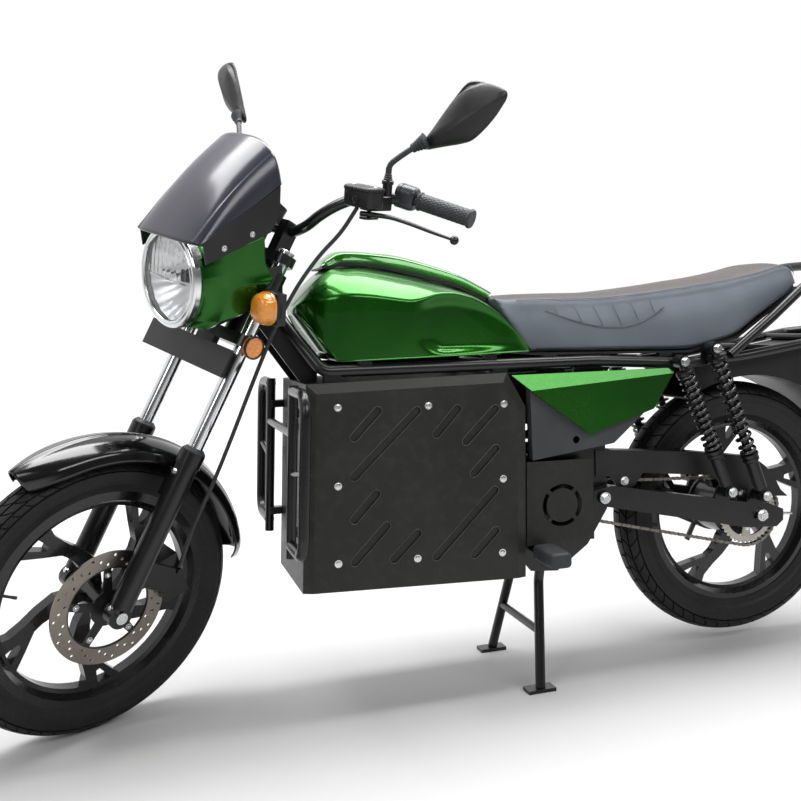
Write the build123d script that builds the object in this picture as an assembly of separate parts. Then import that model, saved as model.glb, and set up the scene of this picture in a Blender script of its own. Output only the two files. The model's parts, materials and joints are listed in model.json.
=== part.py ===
from build123d import *
import os
from math import atan2, cos, degrees, hypot, pi, radians, sin

# Electric commuter motorcycle, millimetres.
# +X runs forward, +Y to the machine's left, +Z up, and the floor is z = 0.
# Places along X are measured from the rear axle; every finished piece is then
# moved by ORIGIN_X and ORIGIN_Y, so that the origin is the middle of the part's box.

# ---------------------------------------------------------------- overall
WHEELBASE = 1490.0
# the front half is drawn for a wheelbase of 1490 and moves with the front wheel
FRONT_SHIFT = WHEELBASE - 1490.0
ORIGIN_X = 696.5
ORIGIN_Y = 10.5
REAR_AXLE_Z = 330.0
FRONT_AXLE_Z = 294.0
RAKE = 28.0
FORK_OFFSET = 40.0
STEER_REST = 31.0
PIECE_GAP = 0.3

# ---------------------------------------------------------------- wheels
FRONT_TYRE_R = 299.0
FRONT_TYRE_W = 76.0
REAR_TYRE_R = 305.0
REAR_TYRE_W = 86.0
BEAD_R = 226.0
FLANGE_R = 237.0
RIM_INNER_R = 196.0
RIM_W = 56.0
SPOKE_COUNT = 5
SPOKE_DEPTH = 24.0
FRONT_HUB_R = 30.0
REAR_HUB_R = 68.0
AXLE_R = 7.5
BORE_CLEARANCE = 0.3
DISC_Y = 58.0
DISC_R = 120.0
DISC_INNER_R = 84.0
DISC_THICKNESS = 4.0

# ---------------------------------------------------------------- fork
LEG_Y = 94.0
STANCHION_R = 15.0
LEG_R = 22.5
LEG_TOP = 346.0
LEG_BORE_FLOOR = 140.0
LOWER_YOKE_Z = 573.0
YOKE_THICKNESS = 24.0
UPPER_YOKE_Z = 754.0
STEM_R = 12.0
HEAD_TUBE_R = 24.0
HEAD_GAP = 3.0
LUG_HALF = 13.0
NUT_WIDTH = 6.0
FRONT_HUB_HALF = 62.0
BAR_R = 11.0
BAR_CLAMP_Y = 45.0
# the left half of the handlebar runs through these points, straight ahead
GRIP_OUTER = (FRONT_SHIFT + 925.0, 393.0, 1090.0)
GRIP_INNER = (FRONT_SHIFT + 965.0, 284.0, 1110.0)
BAR_RISE = (FRONT_SHIFT + 1036.0, 205.0, 1104.0)
BAR_BASE = (FRONT_SHIFT + 1085.0, 112.0, 1042.0)
BAR_CENTRE = (FRONT_SHIFT + 1085.0, 66.0, 1020.0)

# ---------------------------------------------------------------- frame
TUBE_R = 12.7
SUBFRAME_R = 11.0
SEAT_HALF_W = 122.0
RAIL_Y = SEAT_HALF_W - 2.0
RAIL_FRONT_Z = 719.0
RAIL_MID_Z = 710.0
RAIL_REAR_Z = 692.0
SUBFRAME_Z = ((176.0, RAIL_REAR_Z), (40.0, 701.0), (-119.0, 721.0), (-262.0, 741.0))
SUBFRAME_END = (-306.0, 747.0)
PLATE_Y = 98.0
PLATE_THICKNESS = 8.0
PIVOT_X = 404.0
PIVOT_Z = 408.0
PIVOT_BOLT_R = 8.0

# ---------------------------------------------------------------- battery box
BOX_HALF_W = 140.0
BOX_BOTTOM_FRONT = (FRONT_SHIFT + 1083.0, 275.0)
BOX_BOTTOM_REAR = (FRONT_SHIFT + 597.0, 254.0)
BOX_TOP_Z = 696.0
BOX_TOP_FRONT_X = FRONT_SHIFT + 1056.0
BOX_TOP_REAR_X = FRONT_SHIFT + 627.0
BOX_CHAMFER_Z = 622.0
BOX_CHAMFER_X = FRONT_SHIFT + 587.0
BOX_WALL = 2.0
COVER_THICKNESS = 10.0
COVER_EDGE_DEPTH = 7.0
COVER_EDGE_WIDTH = 20.0
SLOT_DEPTH = 4.0

# ---------------------------------------------------------------- drive
ARM_OUTER_Y = 128.0
ARM_THICKNESS = 26.0
SPROCKET_Y = 78.0
SPROCKET_THICKNESS = 6.0
CHAIN_R = 82.0
DRIVE_X = 490.0
DRIVE_Z = 407.0
DRIVE_R = 36.0
CHAIN_HEIGHT = 8.0
CHAIN_W = 12.0
CHAIN_CLEARANCE = 0.5
MOTOR_X = 510.0
MOTOR_R = 80.0
REAR_AXLE_HALF = 136.0
SHOCK_Y = SEAT_HALF_W + 30.0
SHOCK_PIN_R = 6.0
# top and bottom eye of each shock, as (x, z)
SHOCKS = (((220.0, 699.0), (102.0, 398.0)), ((138.0, 724.0), (11.0, 381.0)))

# ---------------------------------------------------------------- body
TANK_BOTTOM_Z = 736.0
TANK_HALF_W = SEAT_HALF_W + 18.0
SEAT_GAP = 1.5
FENDER_CROSS_X = (-60.0, -200.0)
SEAT_FRONT_TOP = (FRONT_SHIFT + 636.0, 859.0)
SEAT_FRONT_FOOT = (FRONT_SHIFT + 556.0, 734.0)
SEAT_FLOOR = ((530.0, 733.1), (178.0, 721.0), (53.0, 747.0), (0.0, 781.0), (-68.0, 824.0), (-111.0, 855.0))
# the grey side covers stand just outside the long rails
SIDE_COVER_Y = RAIL_Y + TUBE_R + 3.3
GUARD_R = 11.0
GUARD_BEND = 40.0
GUARD_INNER_Y = 138.0
GUARD_OUTER_Y = 268.0
GUARD_STANDOFF = 26.0
GUARD_CROSS_R = 9.0
GUARD_UPRIGHT_R = 10.0
BANJO_X = FRONT_SHIFT + 1351.0
BANJO_Z = 346.0
BANJO_R = 7.0
LAMP_R = 98.0
LAMP_X = 1335.0
LAMP_Z = 929.0
COWL_Y = 114.0
SHELL_THICKNESS = 3.0
FENDER_GAP = 41.0
FENDER_R = FRONT_TYRE_R + FENDER_GAP
FENDER_HALF_W = 60.0
PLATE_HOLE_SPACING = 140.0
PLATE_HOLE_R = 3.3
PLATE_HOLE_Z = 605.0

# ---------------------------------------------------------------- stand
PEG_X = 565.0
PEG_Z = 306.0
PEG_INNER_Y = 146.0
STAND_X = 535.0
STAND_Z = 270.0
STAND_FOOT_X = 575.0
STAND_FOOT_Y = 140.0
STAND_TOP_Y = 74.0
STAND_R = 11.0

# ------------------------------------------------------------ derived axes
SIN_RAKE = sin(radians(RAKE))
COS_RAKE = cos(radians(RAKE))
FORK_UP = Vector(-SIN_RAKE, 0, COS_RAKE)
FORK_FORWARD = Vector(COS_RAKE, 0, SIN_RAKE)
FRONT_AXLE = Vector(WHEELBASE, 0, FRONT_AXLE_Z)
AXIS_FOOT = FRONT_AXLE - FORK_FORWARD * FORK_OFFSET
FORK_PLANE = Plane(origin=AXIS_FOOT, x_dir=FORK_FORWARD, z_dir=FORK_UP)
STEER_AXIS = Axis(AXIS_FOOT, FORK_UP)
REAR_AXLE = Vector(0, 0, REAR_AXLE_Z)
BAR_FROM_FOOT = Vector(BAR_CENTRE[0], 0, BAR_CENTRE[2]) - AXIS_FOOT
BAR_LOCAL_X = BAR_FROM_FOOT.dot(FORK_FORWARD)
BAR_LOCAL_Z = BAR_FROM_FOOT.dot(FORK_UP)
BANJO_FROM_FOOT = Vector(BANJO_X, 0, BANJO_Z) - AXIS_FOOT


# ------------------------------------------------------------ small helpers
def in_fork(shape):
    """Move a shape built upright about the steering axis to the raked fork."""
    return FORK_PLANE.location * shape


def steered(shape):
    """Turn a straight-ahead shape to the resting steering angle."""
    return shape.rotate(STEER_AXIS, STEER_REST)


def other_side(shape):
    """The right-hand copy of a left-hand shape."""
    return mirror(shape, about=Plane.XZ)


def forward(*shapes):
    """Shapes of the front half, moved from their drawn place with the front wheel."""
    return [Pos(FRONT_SHIFT, 0, 0) * solid for solid in solids_of(*shapes)]


def both_sides(shape):
    """A left-hand shape and its right-hand copy."""
    return [shape, other_side(shape)]


def solids_of(*shapes):
    """Every solid of the given shapes, in one flat list."""
    found = []
    for shape in shapes:
        if isinstance(shape, (list, tuple)):
            found += solids_of(*shape)
        else:
            found += list(shape.solids())
    return found


def bar(points, radius, bend=40.0):
    """Round bar along straight runs that are joined by arcs."""
    corners = [Vector(*point) for point in points]
    if len(corners) == 2:
        path = Line(*corners)
    else:
        path = FilletPolyline(*corners, radius=bend)
    return sweep(Plane(origin=path @ 0, z_dir=path % 0) * Circle(radius), path=path)


def rod(start, end, radius):
    """Straight round rod between two points."""
    return bar([start, end], radius)


def side_plate(outline, inner_y, outer_y):
    """Flat plate with an (x, z) outline between two places across the machine."""
    face = make_face(Polyline(*[(x, z) for x, z in outline], close=True))
    lying = extrude(face, amount=outer_y - inner_y)
    return Pos(0, outer_y, 0) * Rot(90, 0, 0) * lying


def cross_cylinder(x, z, radius, inner_y, outer_y):
    """Cylinder that lies across the machine."""
    length = outer_y - inner_y
    return Pos(x, (inner_y + outer_y) / 2, z) * Rot(90, 0, 0) * Cylinder(radius, length)


def wheel_ring(profile):
    """Turn a closed (radius, across) outline once about the wheel's axle."""
    face = make_face(Polyline(*profile, close=True))
    return revolve(face, axis=Axis.Y, revolution_arc=360)


def axle_disc(radius, inner_y, outer_y):
    """Cylinder about a wheel's own axle."""
    return cross_cylinder(0, 0, radius, inner_y, outer_y)


def rail_z(x):
    """Centre height of the long frame rails at a place along the machine."""
    front_x, mid_x, rear_x = FRONT_SHIFT + 985.0, 420.0, 172.0
    if x > mid_x:
        return RAIL_MID_Z + (RAIL_FRONT_Z - RAIL_MID_Z) * (x - mid_x) / (front_x - mid_x)
    return RAIL_REAR_Z + (RAIL_MID_Z - RAIL_REAR_Z) * (x - rear_x) / (mid_x - rear_x)


def subframe_z(x):
    """Centre height of the subframe tubes at a place behind the rails."""
    for (front_x, front_z), (back_x, back_z) in zip(SUBFRAME_Z, SUBFRAME_Z[1:]):
        if x >= back_x:
            break
    return back_z + (front_z - back_z) * (x - back_x) / (front_x - back_x)


def box_rear_x(z):
    """Where the battery box's rear face lies at a height below its chamfer."""
    bottom_x, bottom_z = BOX_BOTTOM_REAR
    return bottom_x + (BOX_CHAMFER_X - bottom_x) * (z - bottom_z) / (BOX_CHAMFER_Z - bottom_z)


def box_front_x(z):
    """Where the battery box's front face lies at a height."""
    bottom_x, bottom_z = BOX_BOTTOM_FRONT
    return bottom_x + (BOX_TOP_FRONT_X - bottom_x) * (z - bottom_z) / (BOX_TOP_Z - bottom_z)


# ------------------------------------------------------------ wheels
def tyre(outer_r, width):
    """Tyre with a round crown, closed on the rim's bed."""
    half = width / 2
    bead_half = RIM_W / 2 - 6.5
    crown = Spline(
        (FLANGE_R + 0.8, bead_half + 2),
        (FLANGE_R + 10, half - 3),
        ((FLANGE_R + outer_r) / 2, half),
        (outer_r - 10, half * 0.66),
        (outer_r, 0),
        (outer_r - 10, -half * 0.66),
        ((FLANGE_R + outer_r) / 2, -half),
        (FLANGE_R + 10, -half + 3),
        (FLANGE_R + 0.8, -bead_half - 2),
    )
    bed = Polyline(
        crown @ 1,
        (BEAD_R + PIECE_GAP, -bead_half),
        (BEAD_R + PIECE_GAP, bead_half),
        crown @ 0,
    )
    return revolve(make_face([crown, bed]), axis=Axis.Y, revolution_arc=360)


# one spoke of the front wheel as (radius, degrees): its outline and the hole beside its thin branch
SPOKE_OUTLINE = (
    (24, 80), (60, 69), (78, 65), (92, 64.8), (114, 62), (133, 58.2), (161, 47.5), (RIM_INNER_R + 6, 39),
    (RIM_INNER_R + 6, 62.6), (179, 62.2), (148, 66.7), (120, 75.2), (87, 90), (60, 98), (24, 120),
)
SPOKE_HOLE = (
    (RIM_INNER_R + 7, 44.4), (RIM_INNER_R + 7, 53.4), (186, 54.4), (168, 55), (164, 52.5),
)
REAR_SPOKE_TURN = -3.0


def spoke(number, rear):
    """One cast spoke that leans and forks near the rim; the rear wheel's lean the other way."""
    turn = 360 / SPOKE_COUNT * number

    def plate(shape, half):
        points = []
        for radius, angle in shape:
            angle = REAR_SPOKE_TURN - angle if rear else angle
            points.append((radius * cos(radians(angle + turn)), radius * sin(radians(angle + turn))))
        return side_plate(points, -half, half)
    return plate(SPOKE_OUTLINE, SPOKE_DEPTH / 2) - plate(SPOKE_HOLE, SPOKE_DEPTH)


def cast_wheel(hub_r, hub_left, hub_right, rear):
    """Cast wheel: barrel, five forked spokes and a bored hub."""
    half = RIM_W / 2
    barrel = wheel_ring([
        (FLANGE_R, half), (FLANGE_R, half - 4), (BEAD_R, half - 6),
        (BEAD_R, -half + 6), (FLANGE_R, -half + 4), (FLANGE_R, -half),
        (FLANGE_R - 24, -half - 2), (RIM_INNER_R + 8, -16), (RIM_INNER_R, -12),
        (RIM_INNER_R, 12), (RIM_INNER_R + 8, 16), (FLANGE_R - 24, half + 2),
    ])
    spokes = [spoke(number, rear) for number in range(SPOKE_COUNT)]
    hub = axle_disc(hub_r, -hub_right, hub_left)
    bore = axle_disc(AXLE_R + BORE_CLEARANCE, -hub_right - 1, hub_left + 1)
    return barrel + spokes + hub - bore


def front_disc():
    """Drilled brake disc with a five-armed carrier."""
    inner_y = DISC_Y - DISC_THICKNESS / 2
    outer_y = DISC_Y + DISC_THICKNESS / 2
    ring = axle_disc(DISC_R, inner_y, outer_y) - axle_disc(DISC_INNER_R, inner_y - 1, outer_y + 1)
    carrier = axle_disc(FRONT_HUB_R + 8, inner_y, outer_y)
    for turn in range(5):
        outline = [(-9, 20), (-6, DISC_INNER_R + 6), (8, DISC_INNER_R + 6), (12, 20)]
        carrier += Rot(0, 72 * turn, 0) * side_plate(outline, inner_y, outer_y)
    holes = []
    for row_r, count, start in ((94, 15, 0), (103, 15, 8), (112, 15, 16)):
        for number in range(count):
            hole = cross_cylinder(0, row_r, 3.4, inner_y - 1, outer_y + 1)
            holes.append(Rot(0, start + 360 / count * number, 0) * hole)
    bore = axle_disc(AXLE_R + BORE_CLEARANCE, inner_y - 1, outer_y + 1)
    return ring + carrier - holes - bore


def rear_sprocket():
    """Rear chain sprocket with lightening holes, inside the chain's loop."""
    inner_y = SPROCKET_Y - SPROCKET_THICKNESS / 2
    outer_y = SPROCKET_Y + SPROCKET_THICKNESS / 2
    plate_r = CHAIN_R - CHAIN_HEIGHT / 2 - CHAIN_CLEARANCE
    plate = axle_disc(plate_r, inner_y, outer_y)
    carrier = axle_disc(REAR_HUB_R - 20, RIM_W / 2 + 8, inner_y)
    holes = []
    for number in range(6):
        hole = cross_cylinder(0, 60, 9, inner_y - 1, outer_y + 1)
        holes.append(Rot(0, 60 * number, 0) * hole)
    bore = axle_disc(AXLE_R + BORE_CLEARANCE, RIM_W / 2, outer_y + 1)
    return plate + carrier - holes - bore


# ------------------------------------------------------------ fork, in its upright frame
def yoke_face(clamp_r):
    """Outline of a yoke: a hull round the stem and both legs."""
    rounds = (Circle(30)).edges()
    for side in (-1, 1):
        rounds += (Pos(FORK_OFFSET, side * LEG_Y) * Circle(clamp_r)).edges()
    return make_face(make_hull(rounds))


def stanchion_bores():
    """Cutters for the two stanchions."""
    cutters = []
    for side in (-1, 1):
        cutters.append(Pos(FORK_OFFSET, side * LEG_Y, 600) * Cylinder(STANCHION_R + 0.1, 900))
    return cutters


def lower_yoke():
    """Lower yoke with the steering stem."""
    plate = Pos(0, 0, LOWER_YOKE_Z) * extrude(yoke_face(26), amount=YOKE_THICKNESS)
    stem_top = UPPER_YOKE_Z
    stem = Pos(0, 0, (LOWER_YOKE_Z + stem_top) / 2) * Cylinder(STEM_R, stem_top - LOWER_YOKE_Z)
    return plate - stanchion_bores() + stem


def upper_yoke():
    """Upper yoke with the two handlebar clamps."""
    plate = Pos(0, 0, UPPER_YOKE_Z) * extrude(yoke_face(24), amount=YOKE_THICKNESS - 4)
    top = UPPER_YOKE_Z + YOKE_THICKNESS - 4
    clamps = []
    for side in (-1, 1):
        height = BAR_LOCAL_Z + 15 - top
        block = Pos(BAR_LOCAL_X, side * BAR_CLAMP_Y, top + height / 2) * Box(34, 26, height)
        clamps.append(block)
    bar_bore = Pos(BAR_LOCAL_X, 0, BAR_LOCAL_Z) * Rot(90, 0, 0) * Cylinder(BAR_R + 0.1, 200)
    return plate + clamps - stanchion_bores() - bar_bore


def stanchions():
    """The two polished fork tubes."""
    length = UPPER_YOKE_Z + YOKE_THICKNESS + 4 - LEG_BORE_FLOOR
    pieces = []
    for side in (-1, 1):
        tube = Pos(FORK_OFFSET, side * LEG_Y, LEG_BORE_FLOOR + length / 2) * Cylinder(STANCHION_R, length)
        pieces.append(tube)
    return pieces


def fork_leg(side):
    """Lower fork leg: tube, seal collar, axle lug and fender lug."""
    y = side * LEG_Y
    tube = Pos(FORK_OFFSET, y, (LEG_TOP + 16) / 2) * Cylinder(LEG_R, LEG_TOP - 16)
    collar = Pos(FORK_OFFSET, y, LEG_TOP - 14) * Cylinder(LEG_R + 3, 28)
    lug = Pos(FORK_OFFSET, y, 0) * Rot(90, 0, 0) * Cylinder(24, 2 * LUG_HALF)
    fender_lug = Pos(FORK_OFFSET + 4, side * (LEG_Y - LEG_R - 1), 262) * Box(22, 12, 34)
    if side > 0:
        lug += Pos(FORK_OFFSET - LEG_R - 4, LEG_Y - 8, 88) * Box(24, 10, 52)
    bore = Pos(FORK_OFFSET, y, (LEG_BORE_FLOOR + LEG_TOP) / 2 + 5)
    bore = bore * Cylinder(STANCHION_R + 0.2, LEG_TOP - LEG_BORE_FLOOR + 10)
    axle_bore = Pos(FORK_OFFSET, y, 0) * Rot(90, 0, 0) * Cylinder(AXLE_R + 0.1, 80)
    return tube + collar + lug + fender_lug - bore - axle_bore


def front_axle():
    """Front axle with a nut at each end and a spacer to the hub."""
    lug_inner = LEG_Y - LUG_HALF
    lug_outer = LEG_Y + LUG_HALF
    spindle = Pos(FORK_OFFSET, 0, 0) * Rot(90, 0, 0) * Cylinder(AXLE_R, 2 * (lug_outer + NUT_WIDTH))
    spacer_start = FRONT_HUB_HALF + 2
    spacer_length = lug_inner - spacer_start
    for side in (-1, 1):
        nut_y = side * (lug_outer + NUT_WIDTH / 2)
        spacer_y = side * (spacer_start + spacer_length / 2)
        spindle += Pos(FORK_OFFSET, nut_y, 0) * Rot(90, 0, 0) * Cylinder(12, NUT_WIDTH)
        spindle += Pos(FORK_OFFSET, spacer_y, 0) * Rot(90, 0, 0) * Cylinder(13, spacer_length)
    return spindle


def brake_caliper():
    """Caliper behind the left leg, slotted for the disc, with its bracket."""
    body = Box(52, 52, 96) - Pos(-18, 0, 0) * Box(34, DISC_THICKNESS + 6, 100)
    body = Pos(FORK_OFFSET - 93, DISC_Y, 93) * Rot(0, -134, 0) * body
    lug_end = FORK_OFFSET - LEG_R - 16
    bracket = Pos(lug_end - 26, LEG_Y - 8, 88) * Box(52, 10, 52)
    banjo = Pos(BANJO_FROM_FOOT.dot(FORK_FORWARD), LEG_Y - 7, BANJO_FROM_FOOT.dot(FORK_UP))
    return body + bracket + banjo * Rot(90, 0, 0) * Cylinder(BANJO_R, 16)


def plate_board():
    """Blank board under the lamp, with its bracket to the lower yoke."""
    board = Pos(95, 0, 530) * Box(4, 288, 56)
    arm = Pos(74, 0, 556) * Box(46, 60, 4)
    tongue = Pos(58, 0, (LOWER_YOKE_Z + 556) / 2) * Box(14, 60, LOWER_YOKE_Z - 556)
    return board + arm + tongue


def reflector_disc(side):
    """Round side reflector on the lower yoke."""
    disc = Pos(FORK_OFFSET, side * (LEG_Y + 26 + 4.1), LOWER_YOKE_Z + 8) * Rot(90, 0, 0)
    return disc * Cylinder(22, 8)


# ------------------------------------------------------------ front, straight ahead
def lamp_turned(outline):
    """Turn a closed (forward, radius) outline about the lamp's own axis."""
    face = make_face(Polyline(*outline, close=True))
    return Pos(0, 0, LAMP_Z) * revolve(face, axis=Axis.X, revolution_arc=360)


def headlight_shell():
    """Lamp bucket: bezel ring, bowl and closed back, open at the front."""
    front, back = LAMP_X, LAMP_X - 138
    return lamp_turned([
        (front, LAMP_R - 7), (front, LAMP_R), (front - 26, LAMP_R), (front - 60, LAMP_R - 12),
        (back + 30, LAMP_R - 34), (back, 34), (back, 0), (back + 4, 0), (back + 5, 32),
        (back + 34, LAMP_R - 38), (front - 60, LAMP_R - 16), (front - 26, LAMP_R - 7),
    ])


def headlight_reflector():
    """Bright bowl inside the lamp, with the lamp's bulb holder."""
    front, back = LAMP_X, LAMP_X - 88
    outer = LAMP_R - 7 - PIECE_GAP
    return lamp_turned([
        (front - 12, outer), (front - 22, outer), (front - 50, outer - 16), (back, 28), (back, 0),
        (back + 30, 0), (back + 30, 12), (back + 6, 14), (back + 6, 28), (front - 48, outer - 20),
        (front - 20, outer - 4), (front - 12, outer - 4),
    ])


def headlight_lens():
    """Clear domed lens inside the bezel."""
    outer = LAMP_R - 7 - PIECE_GAP
    bulge, thickness = 13.0, 4.0
    ball_r = (outer ** 2 + bulge ** 2) / (2 * bulge)
    centre = Pos(LAMP_X + 9 - ball_r, 0, LAMP_Z)
    dome = centre * Sphere(ball_r) - centre * Sphere(ball_r - thickness)
    return dome & (Pos(LAMP_X, 0, LAMP_Z) * Rot(0, 90, 0) * Cylinder(outer, 60))


def lamp_bracket(side):
    """Ear that carries the lamp, the cowl and a front indicator from one stanchion."""
    clamp = Pos(FORK_OFFSET, side * LEG_Y, 690) * Cylinder(STANCHION_R + 6, 90)
    bore = Pos(FORK_OFFSET, side * LEG_Y, 690) * Cylinder(STANCHION_R + 0.1, 200)
    outer_y = COWL_Y - SHELL_THICKNESS
    ear = side_plate([(1138, 872), (1146, 962), (1276, 946), (1276, 908), (1206, 868)], outer_y - 4, outer_y)
    lamp_bolt = rod((1262, 83, LAMP_Z), (1262, outer_y - 2, LAMP_Z), 6)
    stalk = rod((1186, outer_y - 2, 884), (1186, 120, 884), 8)
    back = Pos(1188, 144, 888) * Box(20, 56, 62)
    ear = Pos(FRONT_SHIFT, 0, 0) * (ear + lamp_bolt + stalk + back)
    if side < 0:
        ear = other_side(ear)
    return in_fork(clamp) + ear - in_fork(bore)


def front_indicator(side):
    """Amber lens of a front indicator."""
    lens = Pos(1214, side * 144, 888) * Box(32, 58, 66)
    return fillet(lens.edges().filter_by(Axis.X), 16)


def cowl_side():
    """Green side shell beside the lamp."""
    outline = [(1335, 967), (1193, 1022), (1185, 966), (1169, 941), (1185, 917), (1319, 860)]
    return side_plate(outline, COWL_Y - SHELL_THICKNESS, COWL_Y)


def screen_plate():
    """Black plate between the cowl and the screen."""
    outline = [(1323, 972.5), (1330, 1014), (1161, 1115), (1160, 1063), (1179, 1028), (1193, 1022.8)]
    return side_plate(outline, COWL_Y - SHELL_THICKNESS, COWL_Y)


def windscreen():
    """Smoked fly screen, arched over the instrument."""
    rows = []
    for step in range(9):
        rise = step / 8
        x_mid = 1352 - 176 * rise
        z_mid = 1012 + 190 * rise + 16 * sin(pi * rise)
        x_edge = 1328 - 166 * rise
        z_edge = 1016 + 110 * rise
        row = []
        for place in range(-6, 7):
            across = place / 6
            blend = abs(across) ** 2.6
            row.append((
                x_mid + (x_edge - x_mid) * blend,
                (COWL_Y - SHELL_THICKNESS - PIECE_GAP) * sin(pi / 2 * across),
                z_mid + (z_edge - z_mid) * blend,
            ))
        rows.append(row)
    skin = Face.make_surface_from_array_of_points([[Vector(*p) for p in row] for row in rows])
    return Solid.thicken(skin, SHELL_THICKNESS)


def instrument():
    """Round-cornered dial housing on the upper yoke."""
    top = UPPER_YOKE_Z + YOKE_THICKNESS - 4
    case = Box(70, 118, 34)
    case = Pos(84, 0, top + 74) * Rot(0, -8, 0) * fillet(case.edges().filter_by(Axis.Z), 16)
    stay = Pos(57, 0, top + 32) * Box(8, 50, 64)
    return case + stay


def handlebar(clearance=0.0):
    """Bent tubular handlebar; with a clearance, the cutter for what it passes through."""
    left = [GRIP_OUTER, GRIP_INNER, BAR_RISE, BAR_BASE, BAR_CENTRE]
    right = [(x, -y, z) for x, y, z in reversed(left)]
    return bar(left + right, BAR_R + clearance, 18)


def along_grip(share):
    """Point on the grip's centre line, 0 at its inner end and 1 at its outer end."""
    return Vector(*GRIP_INNER) + (Vector(*GRIP_OUTER) - Vector(*GRIP_INNER)) * share


def grip():
    """Left rubber grip."""
    sleeve = rod(along_grip(0.06), along_grip(0.97), 16.5) + rod(along_grip(0.97), along_grip(1.03), 18.5)
    return sleeve - rod(along_grip(-0.2), along_grip(1.002), BAR_R + 0.1)


def bar_control():
    """Left switch housing, lever perch and fluid reservoir."""
    switch = rod(along_grip(-0.34), along_grip(0.0), 20)
    switch += Pos(FRONT_SHIFT + 978, 262, 1088) * Box(30, 26, 20)
    perch = Pos(1030, 244, 1100) * Box(60, 30, 26)
    pivot = Pos(1054, 250, 1086) * Cylinder(4, 16)
    reservoir = Pos(1058, 236, 1112) * Box(44, 78, 42)
    reservoir = fillet(reservoir.edges().filter_by(Axis.Z), 6)
    boss = Pos(1008, 246, 1126) * Cylinder(9, 34)
    whole = Pos(FRONT_SHIFT, 0, 0) * (perch + reservoir + boss + pivot) + switch - handlebar(0.1)
    return whole.solids().sort_by(SortBy.VOLUME)[-2:]


def brake_lever():
    """Left lever blade with its ball end."""
    blade = bar([(1064, 238, 1080.4), (1040, 290, 1080.4), (985, 411, 1055)], 6, 30)
    blade -= Pos(1054, 250, 1086) * Cylinder(4.2, 16.4)
    ball = Pos(985, 411, 1055) * Sphere(9)
    return blade + ball


MIRROR_TOE_IN = 13.0


def mirror_unit():
    """Left mirror: threaded stem and shell."""
    stem = bar([(1008, 246, 1143.2), (1008, 246, 1176), (985, 288, 1218)], 6, 18)
    outline = Polyline(
        (-13, 1213), (17, 1243), (63, 1309), (84, 1333), (112, 1336), (144, 1331), (166, 1320),
        (165, 1310), (150, 1281), (126, 1251), (103, 1231), (43, 1214), (14, 1206), (0, 1200), close=True,
    )
    shell = extrude(Plane.YZ * make_face(outline), amount=24)
    shell = fillet(shell.edges().filter_by(GeomType.LINE), 4)
    return stem + Pos(974, 288, 0) * Rot(0, 0, MIRROR_TOE_IN) * Pos(-12, 0, 0) * shell


def front_fender():
    """Front fender: crowned band over the tyre, with feet to the fork lugs."""
    half = FENDER_HALF_W
    outer = make_face([
        ThreePointArc((FENDER_R - 20, -half), (FENDER_R, 0), (FENDER_R - 20, half)),
        Line((FENDER_R - 20, half), (FENDER_R - 23, half - 1)),
        ThreePointArc((FENDER_R - 23, half - 1), (FENDER_R - 3, 0), (FENDER_R - 23, -half + 1)),
        Line((FENDER_R - 23, -half + 1), (FENDER_R - 20, -half)),
    ])
    start, end = 62, 178
    band = revolve(outer, axis=Axis.Y, revolution_arc=end - start)
    band = Location(FRONT_AXLE) * Rot(0, -end, 0) * band
    feet = []
    for side in (-1, 1):
        foot = Pos(FORK_OFFSET + 4, side * (half + 2.2), 292) * Box(20, 4.6, 74)
        feet.append(in_fork(foot))
    return band + feet


# the front brake hose, from the caliper to the reservoir, straight ahead
HOSE_POINTS = [
    (1351, LEG_Y - 4, BANJO_Z + BANJO_R + 1.6),
    (1322, 92, 440),
    (1284, 98, 520),
    (1248, 103, 610),
    (1213, 106, 700),
    (1182, 112, 784),
    (1150, 119, 862),
    (1116, 132, 932),
    (1088, 156, 990),
    (1070, 192, 1036),
    (1062, 224, 1088.7),
]
HOSE_R = 4.0


def brake_hose():
    """Hydraulic hose with arcs as large as its runs allow."""
    corners = [Vector(*point) for point in HOSE_POINTS]
    radii = []
    for before, here, after in zip(corners, corners[1:], corners[2:]):
        turn = (here - before).get_angle(after - here)
        shorter = min((here - before).length, (after - here).length)
        radii.append(0.45 * shorter / (sin(radians(turn / 2)) / cos(radians(turn / 2))))
    print("hose radii", [round(radius) for radius in radii])
    path = FilletPolyline(*corners, radius=radii)
    return sweep(Plane(origin=path @ 0, z_dir=path % 0) * Circle(HOSE_R), path=path)


# ------------------------------------------------------------ frame
def head_tube():
    """Head tube between the yokes, bored for the stem."""
    bottom = LOWER_YOKE_Z + YOKE_THICKNESS + HEAD_GAP
    top = UPPER_YOKE_Z - HEAD_GAP
    place = Pos(0, 0, (bottom + top) / 2)
    return in_fork(place * Cylinder(HEAD_TUBE_R, top - bottom)), in_fork(
        place * Cylinder(STEM_R + 0.5, top - bottom + 20)
    )


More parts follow.
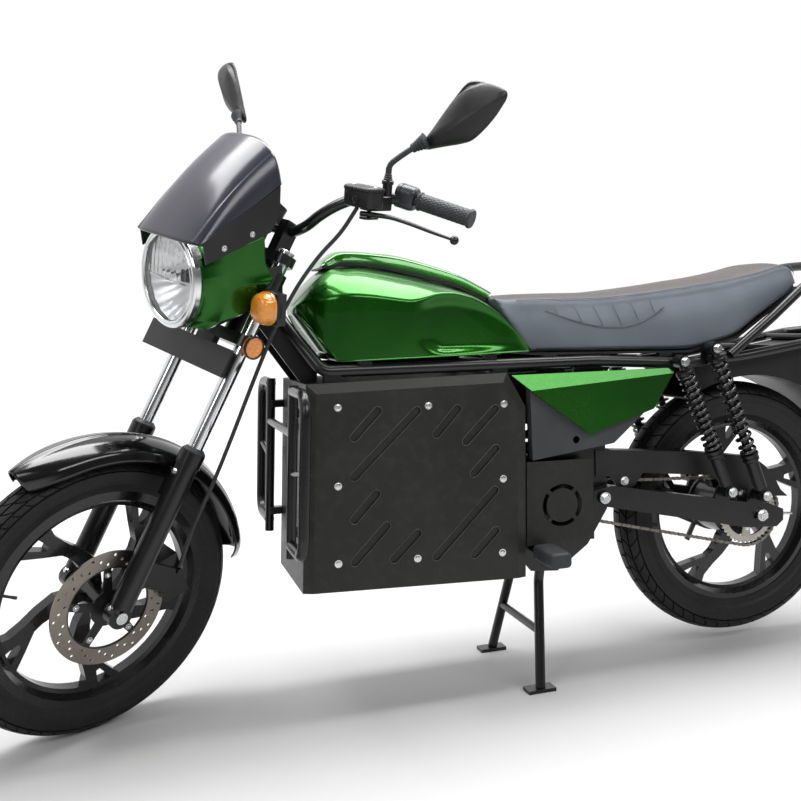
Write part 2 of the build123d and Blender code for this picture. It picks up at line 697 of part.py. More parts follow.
def frame():
    """Main frame: head tube, twin rails, subframe loop, plates and cross tubes."""
    head, head_bore = head_tube()
    rail = bar([
        (FRONT_SHIFT + 1118, 14, 884), (FRONT_SHIFT + 1078, 64, 812),
        (FRONT_SHIFT + 1018, RAIL_Y, rail_z(FRONT_SHIFT + 1018)),
        (420, RAIL_Y, RAIL_MID_Z), (172, RAIL_Y, RAIL_REAR_Z),
    ], TUBE_R, 30)
    end_x, end_z = SUBFRAME_END
    subframe = [(x, RAIL_Y, z) for x, z in SUBFRAME_Z[:-1]]
    subframe.append((SUBFRAME_Z[-1][0], RAIL_Y - 4, SUBFRAME_Z[-1][1]))
    subframe = bar(subframe + [(end_x, RAIL_Y - 54, end_z), (end_x, 0, end_z)], SUBFRAME_R, 26)
    plate = side_plate([
        (384, rail_z(384)), (452, rail_z(452)), (470, 512), (box_rear_x(512), 512),
        (box_rear_x(290), 290), (FRONT_SHIFT + 568, 254), (505, 248), (430, 300), (380, 376),
    ], PLATE_Y - PLATE_THICKNESS, PLATE_Y)
    gusset = [(1132, 812), (1100, 868), (1016, 735), (1020, BOX_TOP_Z), (1054, BOX_TOP_Z)]
    gusset = forward(side_plate(gusset, 56, 62))[0]
    left = [rail, subframe, plate, gusset]
    for x in (FRONT_SHIFT + 1000, FRONT_SHIFT + 640):
        rise = rail_z(x) - BOX_TOP_Z
        left.append(Pos(x, RAIL_Y, BOX_TOP_Z + rise / 2) * Box(34, 20, rise))
    for x in (FRONT_SHIFT + 930, FRONT_SHIFT + 660):
        rise = TANK_BOTTOM_Z - rail_z(x)
        left.append(Pos(x, RAIL_Y, TANK_BOTTOM_Z - rise / 2) * Box(26, 18, rise))
    left.append(rod((384, PLATE_Y - 4, rail_z(400)), (384, RAIL_Y, rail_z(400)), 14))
    left.append(cross_cylinder(PEG_X, PEG_Z, 8, PLATE_Y - 6, PEG_INNER_Y))
    for top, _ in SHOCKS:
        left.append(shock_pin(top, SEAT_HALF_W + 2))
    left.append(side_plate([(118, subframe_z(118)), (130, 732), (146, 732), (158, RAIL_REAR_Z)],
                           SEAT_HALF_W + 1.5, SEAT_HALF_W + 7))
    whole = head
    for piece in left:
        whole += both_sides(piece)
    whole += cross_cylinder(FRONT_SHIFT + 1016, 728, 10, -RAIL_Y, RAIL_Y)
    whole += cross_cylinder(FRONT_SHIFT + 640, rail_z(FRONT_SHIFT + 640), 10, -RAIL_Y, RAIL_Y)
    whole += cross_cylinder(400, rail_z(400), 10, -RAIL_Y, RAIL_Y)
    whole += cross_cylinder(176, RAIL_REAR_Z, 10, -RAIL_Y, RAIL_Y)
    for x in FENDER_CROSS_X:
        whole += cross_cylinder(x, subframe_z(x), 8, -RAIL_Y + 4, RAIL_Y - 4)
    whole += cross_cylinder(PIVOT_X, PIVOT_Z, 20, -PLATE_Y, PLATE_Y)
    whole -= cross_cylinder(PIVOT_X, PIVOT_Z, PIVOT_BOLT_R + 0.2, -PLATE_Y - 1, PLATE_Y + 1)
    whole -= cross_cylinder(STAND_X, STAND_Z, 9.5, -PLATE_Y - 1, PLATE_Y + 1)
    return whole - head_bore


def grab_rail():
    """Tubular rail round the back of the seat."""
    points = [
        (80, RAIL_Y + 10, 706), (-27, RAIL_Y + 14, 785), (-111, RAIL_Y + 14, 850),
        (-194, RAIL_Y + 14, 897), (-242, 82, 906),
    ]
    right = [(x, -y, z) for x, y, z in reversed(points)]
    rail = bar(points + right, SUBFRAME_R, 30)
    (x0, z0), (x1, z1) = SUBFRAME_Z[:2]
    for side in (-1, 1):
        rail -= rod((x0, side * RAIL_Y, z0), (x1, side * RAIL_Y, z1), SUBFRAME_R + 0.1)
    return rail


def swingarm():
    """Twin-sided box-section swingarm with its pivot bolt."""
    arm = side_plate([
        (PIVOT_X + 24, PIVOT_Z + 16), (PIVOT_X - 20, PIVOT_Z + 24), (19, 359), (-20, 356), (-62, 338),
        (-62, 312), (-44, 298), (40, 304), (PIVOT_X - 17, PIVOT_Z - 24), (PIVOT_X + 24, PIVOT_Z - 16),
    ], ARM_OUTER_Y - ARM_THICKNESS, ARM_OUTER_Y)
    for x, z in (SHOCKS[0][1], SHOCKS[1][1]):
        arm += side_plate([(x - 24, z - 38), (x - 10, z + 8), (x + 10, z + 8), (x + 26, z - 30)],
                          ARM_OUTER_Y - 8, ARM_OUTER_Y)
        arm += cross_cylinder(x, z, 12, ARM_OUTER_Y - 8, ARM_OUTER_Y)
    arm -= Pos(0, (2 * ARM_OUTER_Y - ARM_THICKNESS) / 2, REAR_AXLE_Z) * Box(36, ARM_THICKNESS + 2, 2 * AXLE_R + 0.2)
    whole = arm + other_side(arm)
    inner = ARM_OUTER_Y - ARM_THICKNESS + 2
    whole += cross_cylinder(342, 400, 14, -inner, inner)
    whole += cross_cylinder(PIVOT_X, PIVOT_Z, PIVOT_BOLT_R, -ARM_OUTER_Y - 8, ARM_OUTER_Y + 8)
    nut = cross_cylinder(PIVOT_X, PIVOT_Z, 14, ARM_OUTER_Y, ARM_OUTER_Y + 8)
    whole += both_sides(nut)
    for _, bottom in SHOCKS:
        whole += both_sides(shock_pin(bottom, ARM_OUTER_Y - 4))
    return whole


def rear_axle():
    """Rear axle with nuts and spacers."""
    spindle = cross_cylinder(0, REAR_AXLE_Z, AXLE_R, -REAR_AXLE_HALF, REAR_AXLE_HALF)
    for side in (-1, 1):
        nut = cross_cylinder(0, REAR_AXLE_Z, 13, ARM_OUTER_Y, ARM_OUTER_Y + 8)
        spacer = cross_cylinder(0, REAR_AXLE_Z, 12, 88, ARM_OUTER_Y - ARM_THICKNESS)
        pair = nut + spacer
        spindle += pair if side > 0 else other_side(pair)
    return spindle


def shock_body(top, bottom):
    """One damper: eyes, body, rod and spring seats."""
    upper = Vector(top[0], SHOCK_Y, top[1])
    lower = Vector(bottom[0], SHOCK_Y, bottom[1])
    along = (lower - upper).normalized()
    length = (lower - upper).length
    whole = rod(upper + along * 10, upper + along * (length - 10), 9)
    whole += rod(upper + along * 24, upper + along * 30, 20)
    whole += rod(upper + along * (length - 44), upper + along * (length - 36), 20)
    whole += rod(lower - along * 40, lower - along * 16, 13)
    for eye in (top, bottom):
        whole += cross_cylinder(eye[0], eye[1], 15, SHOCK_Y - 13, SHOCK_Y + 11)
        whole -= cross_cylinder(eye[0], eye[1], SHOCK_PIN_R + 0.1, SHOCK_Y - 14, SHOCK_Y + 12)
    return whole


def shock_spring(top, bottom):
    """Outer shape of one coil spring, a sleeve between its seats."""
    upper = Vector(top[0], SHOCK_Y, top[1])
    lower = Vector(bottom[0], SHOCK_Y, bottom[1])
    along = (lower - upper).normalized()
    length = (lower - upper).length
    start, end = upper + along * 30.2, upper + along * (length - 44.2)
    return rod(start, end, 20) - rod(start - along, end + along, 13)


def shock_pin(place, inner_y):
    """Headed bolt through one damper eye, from the piece that carries it."""
    x, z = place
    shank = cross_cylinder(x, z, SHOCK_PIN_R, inner_y, SHOCK_Y + 16)
    collar = cross_cylinder(x, z, SHOCK_PIN_R + 4, inner_y, SHOCK_Y - 13)
    head = cross_cylinder(x, z, 10, SHOCK_Y + 11, SHOCK_Y + 16)
    return shank + collar + head


# ------------------------------------------------------------ drive
def motor():
    """Motor block between the frame plates, with its drive sprocket."""
    inner = PLATE_Y - PLATE_THICKNESS
    block = cross_cylinder(MOTOR_X, DRIVE_Z, MOTOR_R, -inner, 64)
    mount = cross_cylinder(MOTOR_X, DRIVE_Z + MOTOR_R + 8, 10, -inner, inner)
    web = Pos(MOTOR_X, -20, DRIVE_Z + MOTOR_R) * Box(40, 120, 20)
    shaft = cross_cylinder(DRIVE_X, DRIVE_Z, 12, 60, SPROCKET_Y + 5)
    cog_r = DRIVE_R - CHAIN_HEIGHT / 2 - CHAIN_CLEARANCE
    cog = cross_cylinder(DRIVE_X, DRIVE_Z, cog_r, SPROCKET_Y - 3, SPROCKET_Y + 3)
    return block + mount + web + shaft + cog


def motor_cover():
    """Left motor cover plate with a ring of four slots and its standoffs."""
    outer = PLATE_Y + 36
    plate = side_plate([
        (432, 320), (432, 498), (box_rear_x(500) - 3, 502), (box_rear_x(320) - 3, 320),
    ], outer - 4, outer)
    ring_x, ring_z = 507, 402
    slots = cross_cylinder(ring_x, ring_z, 46, outer - 6, outer + 2)
    slots -= cross_cylinder(ring_x, ring_z, 37, outer - 7, outer + 3)
    slots -= Pos(ring_x, outer - 2, ring_z) * Rot(0, 45, 0) * (Box(110, 12, 9) + Box(9, 12, 110))
    plate -= slots
    for x in (446, 572):
        for z in (334, 484):
            plate += cross_cylinder(x, z, 7, PLATE_Y, outer - 3)
    return plate


def hull_of_rounds(rounds):
    """Filled outline round two circles given as (x, z, radius)."""
    edges = []
    for x, z, radius in rounds:
        edges += (Pos(x, z) * Circle(radius)).edges()
    return make_face(make_hull(edges))


def chain():
    """Drive chain as one plain closed band."""
    half = CHAIN_HEIGHT / 2
    outer = hull_of_rounds([(0, REAR_AXLE_Z, CHAIN_R + half), (DRIVE_X, DRIVE_Z, DRIVE_R + half)])
    inner = hull_of_rounds([(0, REAR_AXLE_Z, CHAIN_R - half), (DRIVE_X, DRIVE_Z, DRIVE_R - half)])
    band = extrude(outer - inner, amount=CHAIN_W)
    return Pos(0, SPROCKET_Y + CHAIN_W / 2, 0) * Rot(90, 0, 0) * band


def chain_guard():
    """Guard over the chain's upper run: outer plate with a top flange."""
    arm_inner = ARM_OUTER_Y - ARM_THICKNESS
    outer = arm_inner - PIECE_GAP
    plate = side_plate([
        (408, 511), (368, 507), (150, 486), (0, 463), (-35, 437), (-62, 403), (-76, 378), (-95, 361),
        (-53, 365), (18, 366), (18, 352), (36, 352), (42, 370), (87, 409), (118, 429), (290, 449),
        (311, 424), (322, 418), (346, 418), (359, 429), (373, 448), (408, 452),
    ], outer - 2.5, outer)
    flange = side_plate([(366, 507), (150, 486), (0, 463), (0, 459.5), (150, 482.5), (366, 503.5)], 64, outer)
    return plate + flange


def brake_panel():
    """Right-hand drum brake panel with its arm and torque stay."""
    inner, outer = 56, 62
    panel = cross_cylinder(0, REAR_AXLE_Z, 72, inner, outer)
    panel += cross_cylinder(0, REAR_AXLE_Z, 18, outer, 88)
    arm = side_plate([(34, 300), (46, 300), (78, 240), (68, 234)], outer, outer + 6)
    stay = side_plate([(-6, 262), (10, 256), (214, 352), (210, 364)], 84, 92)
    stay_foot = cross_cylinder(0, 268, 10, inner, 92)
    mount = cross_cylinder(206, 358, 9, 84, ARM_OUTER_Y - ARM_THICKNESS)
    whole = panel + arm + stay + stay_foot + mount
    whole -= cross_cylinder(0, REAR_AXLE_Z, AXLE_R + 0.1, inner - 1, 89)
    return other_side(whole)


# ------------------------------------------------------------ battery box
def box_outline(inset):
    """Side outline of the battery box, drawn in by an even inset."""
    points = [
        BOX_BOTTOM_FRONT, (BOX_TOP_FRONT_X, BOX_TOP_Z), (BOX_TOP_REAR_X, BOX_TOP_Z),
        (BOX_CHAMFER_X, BOX_CHAMFER_Z), BOX_BOTTOM_REAR,
    ]
    face = make_face(Polyline(*points, close=True))
    if inset:
        face = offset(face, amount=-inset, kind=Kind.INTERSECTION)
    return face


def across(face, inner_y, outer_y):
    """Extrude an (x, z) face between two places across the machine."""
    return Pos(0, outer_y, 0) * Rot(90, 0, 0) * extrude(face, amount=outer_y - inner_y)


def battery_box():
    """Sheet battery box, open at both sides for its covers."""
    inner = BOX_HALF_W - COVER_THICKNESS
    wall = box_outline(0) - box_outline(BOX_WALL)
    return across(wall, -inner, inner)


def battery_pack():
    """The cells inside the box, as one plain block."""
    half = BOX_HALF_W - COVER_THICKNESS - 2
    return across(box_outline(BOX_WALL), -half, half)


# recessed slanted slots of a side cover: lower end, upper end, in box (u, v)
SLOT_HALF_W = 9.0
COVER_SLOTS = (
    ((105, 314), (154, 367)), ((105, 234), (237, 365)), ((280, 316), (325, 367)), ((345, 299), (409, 365)),
    ((363, 231), (411, 281)), ((105, 146), (151, 197)), ((281, 59), (410, 193)), ((106, 59), (173, 130)),
    ((189, 60), (239, 111)), ((366, 58), (413, 106)),
)


def box_point(u, v):
    """Point (x, z) of the box's side from its rearward and upward distances."""
    tilt = atan2(BOX_BOTTOM_FRONT[1] - BOX_BOTTOM_REAR[1], BOX_BOTTOM_FRONT[0] - BOX_BOTTOM_REAR[0])
    x = BOX_BOTTOM_FRONT[0] - u * cos(tilt) - v * sin(tilt)
    z = BOX_BOTTOM_FRONT[1] - u * sin(tilt) + v * cos(tilt)
    return x, z


def box_cover():
    """Left side cover: a panel with sloped edges and slanted slots pressed into it."""
    inner = BOX_HALF_W - COVER_THICKNESS
    cover = across(box_outline(0), inner, BOX_HALF_W)
    front = cover.faces().sort_by(Axis.Y)[-1]
    rim = [edge for edge in front.edges() if (edge @ 0.5).Z > BOX_BOTTOM_FRONT[1]]
    cover = chamfer(rim, COVER_EDGE_WIDTH, COVER_EDGE_DEPTH, reference=front)
    for low, high in COVER_SLOTS:
        (x0, z0), (x1, z1) = box_point(*low), box_point(*high)
        length = hypot(x1 - x0, z1 - z0)
        slot = Rot(0, -degrees(atan2(z1 - z0, x1 - x0)), 0) * Rot(90, 0, 0)
        slot = slot * extrude(SlotCenterToCenter(length, SLOT_HALF_W * 2), amount=SLOT_DEPTH, both=True)
        cover -= Pos((x0 + x1) / 2, BOX_HALF_W, (z0 + z1) / 2) * slot
    return cover


# ------------------------------------------------------------ bodywork
def tank():
    """Tank shell, lofted through seven sections from nose to tail."""
    # place along, lowest and highest point, how much slimmer than the widest, half width of the top
    stations = [
        (1052, 826, 862, 78, 40), (1022, 780, 898, 36, 58), (985, TANK_BOTTOM_Z, 930, 12, 64),
        (900, TANK_BOTTOM_Z, 930, 0, 62), (800, TANK_BOTTOM_Z, 908, 0, 60),
        (690, TANK_BOTTOM_Z, 874, 6, 56), (575, TANK_BOTTOM_Z, 812, 28, 46),
    ]
    sections = []
    for x, low, high, slimmer, top_half in stations:
        rise = high - low
        half = TANK_HALF_W - slimmer
        left = [
            (half * 0.88, low), (half * 0.98, low + rise * 0.22), (half, low + rise * 0.46),
            (half * 0.93, low + rise * 0.74), (top_half, high - rise * 0.07), (0, high),
        ]
        right = [(-y, z) for y, z in reversed(left[:-1])]
        plane = Plane(origin=(x, 0, 0), x_dir=(0, 1, 0), z_dir=(1, 0, 0))
        curve = Spline(*left, *right)
        floor = Line(right[-1], left[0])
        sections.append(plane * make_face([curve, floor]))
    shell = loft(sections)
    below = Pos(815, 0, TANK_BOTTOM_Z - 20) * Box(700, 400, 40)
    nose_cut = [(985, 720), (985, TANK_BOTTOM_Z), (1058, 842), (1100, 842), (1100, 720)]
    nose_cut = side_plate(nose_cut, -200, 200)
    shell = forward(shell - below - nose_cut)[0] - seat_clearance() - tank_strip()
    return shell.solids().sort_by(SortBy.VOLUME)[-1]


def seat_clearance():
    """Space kept for the seat's sloped front behind the tank."""
    front = SEAT_FRONT_TOP[0] + SEAT_GAP
    foot = SEAT_FRONT_FOOT[0] + SEAT_GAP
    slope = (front - foot) / (SEAT_FRONT_TOP[1] - SEAT_FRONT_FOOT[1])
    top_z, low_z = SEAT_FRONT_TOP[1] + 40, SEAT_FRONT_FOOT[1] - 10
    back = foot - 80
    outline = [(front + 40 * slope, top_z), (foot - 10 * slope, low_z), (back, low_z), (back, top_z)]
    return side_plate(outline, -200, 200)


def tank_strip():
    """Raised strip along the top of the tank."""
    outline = [
        (1004, 932), (986, 952), (953, 966), (811, 950), (700, 914), (613, 868), (628, 852),
        (721, 893), (831, 921), (948, 938),
    ]
    strip = forward(side_plate(outline, -56, 56))[0]
    return strip - seat_clearance()


def seat():
    """Long dual seat as a plain cushion."""
    outline = [
        SEAT_FRONT_TOP, (520, 858), (433, 856), (312, 861), (224, 869), (149, 877), (97, 884), (45, 891),
        (-9, 901), (-63, 912), (-94, 914), (-112, 902), (-122, 862), *reversed(SEAT_FLOOR), SEAT_FRONT_FOOT,
    ]
    cushion = side_plate(outline, -SEAT_HALF_W, SEAT_HALF_W)
    return cushion


def seat_base():
    """Pan under the seat, with rubber feet on the rails."""
    top = [SEAT_FRONT_FOOT, *SEAT_FLOOR]
    drop = PIECE_GAP
    upper = [(x, z - drop) for x, z in top]
    lower = [(x - 2, z - drop - 5) for x, z in reversed(top)]
    half = SEAT_HALF_W - 4
    whole = side_plate(upper + lower, -half, half)
    for x, z in ((520, 729), (240, 719)):
        foot_z = rail_z(x + 15) + TUBE_R + 0.1
        whole += both_sides(Pos(x, half - 4, (z + foot_z) / 2) * Box(30, 16, z - foot_z))
    return whole


GREEN_OUTLINE = [
    (FRONT_SHIFT + 618, 690), (250, 686), (237, 678), (289, 599), (443, 553), (FRONT_SHIFT + 568, 646),
]
LOWER_OUTLINE = [
    (FRONT_SHIFT + 576, 676), (FRONT_SHIFT + 574, 505), (380, 528), (308, 587), (268, 676),
]


def lower_cover():
    """Grey cover behind the green panel, a tray open towards the frame."""
    outer = SIDE_COVER_Y
    face = make_face(Polyline(*LOWER_OUTLINE, close=True))
    solid = across(face, PLATE_Y + 14, outer)
    inner_face = offset(face, amount=-SHELL_THICKNESS, kind=Kind.INTERSECTION)
    hollow = across(inner_face, PLATE_Y + 10, outer - SHELL_THICKNESS)
    plug = cross_cylinder(471, 542, 8, outer - 4, outer + 1)
    boss = cross_cylinder(430, 600, 8, PLATE_Y, outer - 1)
    return solid - hollow - plug + boss


def side_panel():
    """Green faceted side panel over the lower cover."""
    inner = SIDE_COVER_Y + PIECE_GAP
    face = make_face(Polyline(*GREEN_OUTLINE, close=True))
    panel = across(face, inner, inner + 15)
    crease = Plane(origin=(409, inner + 15, 665), x_dir=(1, 0, 0.12), z_dir=(0.02, 0.93, 0.36))
    return split(panel, bisect_by=crease, keep=Keep.BOTTOM)


def crash_guard():
    """Leg guard: two outer loops, inner uprights and cross tubes."""
    def at(y, z):
        return box_front_x(z) + GUARD_STANDOFF, y, z
    loop = bar([
        at(GUARD_INNER_Y, 378), at(GUARD_OUTER_Y, 378), at(GUARD_OUTER_Y, 685), at(GUARD_INNER_Y, 685),
    ], GUARD_R, GUARD_BEND)
    upright = rod(at(GUARD_INNER_Y, 352), at(GUARD_INNER_Y, 696), GUARD_UPRIGHT_R)
    link = rod(at(GUARD_INNER_Y, 520), at(GUARD_OUTER_Y, 540), 6)
    whole = rod(at(-GUARD_INNER_Y, 600), at(GUARD_INNER_Y, 600), GUARD_CROSS_R)
    for piece in (loop, upright, link):
        whole += both_sides(piece)
    for z in (400, 640):
        start = box_front_x(z) + 0.6
        lug = Pos(start + GUARD_STANDOFF / 2, GUARD_INNER_Y - 14, z) * Box(GUARD_STANDOFF, 20, 16)
        whole += both_sides(lug)
    return whole


def rear_fender():
    """Enclosed rear fender: side skirts and the band between them."""
    skirt_y, skirt_in = 92.0, 89.0
    top = [(x, subframe_z(x) - 8.2) for x in (166, 40, -119, -262)]
    outline = top + [(-330, 716), (-330, 470), (166, 600)]
    face = make_face(Polyline(*outline, close=True))
    arch = Pos(0, REAR_AXLE_Z) * Circle(REAR_TYRE_R + 18)
    skirt = across(face - arch, skirt_in, skirt_y)
    ring = Pos(0, REAR_AXLE_Z) * (Circle(REAR_TYRE_R + 21) - Circle(REAR_TYRE_R + 18))
    band = across(ring & face, -skirt_in, skirt_in)
    back = Pos(-328.5, 0, 640) * Box(3, 2 * skirt_in, 120)
    for side in (-1, 1):
        hole_y = side * PLATE_HOLE_SPACING / 2
        back -= Pos(-328.5, hole_y, PLATE_HOLE_Z) * Rot(0, 90, 0) * Cylinder(PLATE_HOLE_R, 8)
    deck = side_plate(top + [(x, z - 3) for x, z in reversed(top)], -skirt_in, skirt_in)
    return skirt + other_side(skirt) + band + back + deck


def tail_light():
    """Red tail lamp on the back of the fender."""
    lamp = Pos(-346, 0, 676) * Box(32, 130, 46)
    return fillet(lamp.edges().filter_by(Axis.X), 12)


def rear_indicator():
    """Left rear indicator with its stalk."""
    stalk = rod((-290, 92, 690), (-290, 130, 690), 7)
    body = Pos(-290, 152, 690) * Box(46, 44, 52)
    return stalk + fillet(body.edges().filter_by(Axis.X), 14)


def footpeg():
    """Left rubber footpeg."""
    peg = Pos(PEG_X - 2, PEG_INNER_Y + 50, PEG_Z + 4) * Box(50, 100, 36)
    return fillet(peg.edges().filter_by(Axis.Y), 10)


# ------------------------------------------------------------ centre stand
def centre_stand():
    """Centre stand: pivot tube, two splayed legs, brace and feet."""
    pivot_half = PLATE_Y - PLATE_THICKNESS - 2
    whole = cross_cylinder(STAND_X, STAND_Z, 14, -pivot_half, pivot_half)
    whole += cross_cylinder(STAND_X, STAND_Z, 9, -PLATE_Y - 4, PLATE_Y + 4)
    for side in (-1, 1):
        leg = bar([
            (STAND_X, side * STAND_TOP_Y, STAND_Z - 4), (STAND_X + 6, side * STAND_TOP_Y, STAND_Z - 46),
            (STAND_FOOT_X - 2, side * STAND_FOOT_Y, 6),
        ], STAND_R, 40)
        foot = Pos(STAND_FOOT_X, side * STAND_FOOT_Y, 4) * Box(64, 34, 8)
        whole += leg + foot
    brace_z = 120.0
    share = (STAND_Z - 46 - brace_z) / (STAND_Z - 46 - 12)
    brace_x = STAND_X + 6 + (STAND_FOOT_X - 8 - STAND_X) * share
    brace_y = STAND_TOP_Y + (STAND_FOOT_Y - STAND_TOP_Y) * share
    whole += cross_cylinder(brace_x, brace_z, 9, -brace_y, brace_y)
    return whole


# ------------------------------------------------------------ pieces by name
def chassis_pieces():
    """Every piece that is fixed to the frame."""
    return {
        "frame": [frame()],
        "battery_box": [battery_box()],
        "battery_pack": [battery_pack()],
        "box_covers": both_sides(box_cover()),
        "motor": [motor()],
        "motor_covers": both_sides(motor_cover()),
        "tank": [tank()],
        "tank_strip": [tank_strip()],
        "seat": [seat()],
        "seat_base": [seat_base()],
        "side_panels": both_sides(side_panel()),
        "lower_covers": both_sides(lower_cover()),
        "crash_guard": [crash_guard()],
        "footpegs": both_sides(footpeg()),
        "swingarm": [swingarm()],
        "rear_axle": [rear_axle()],
        "shock_bodies": [both_sides(shock_body(*ends)) for ends in SHOCKS],
        "shock_springs": [both_sides(shock_spring(*ends)) for ends in SHOCKS],
        "chain": [chain()],
        "chain_guard": [chain_guard()],
        "brake_panel": [brake_panel()],
        "rear_fender": [rear_fender()],
        "grab_rail": [grab_rail()],
        "tail_light": [tail_light()],
        "rear_indicators": both_sides(rear_indicator()),
    }


def steering_pieces():
    """Every piece that turns with the handlebar, straight ahead."""
    return {
        "lower_yoke": [in_fork(lower_yoke())],
        "upper_yoke": [in_fork(upper_yoke())],
        "stanchions": [in_fork(piece) for piece in stanchions()],
        "fork_legs": [in_fork(fork_leg(side)) for side in (-1, 1)],
        "front_axle": [in_fork(front_axle())],
        "brake_caliper": [in_fork(brake_caliper())],
        "brake_hose": forward(brake_hose()),
        "front_fender": [front_fender()],
        "headlight_shell": forward(headlight_shell()),
        "headlight_reflector": forward(headlight_reflector()),
        "headlight_lens": forward(headlight_lens()),
        "lamp_brackets": [lamp_bracket(side) for side in (-1, 1)],
        "front_indicators": forward([front_indicator(side) for side in (-1, 1)]),
        "reflectors": [in_fork(reflector_disc(side)) for side in (-1, 1)],
        "cowl": forward(both_sides(cowl_side())),
        "screen_plates": forward(both_sides(screen_plate())),
        "windscreen": forward(windscreen()),
        "instrument": [in_fork(instrument())],
        "plate_board": [in_fork(plate_board())],
        "handlebar": [handlebar()],
        "grips": both_sides(grip()),
        "bar_controls": [both_sides(solid) for solid in bar_control()],
        "levers": forward(both_sides(brake_lever())),
        "mirrors": forward(both_sides(mirror_unit())),
    }


def front_wheel_pieces():
    """The steered wheel, straight ahead."""
    return {
        "front_tyre": [tyre(FRONT_TYRE_R, FRONT_TYRE_W)],
        "front_rim": [cast_wheel(FRONT_HUB_R, DISC_Y - DISC_THICKNESS / 2, FRONT_HUB_HALF, False)],
        "brake_disc": [front_disc()],
    }


def rear_wheel_pieces():
    """The driven wheel."""
    return {
        "rear_tyre": [tyre(REAR_TYRE_R, REAR_TYRE_W)],
        "rear_rim": [cast_wheel(REAR_HUB_R, RIM_W / 2 + 8, 50, True)],
        "rear_sprocket": [rear_sprocket()],
    }


def write(name, shapes):
    """Write one named node in the part's own frame."""
    placed = [Pos(-ORIGIN_X, -ORIGIN_Y, 0) * solid for solid in solids_of(shapes)]
    export_step(Compound(children=placed), f"parts/{name}.step")
    return placed


def main():
    """Build every node and write it."""
    os.makedirs("parts", exist_ok=True)
    made = []
    for name, shapes in chassis_pieces().items():
        made += write(name, shapes)
    for name, shapes in steering_pieces().items():
        made += write(name, [steered(solid) for solid in solids_of(shapes)])
    for name, shapes in front_wheel_pieces().items():
        made += write(name, [steered(Location(FRONT_AXLE) * solid) for solid in solids_of(shapes)])
    for name, shapes in rear_wheel_pieces().items():
        made += write(name, [Location(REAR_AXLE) * solid for solid in solids_of(shapes)])
    made += write("centre_stand", [centre_stand()])
    box = Compound(children=made).bounding_box()
    print("box", box.min, box.max)
    print("steering foot", AXIS_FOOT, "up", FORK_UP)


if __name__ == "__main__":
    main()
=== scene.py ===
"""Visual model of an electric motorcycle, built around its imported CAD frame.

Lengths inside the classes are millimetres in the maker's own frame: x = 0 at the rear
axle, +x forward, +y to the rider's left, z = 0 on the floor, drawn with the front wheel
straight ahead. `Placing` turns them into the row frame in metres.
"""

import json
import logging
import math
from dataclasses import dataclass, field
from enum import Enum

import bmesh
import bpy
import numpy as np
from mathutils import Matrix, Vector

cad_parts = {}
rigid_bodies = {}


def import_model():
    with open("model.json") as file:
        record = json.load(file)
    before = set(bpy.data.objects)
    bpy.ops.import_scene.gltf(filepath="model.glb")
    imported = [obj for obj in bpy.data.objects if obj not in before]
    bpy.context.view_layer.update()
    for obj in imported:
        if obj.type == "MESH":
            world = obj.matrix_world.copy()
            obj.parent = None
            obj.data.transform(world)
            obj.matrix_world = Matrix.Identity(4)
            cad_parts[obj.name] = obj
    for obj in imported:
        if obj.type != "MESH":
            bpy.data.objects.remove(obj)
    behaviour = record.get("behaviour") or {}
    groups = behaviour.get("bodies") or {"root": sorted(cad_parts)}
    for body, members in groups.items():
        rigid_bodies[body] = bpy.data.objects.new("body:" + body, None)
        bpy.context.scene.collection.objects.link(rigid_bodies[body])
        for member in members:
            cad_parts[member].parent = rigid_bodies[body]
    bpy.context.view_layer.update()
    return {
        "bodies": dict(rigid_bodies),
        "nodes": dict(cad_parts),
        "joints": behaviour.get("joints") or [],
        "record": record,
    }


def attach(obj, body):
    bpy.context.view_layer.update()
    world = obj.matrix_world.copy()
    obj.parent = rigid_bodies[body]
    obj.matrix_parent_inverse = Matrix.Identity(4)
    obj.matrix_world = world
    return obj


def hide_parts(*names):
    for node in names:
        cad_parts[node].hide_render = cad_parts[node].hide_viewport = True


logging.basicConfig(level=logging.INFO, format="%(message)s")
LOG = logging.getLogger("motorcycle")
Array = np.ndarray
Pair = tuple[float, float]
Point = tuple[float, float, float]
Colour = Point
Line = tuple[Pair, ...]
Socket = bpy.types.NodeSocket
TAU = 2.0 * math.pi
PER_METRE = 1000.0
FRONT_AXLE = (1490.0, 0.0, 294.0)
REAR_AXLE = (0.0, 0.0, 330.0)
RAKE = 28.0
FORK_OFFSET = 40.0
STEERED_BODIES = ("steering", "front_wheel")


# ---------------------------------------------------------------- shapes
@dataclass
class Shape:
    """A mesh in the making.

    Attributes:
        points: (n, 3) vertex positions.
        faces: vertex numbers of each face.
    """

    points: Array
    faces: list[list[int]]

    def moved(self, offset: Point) -> "Shape":
        """Copy shifted by offset."""
        return Shape(self.points + np.asarray(offset, float), self.faces)

    def turned(self, matrix: Array) -> "Shape":
        """Copy with each point p taken to matrix · p."""
        return Shape(self.points @ np.asarray(matrix, float).T, self.faces)

    def mirrored(self) -> "Shape":
        """Copy reflected in the machine's middle plane, y to -y, its faces turned back out."""
        return Shape(self.points * [1.0, -1.0, 1.0], [face[::-1] for face in self.faces])


def joined(*shapes: Shape) -> Shape:
    """Several shapes as one.

    Args:
        shapes: the shapes, which keep their own vertices.

    Returns:
        One shape holding them all.
    """
    starts = np.cumsum([0] + [len(shape.points) for shape in shapes])
    faces = [[number + int(start) for number in face] for shape,
             start in zip(shapes, starts) for face in shape.faces]
    return Shape(np.concatenate([shape.points for shape in shapes]), faces)


def both_sides(shape: Shape) -> Shape:
    """The shape together with its mirror image on the other side."""
    return joined(shape, shape.mirrored())


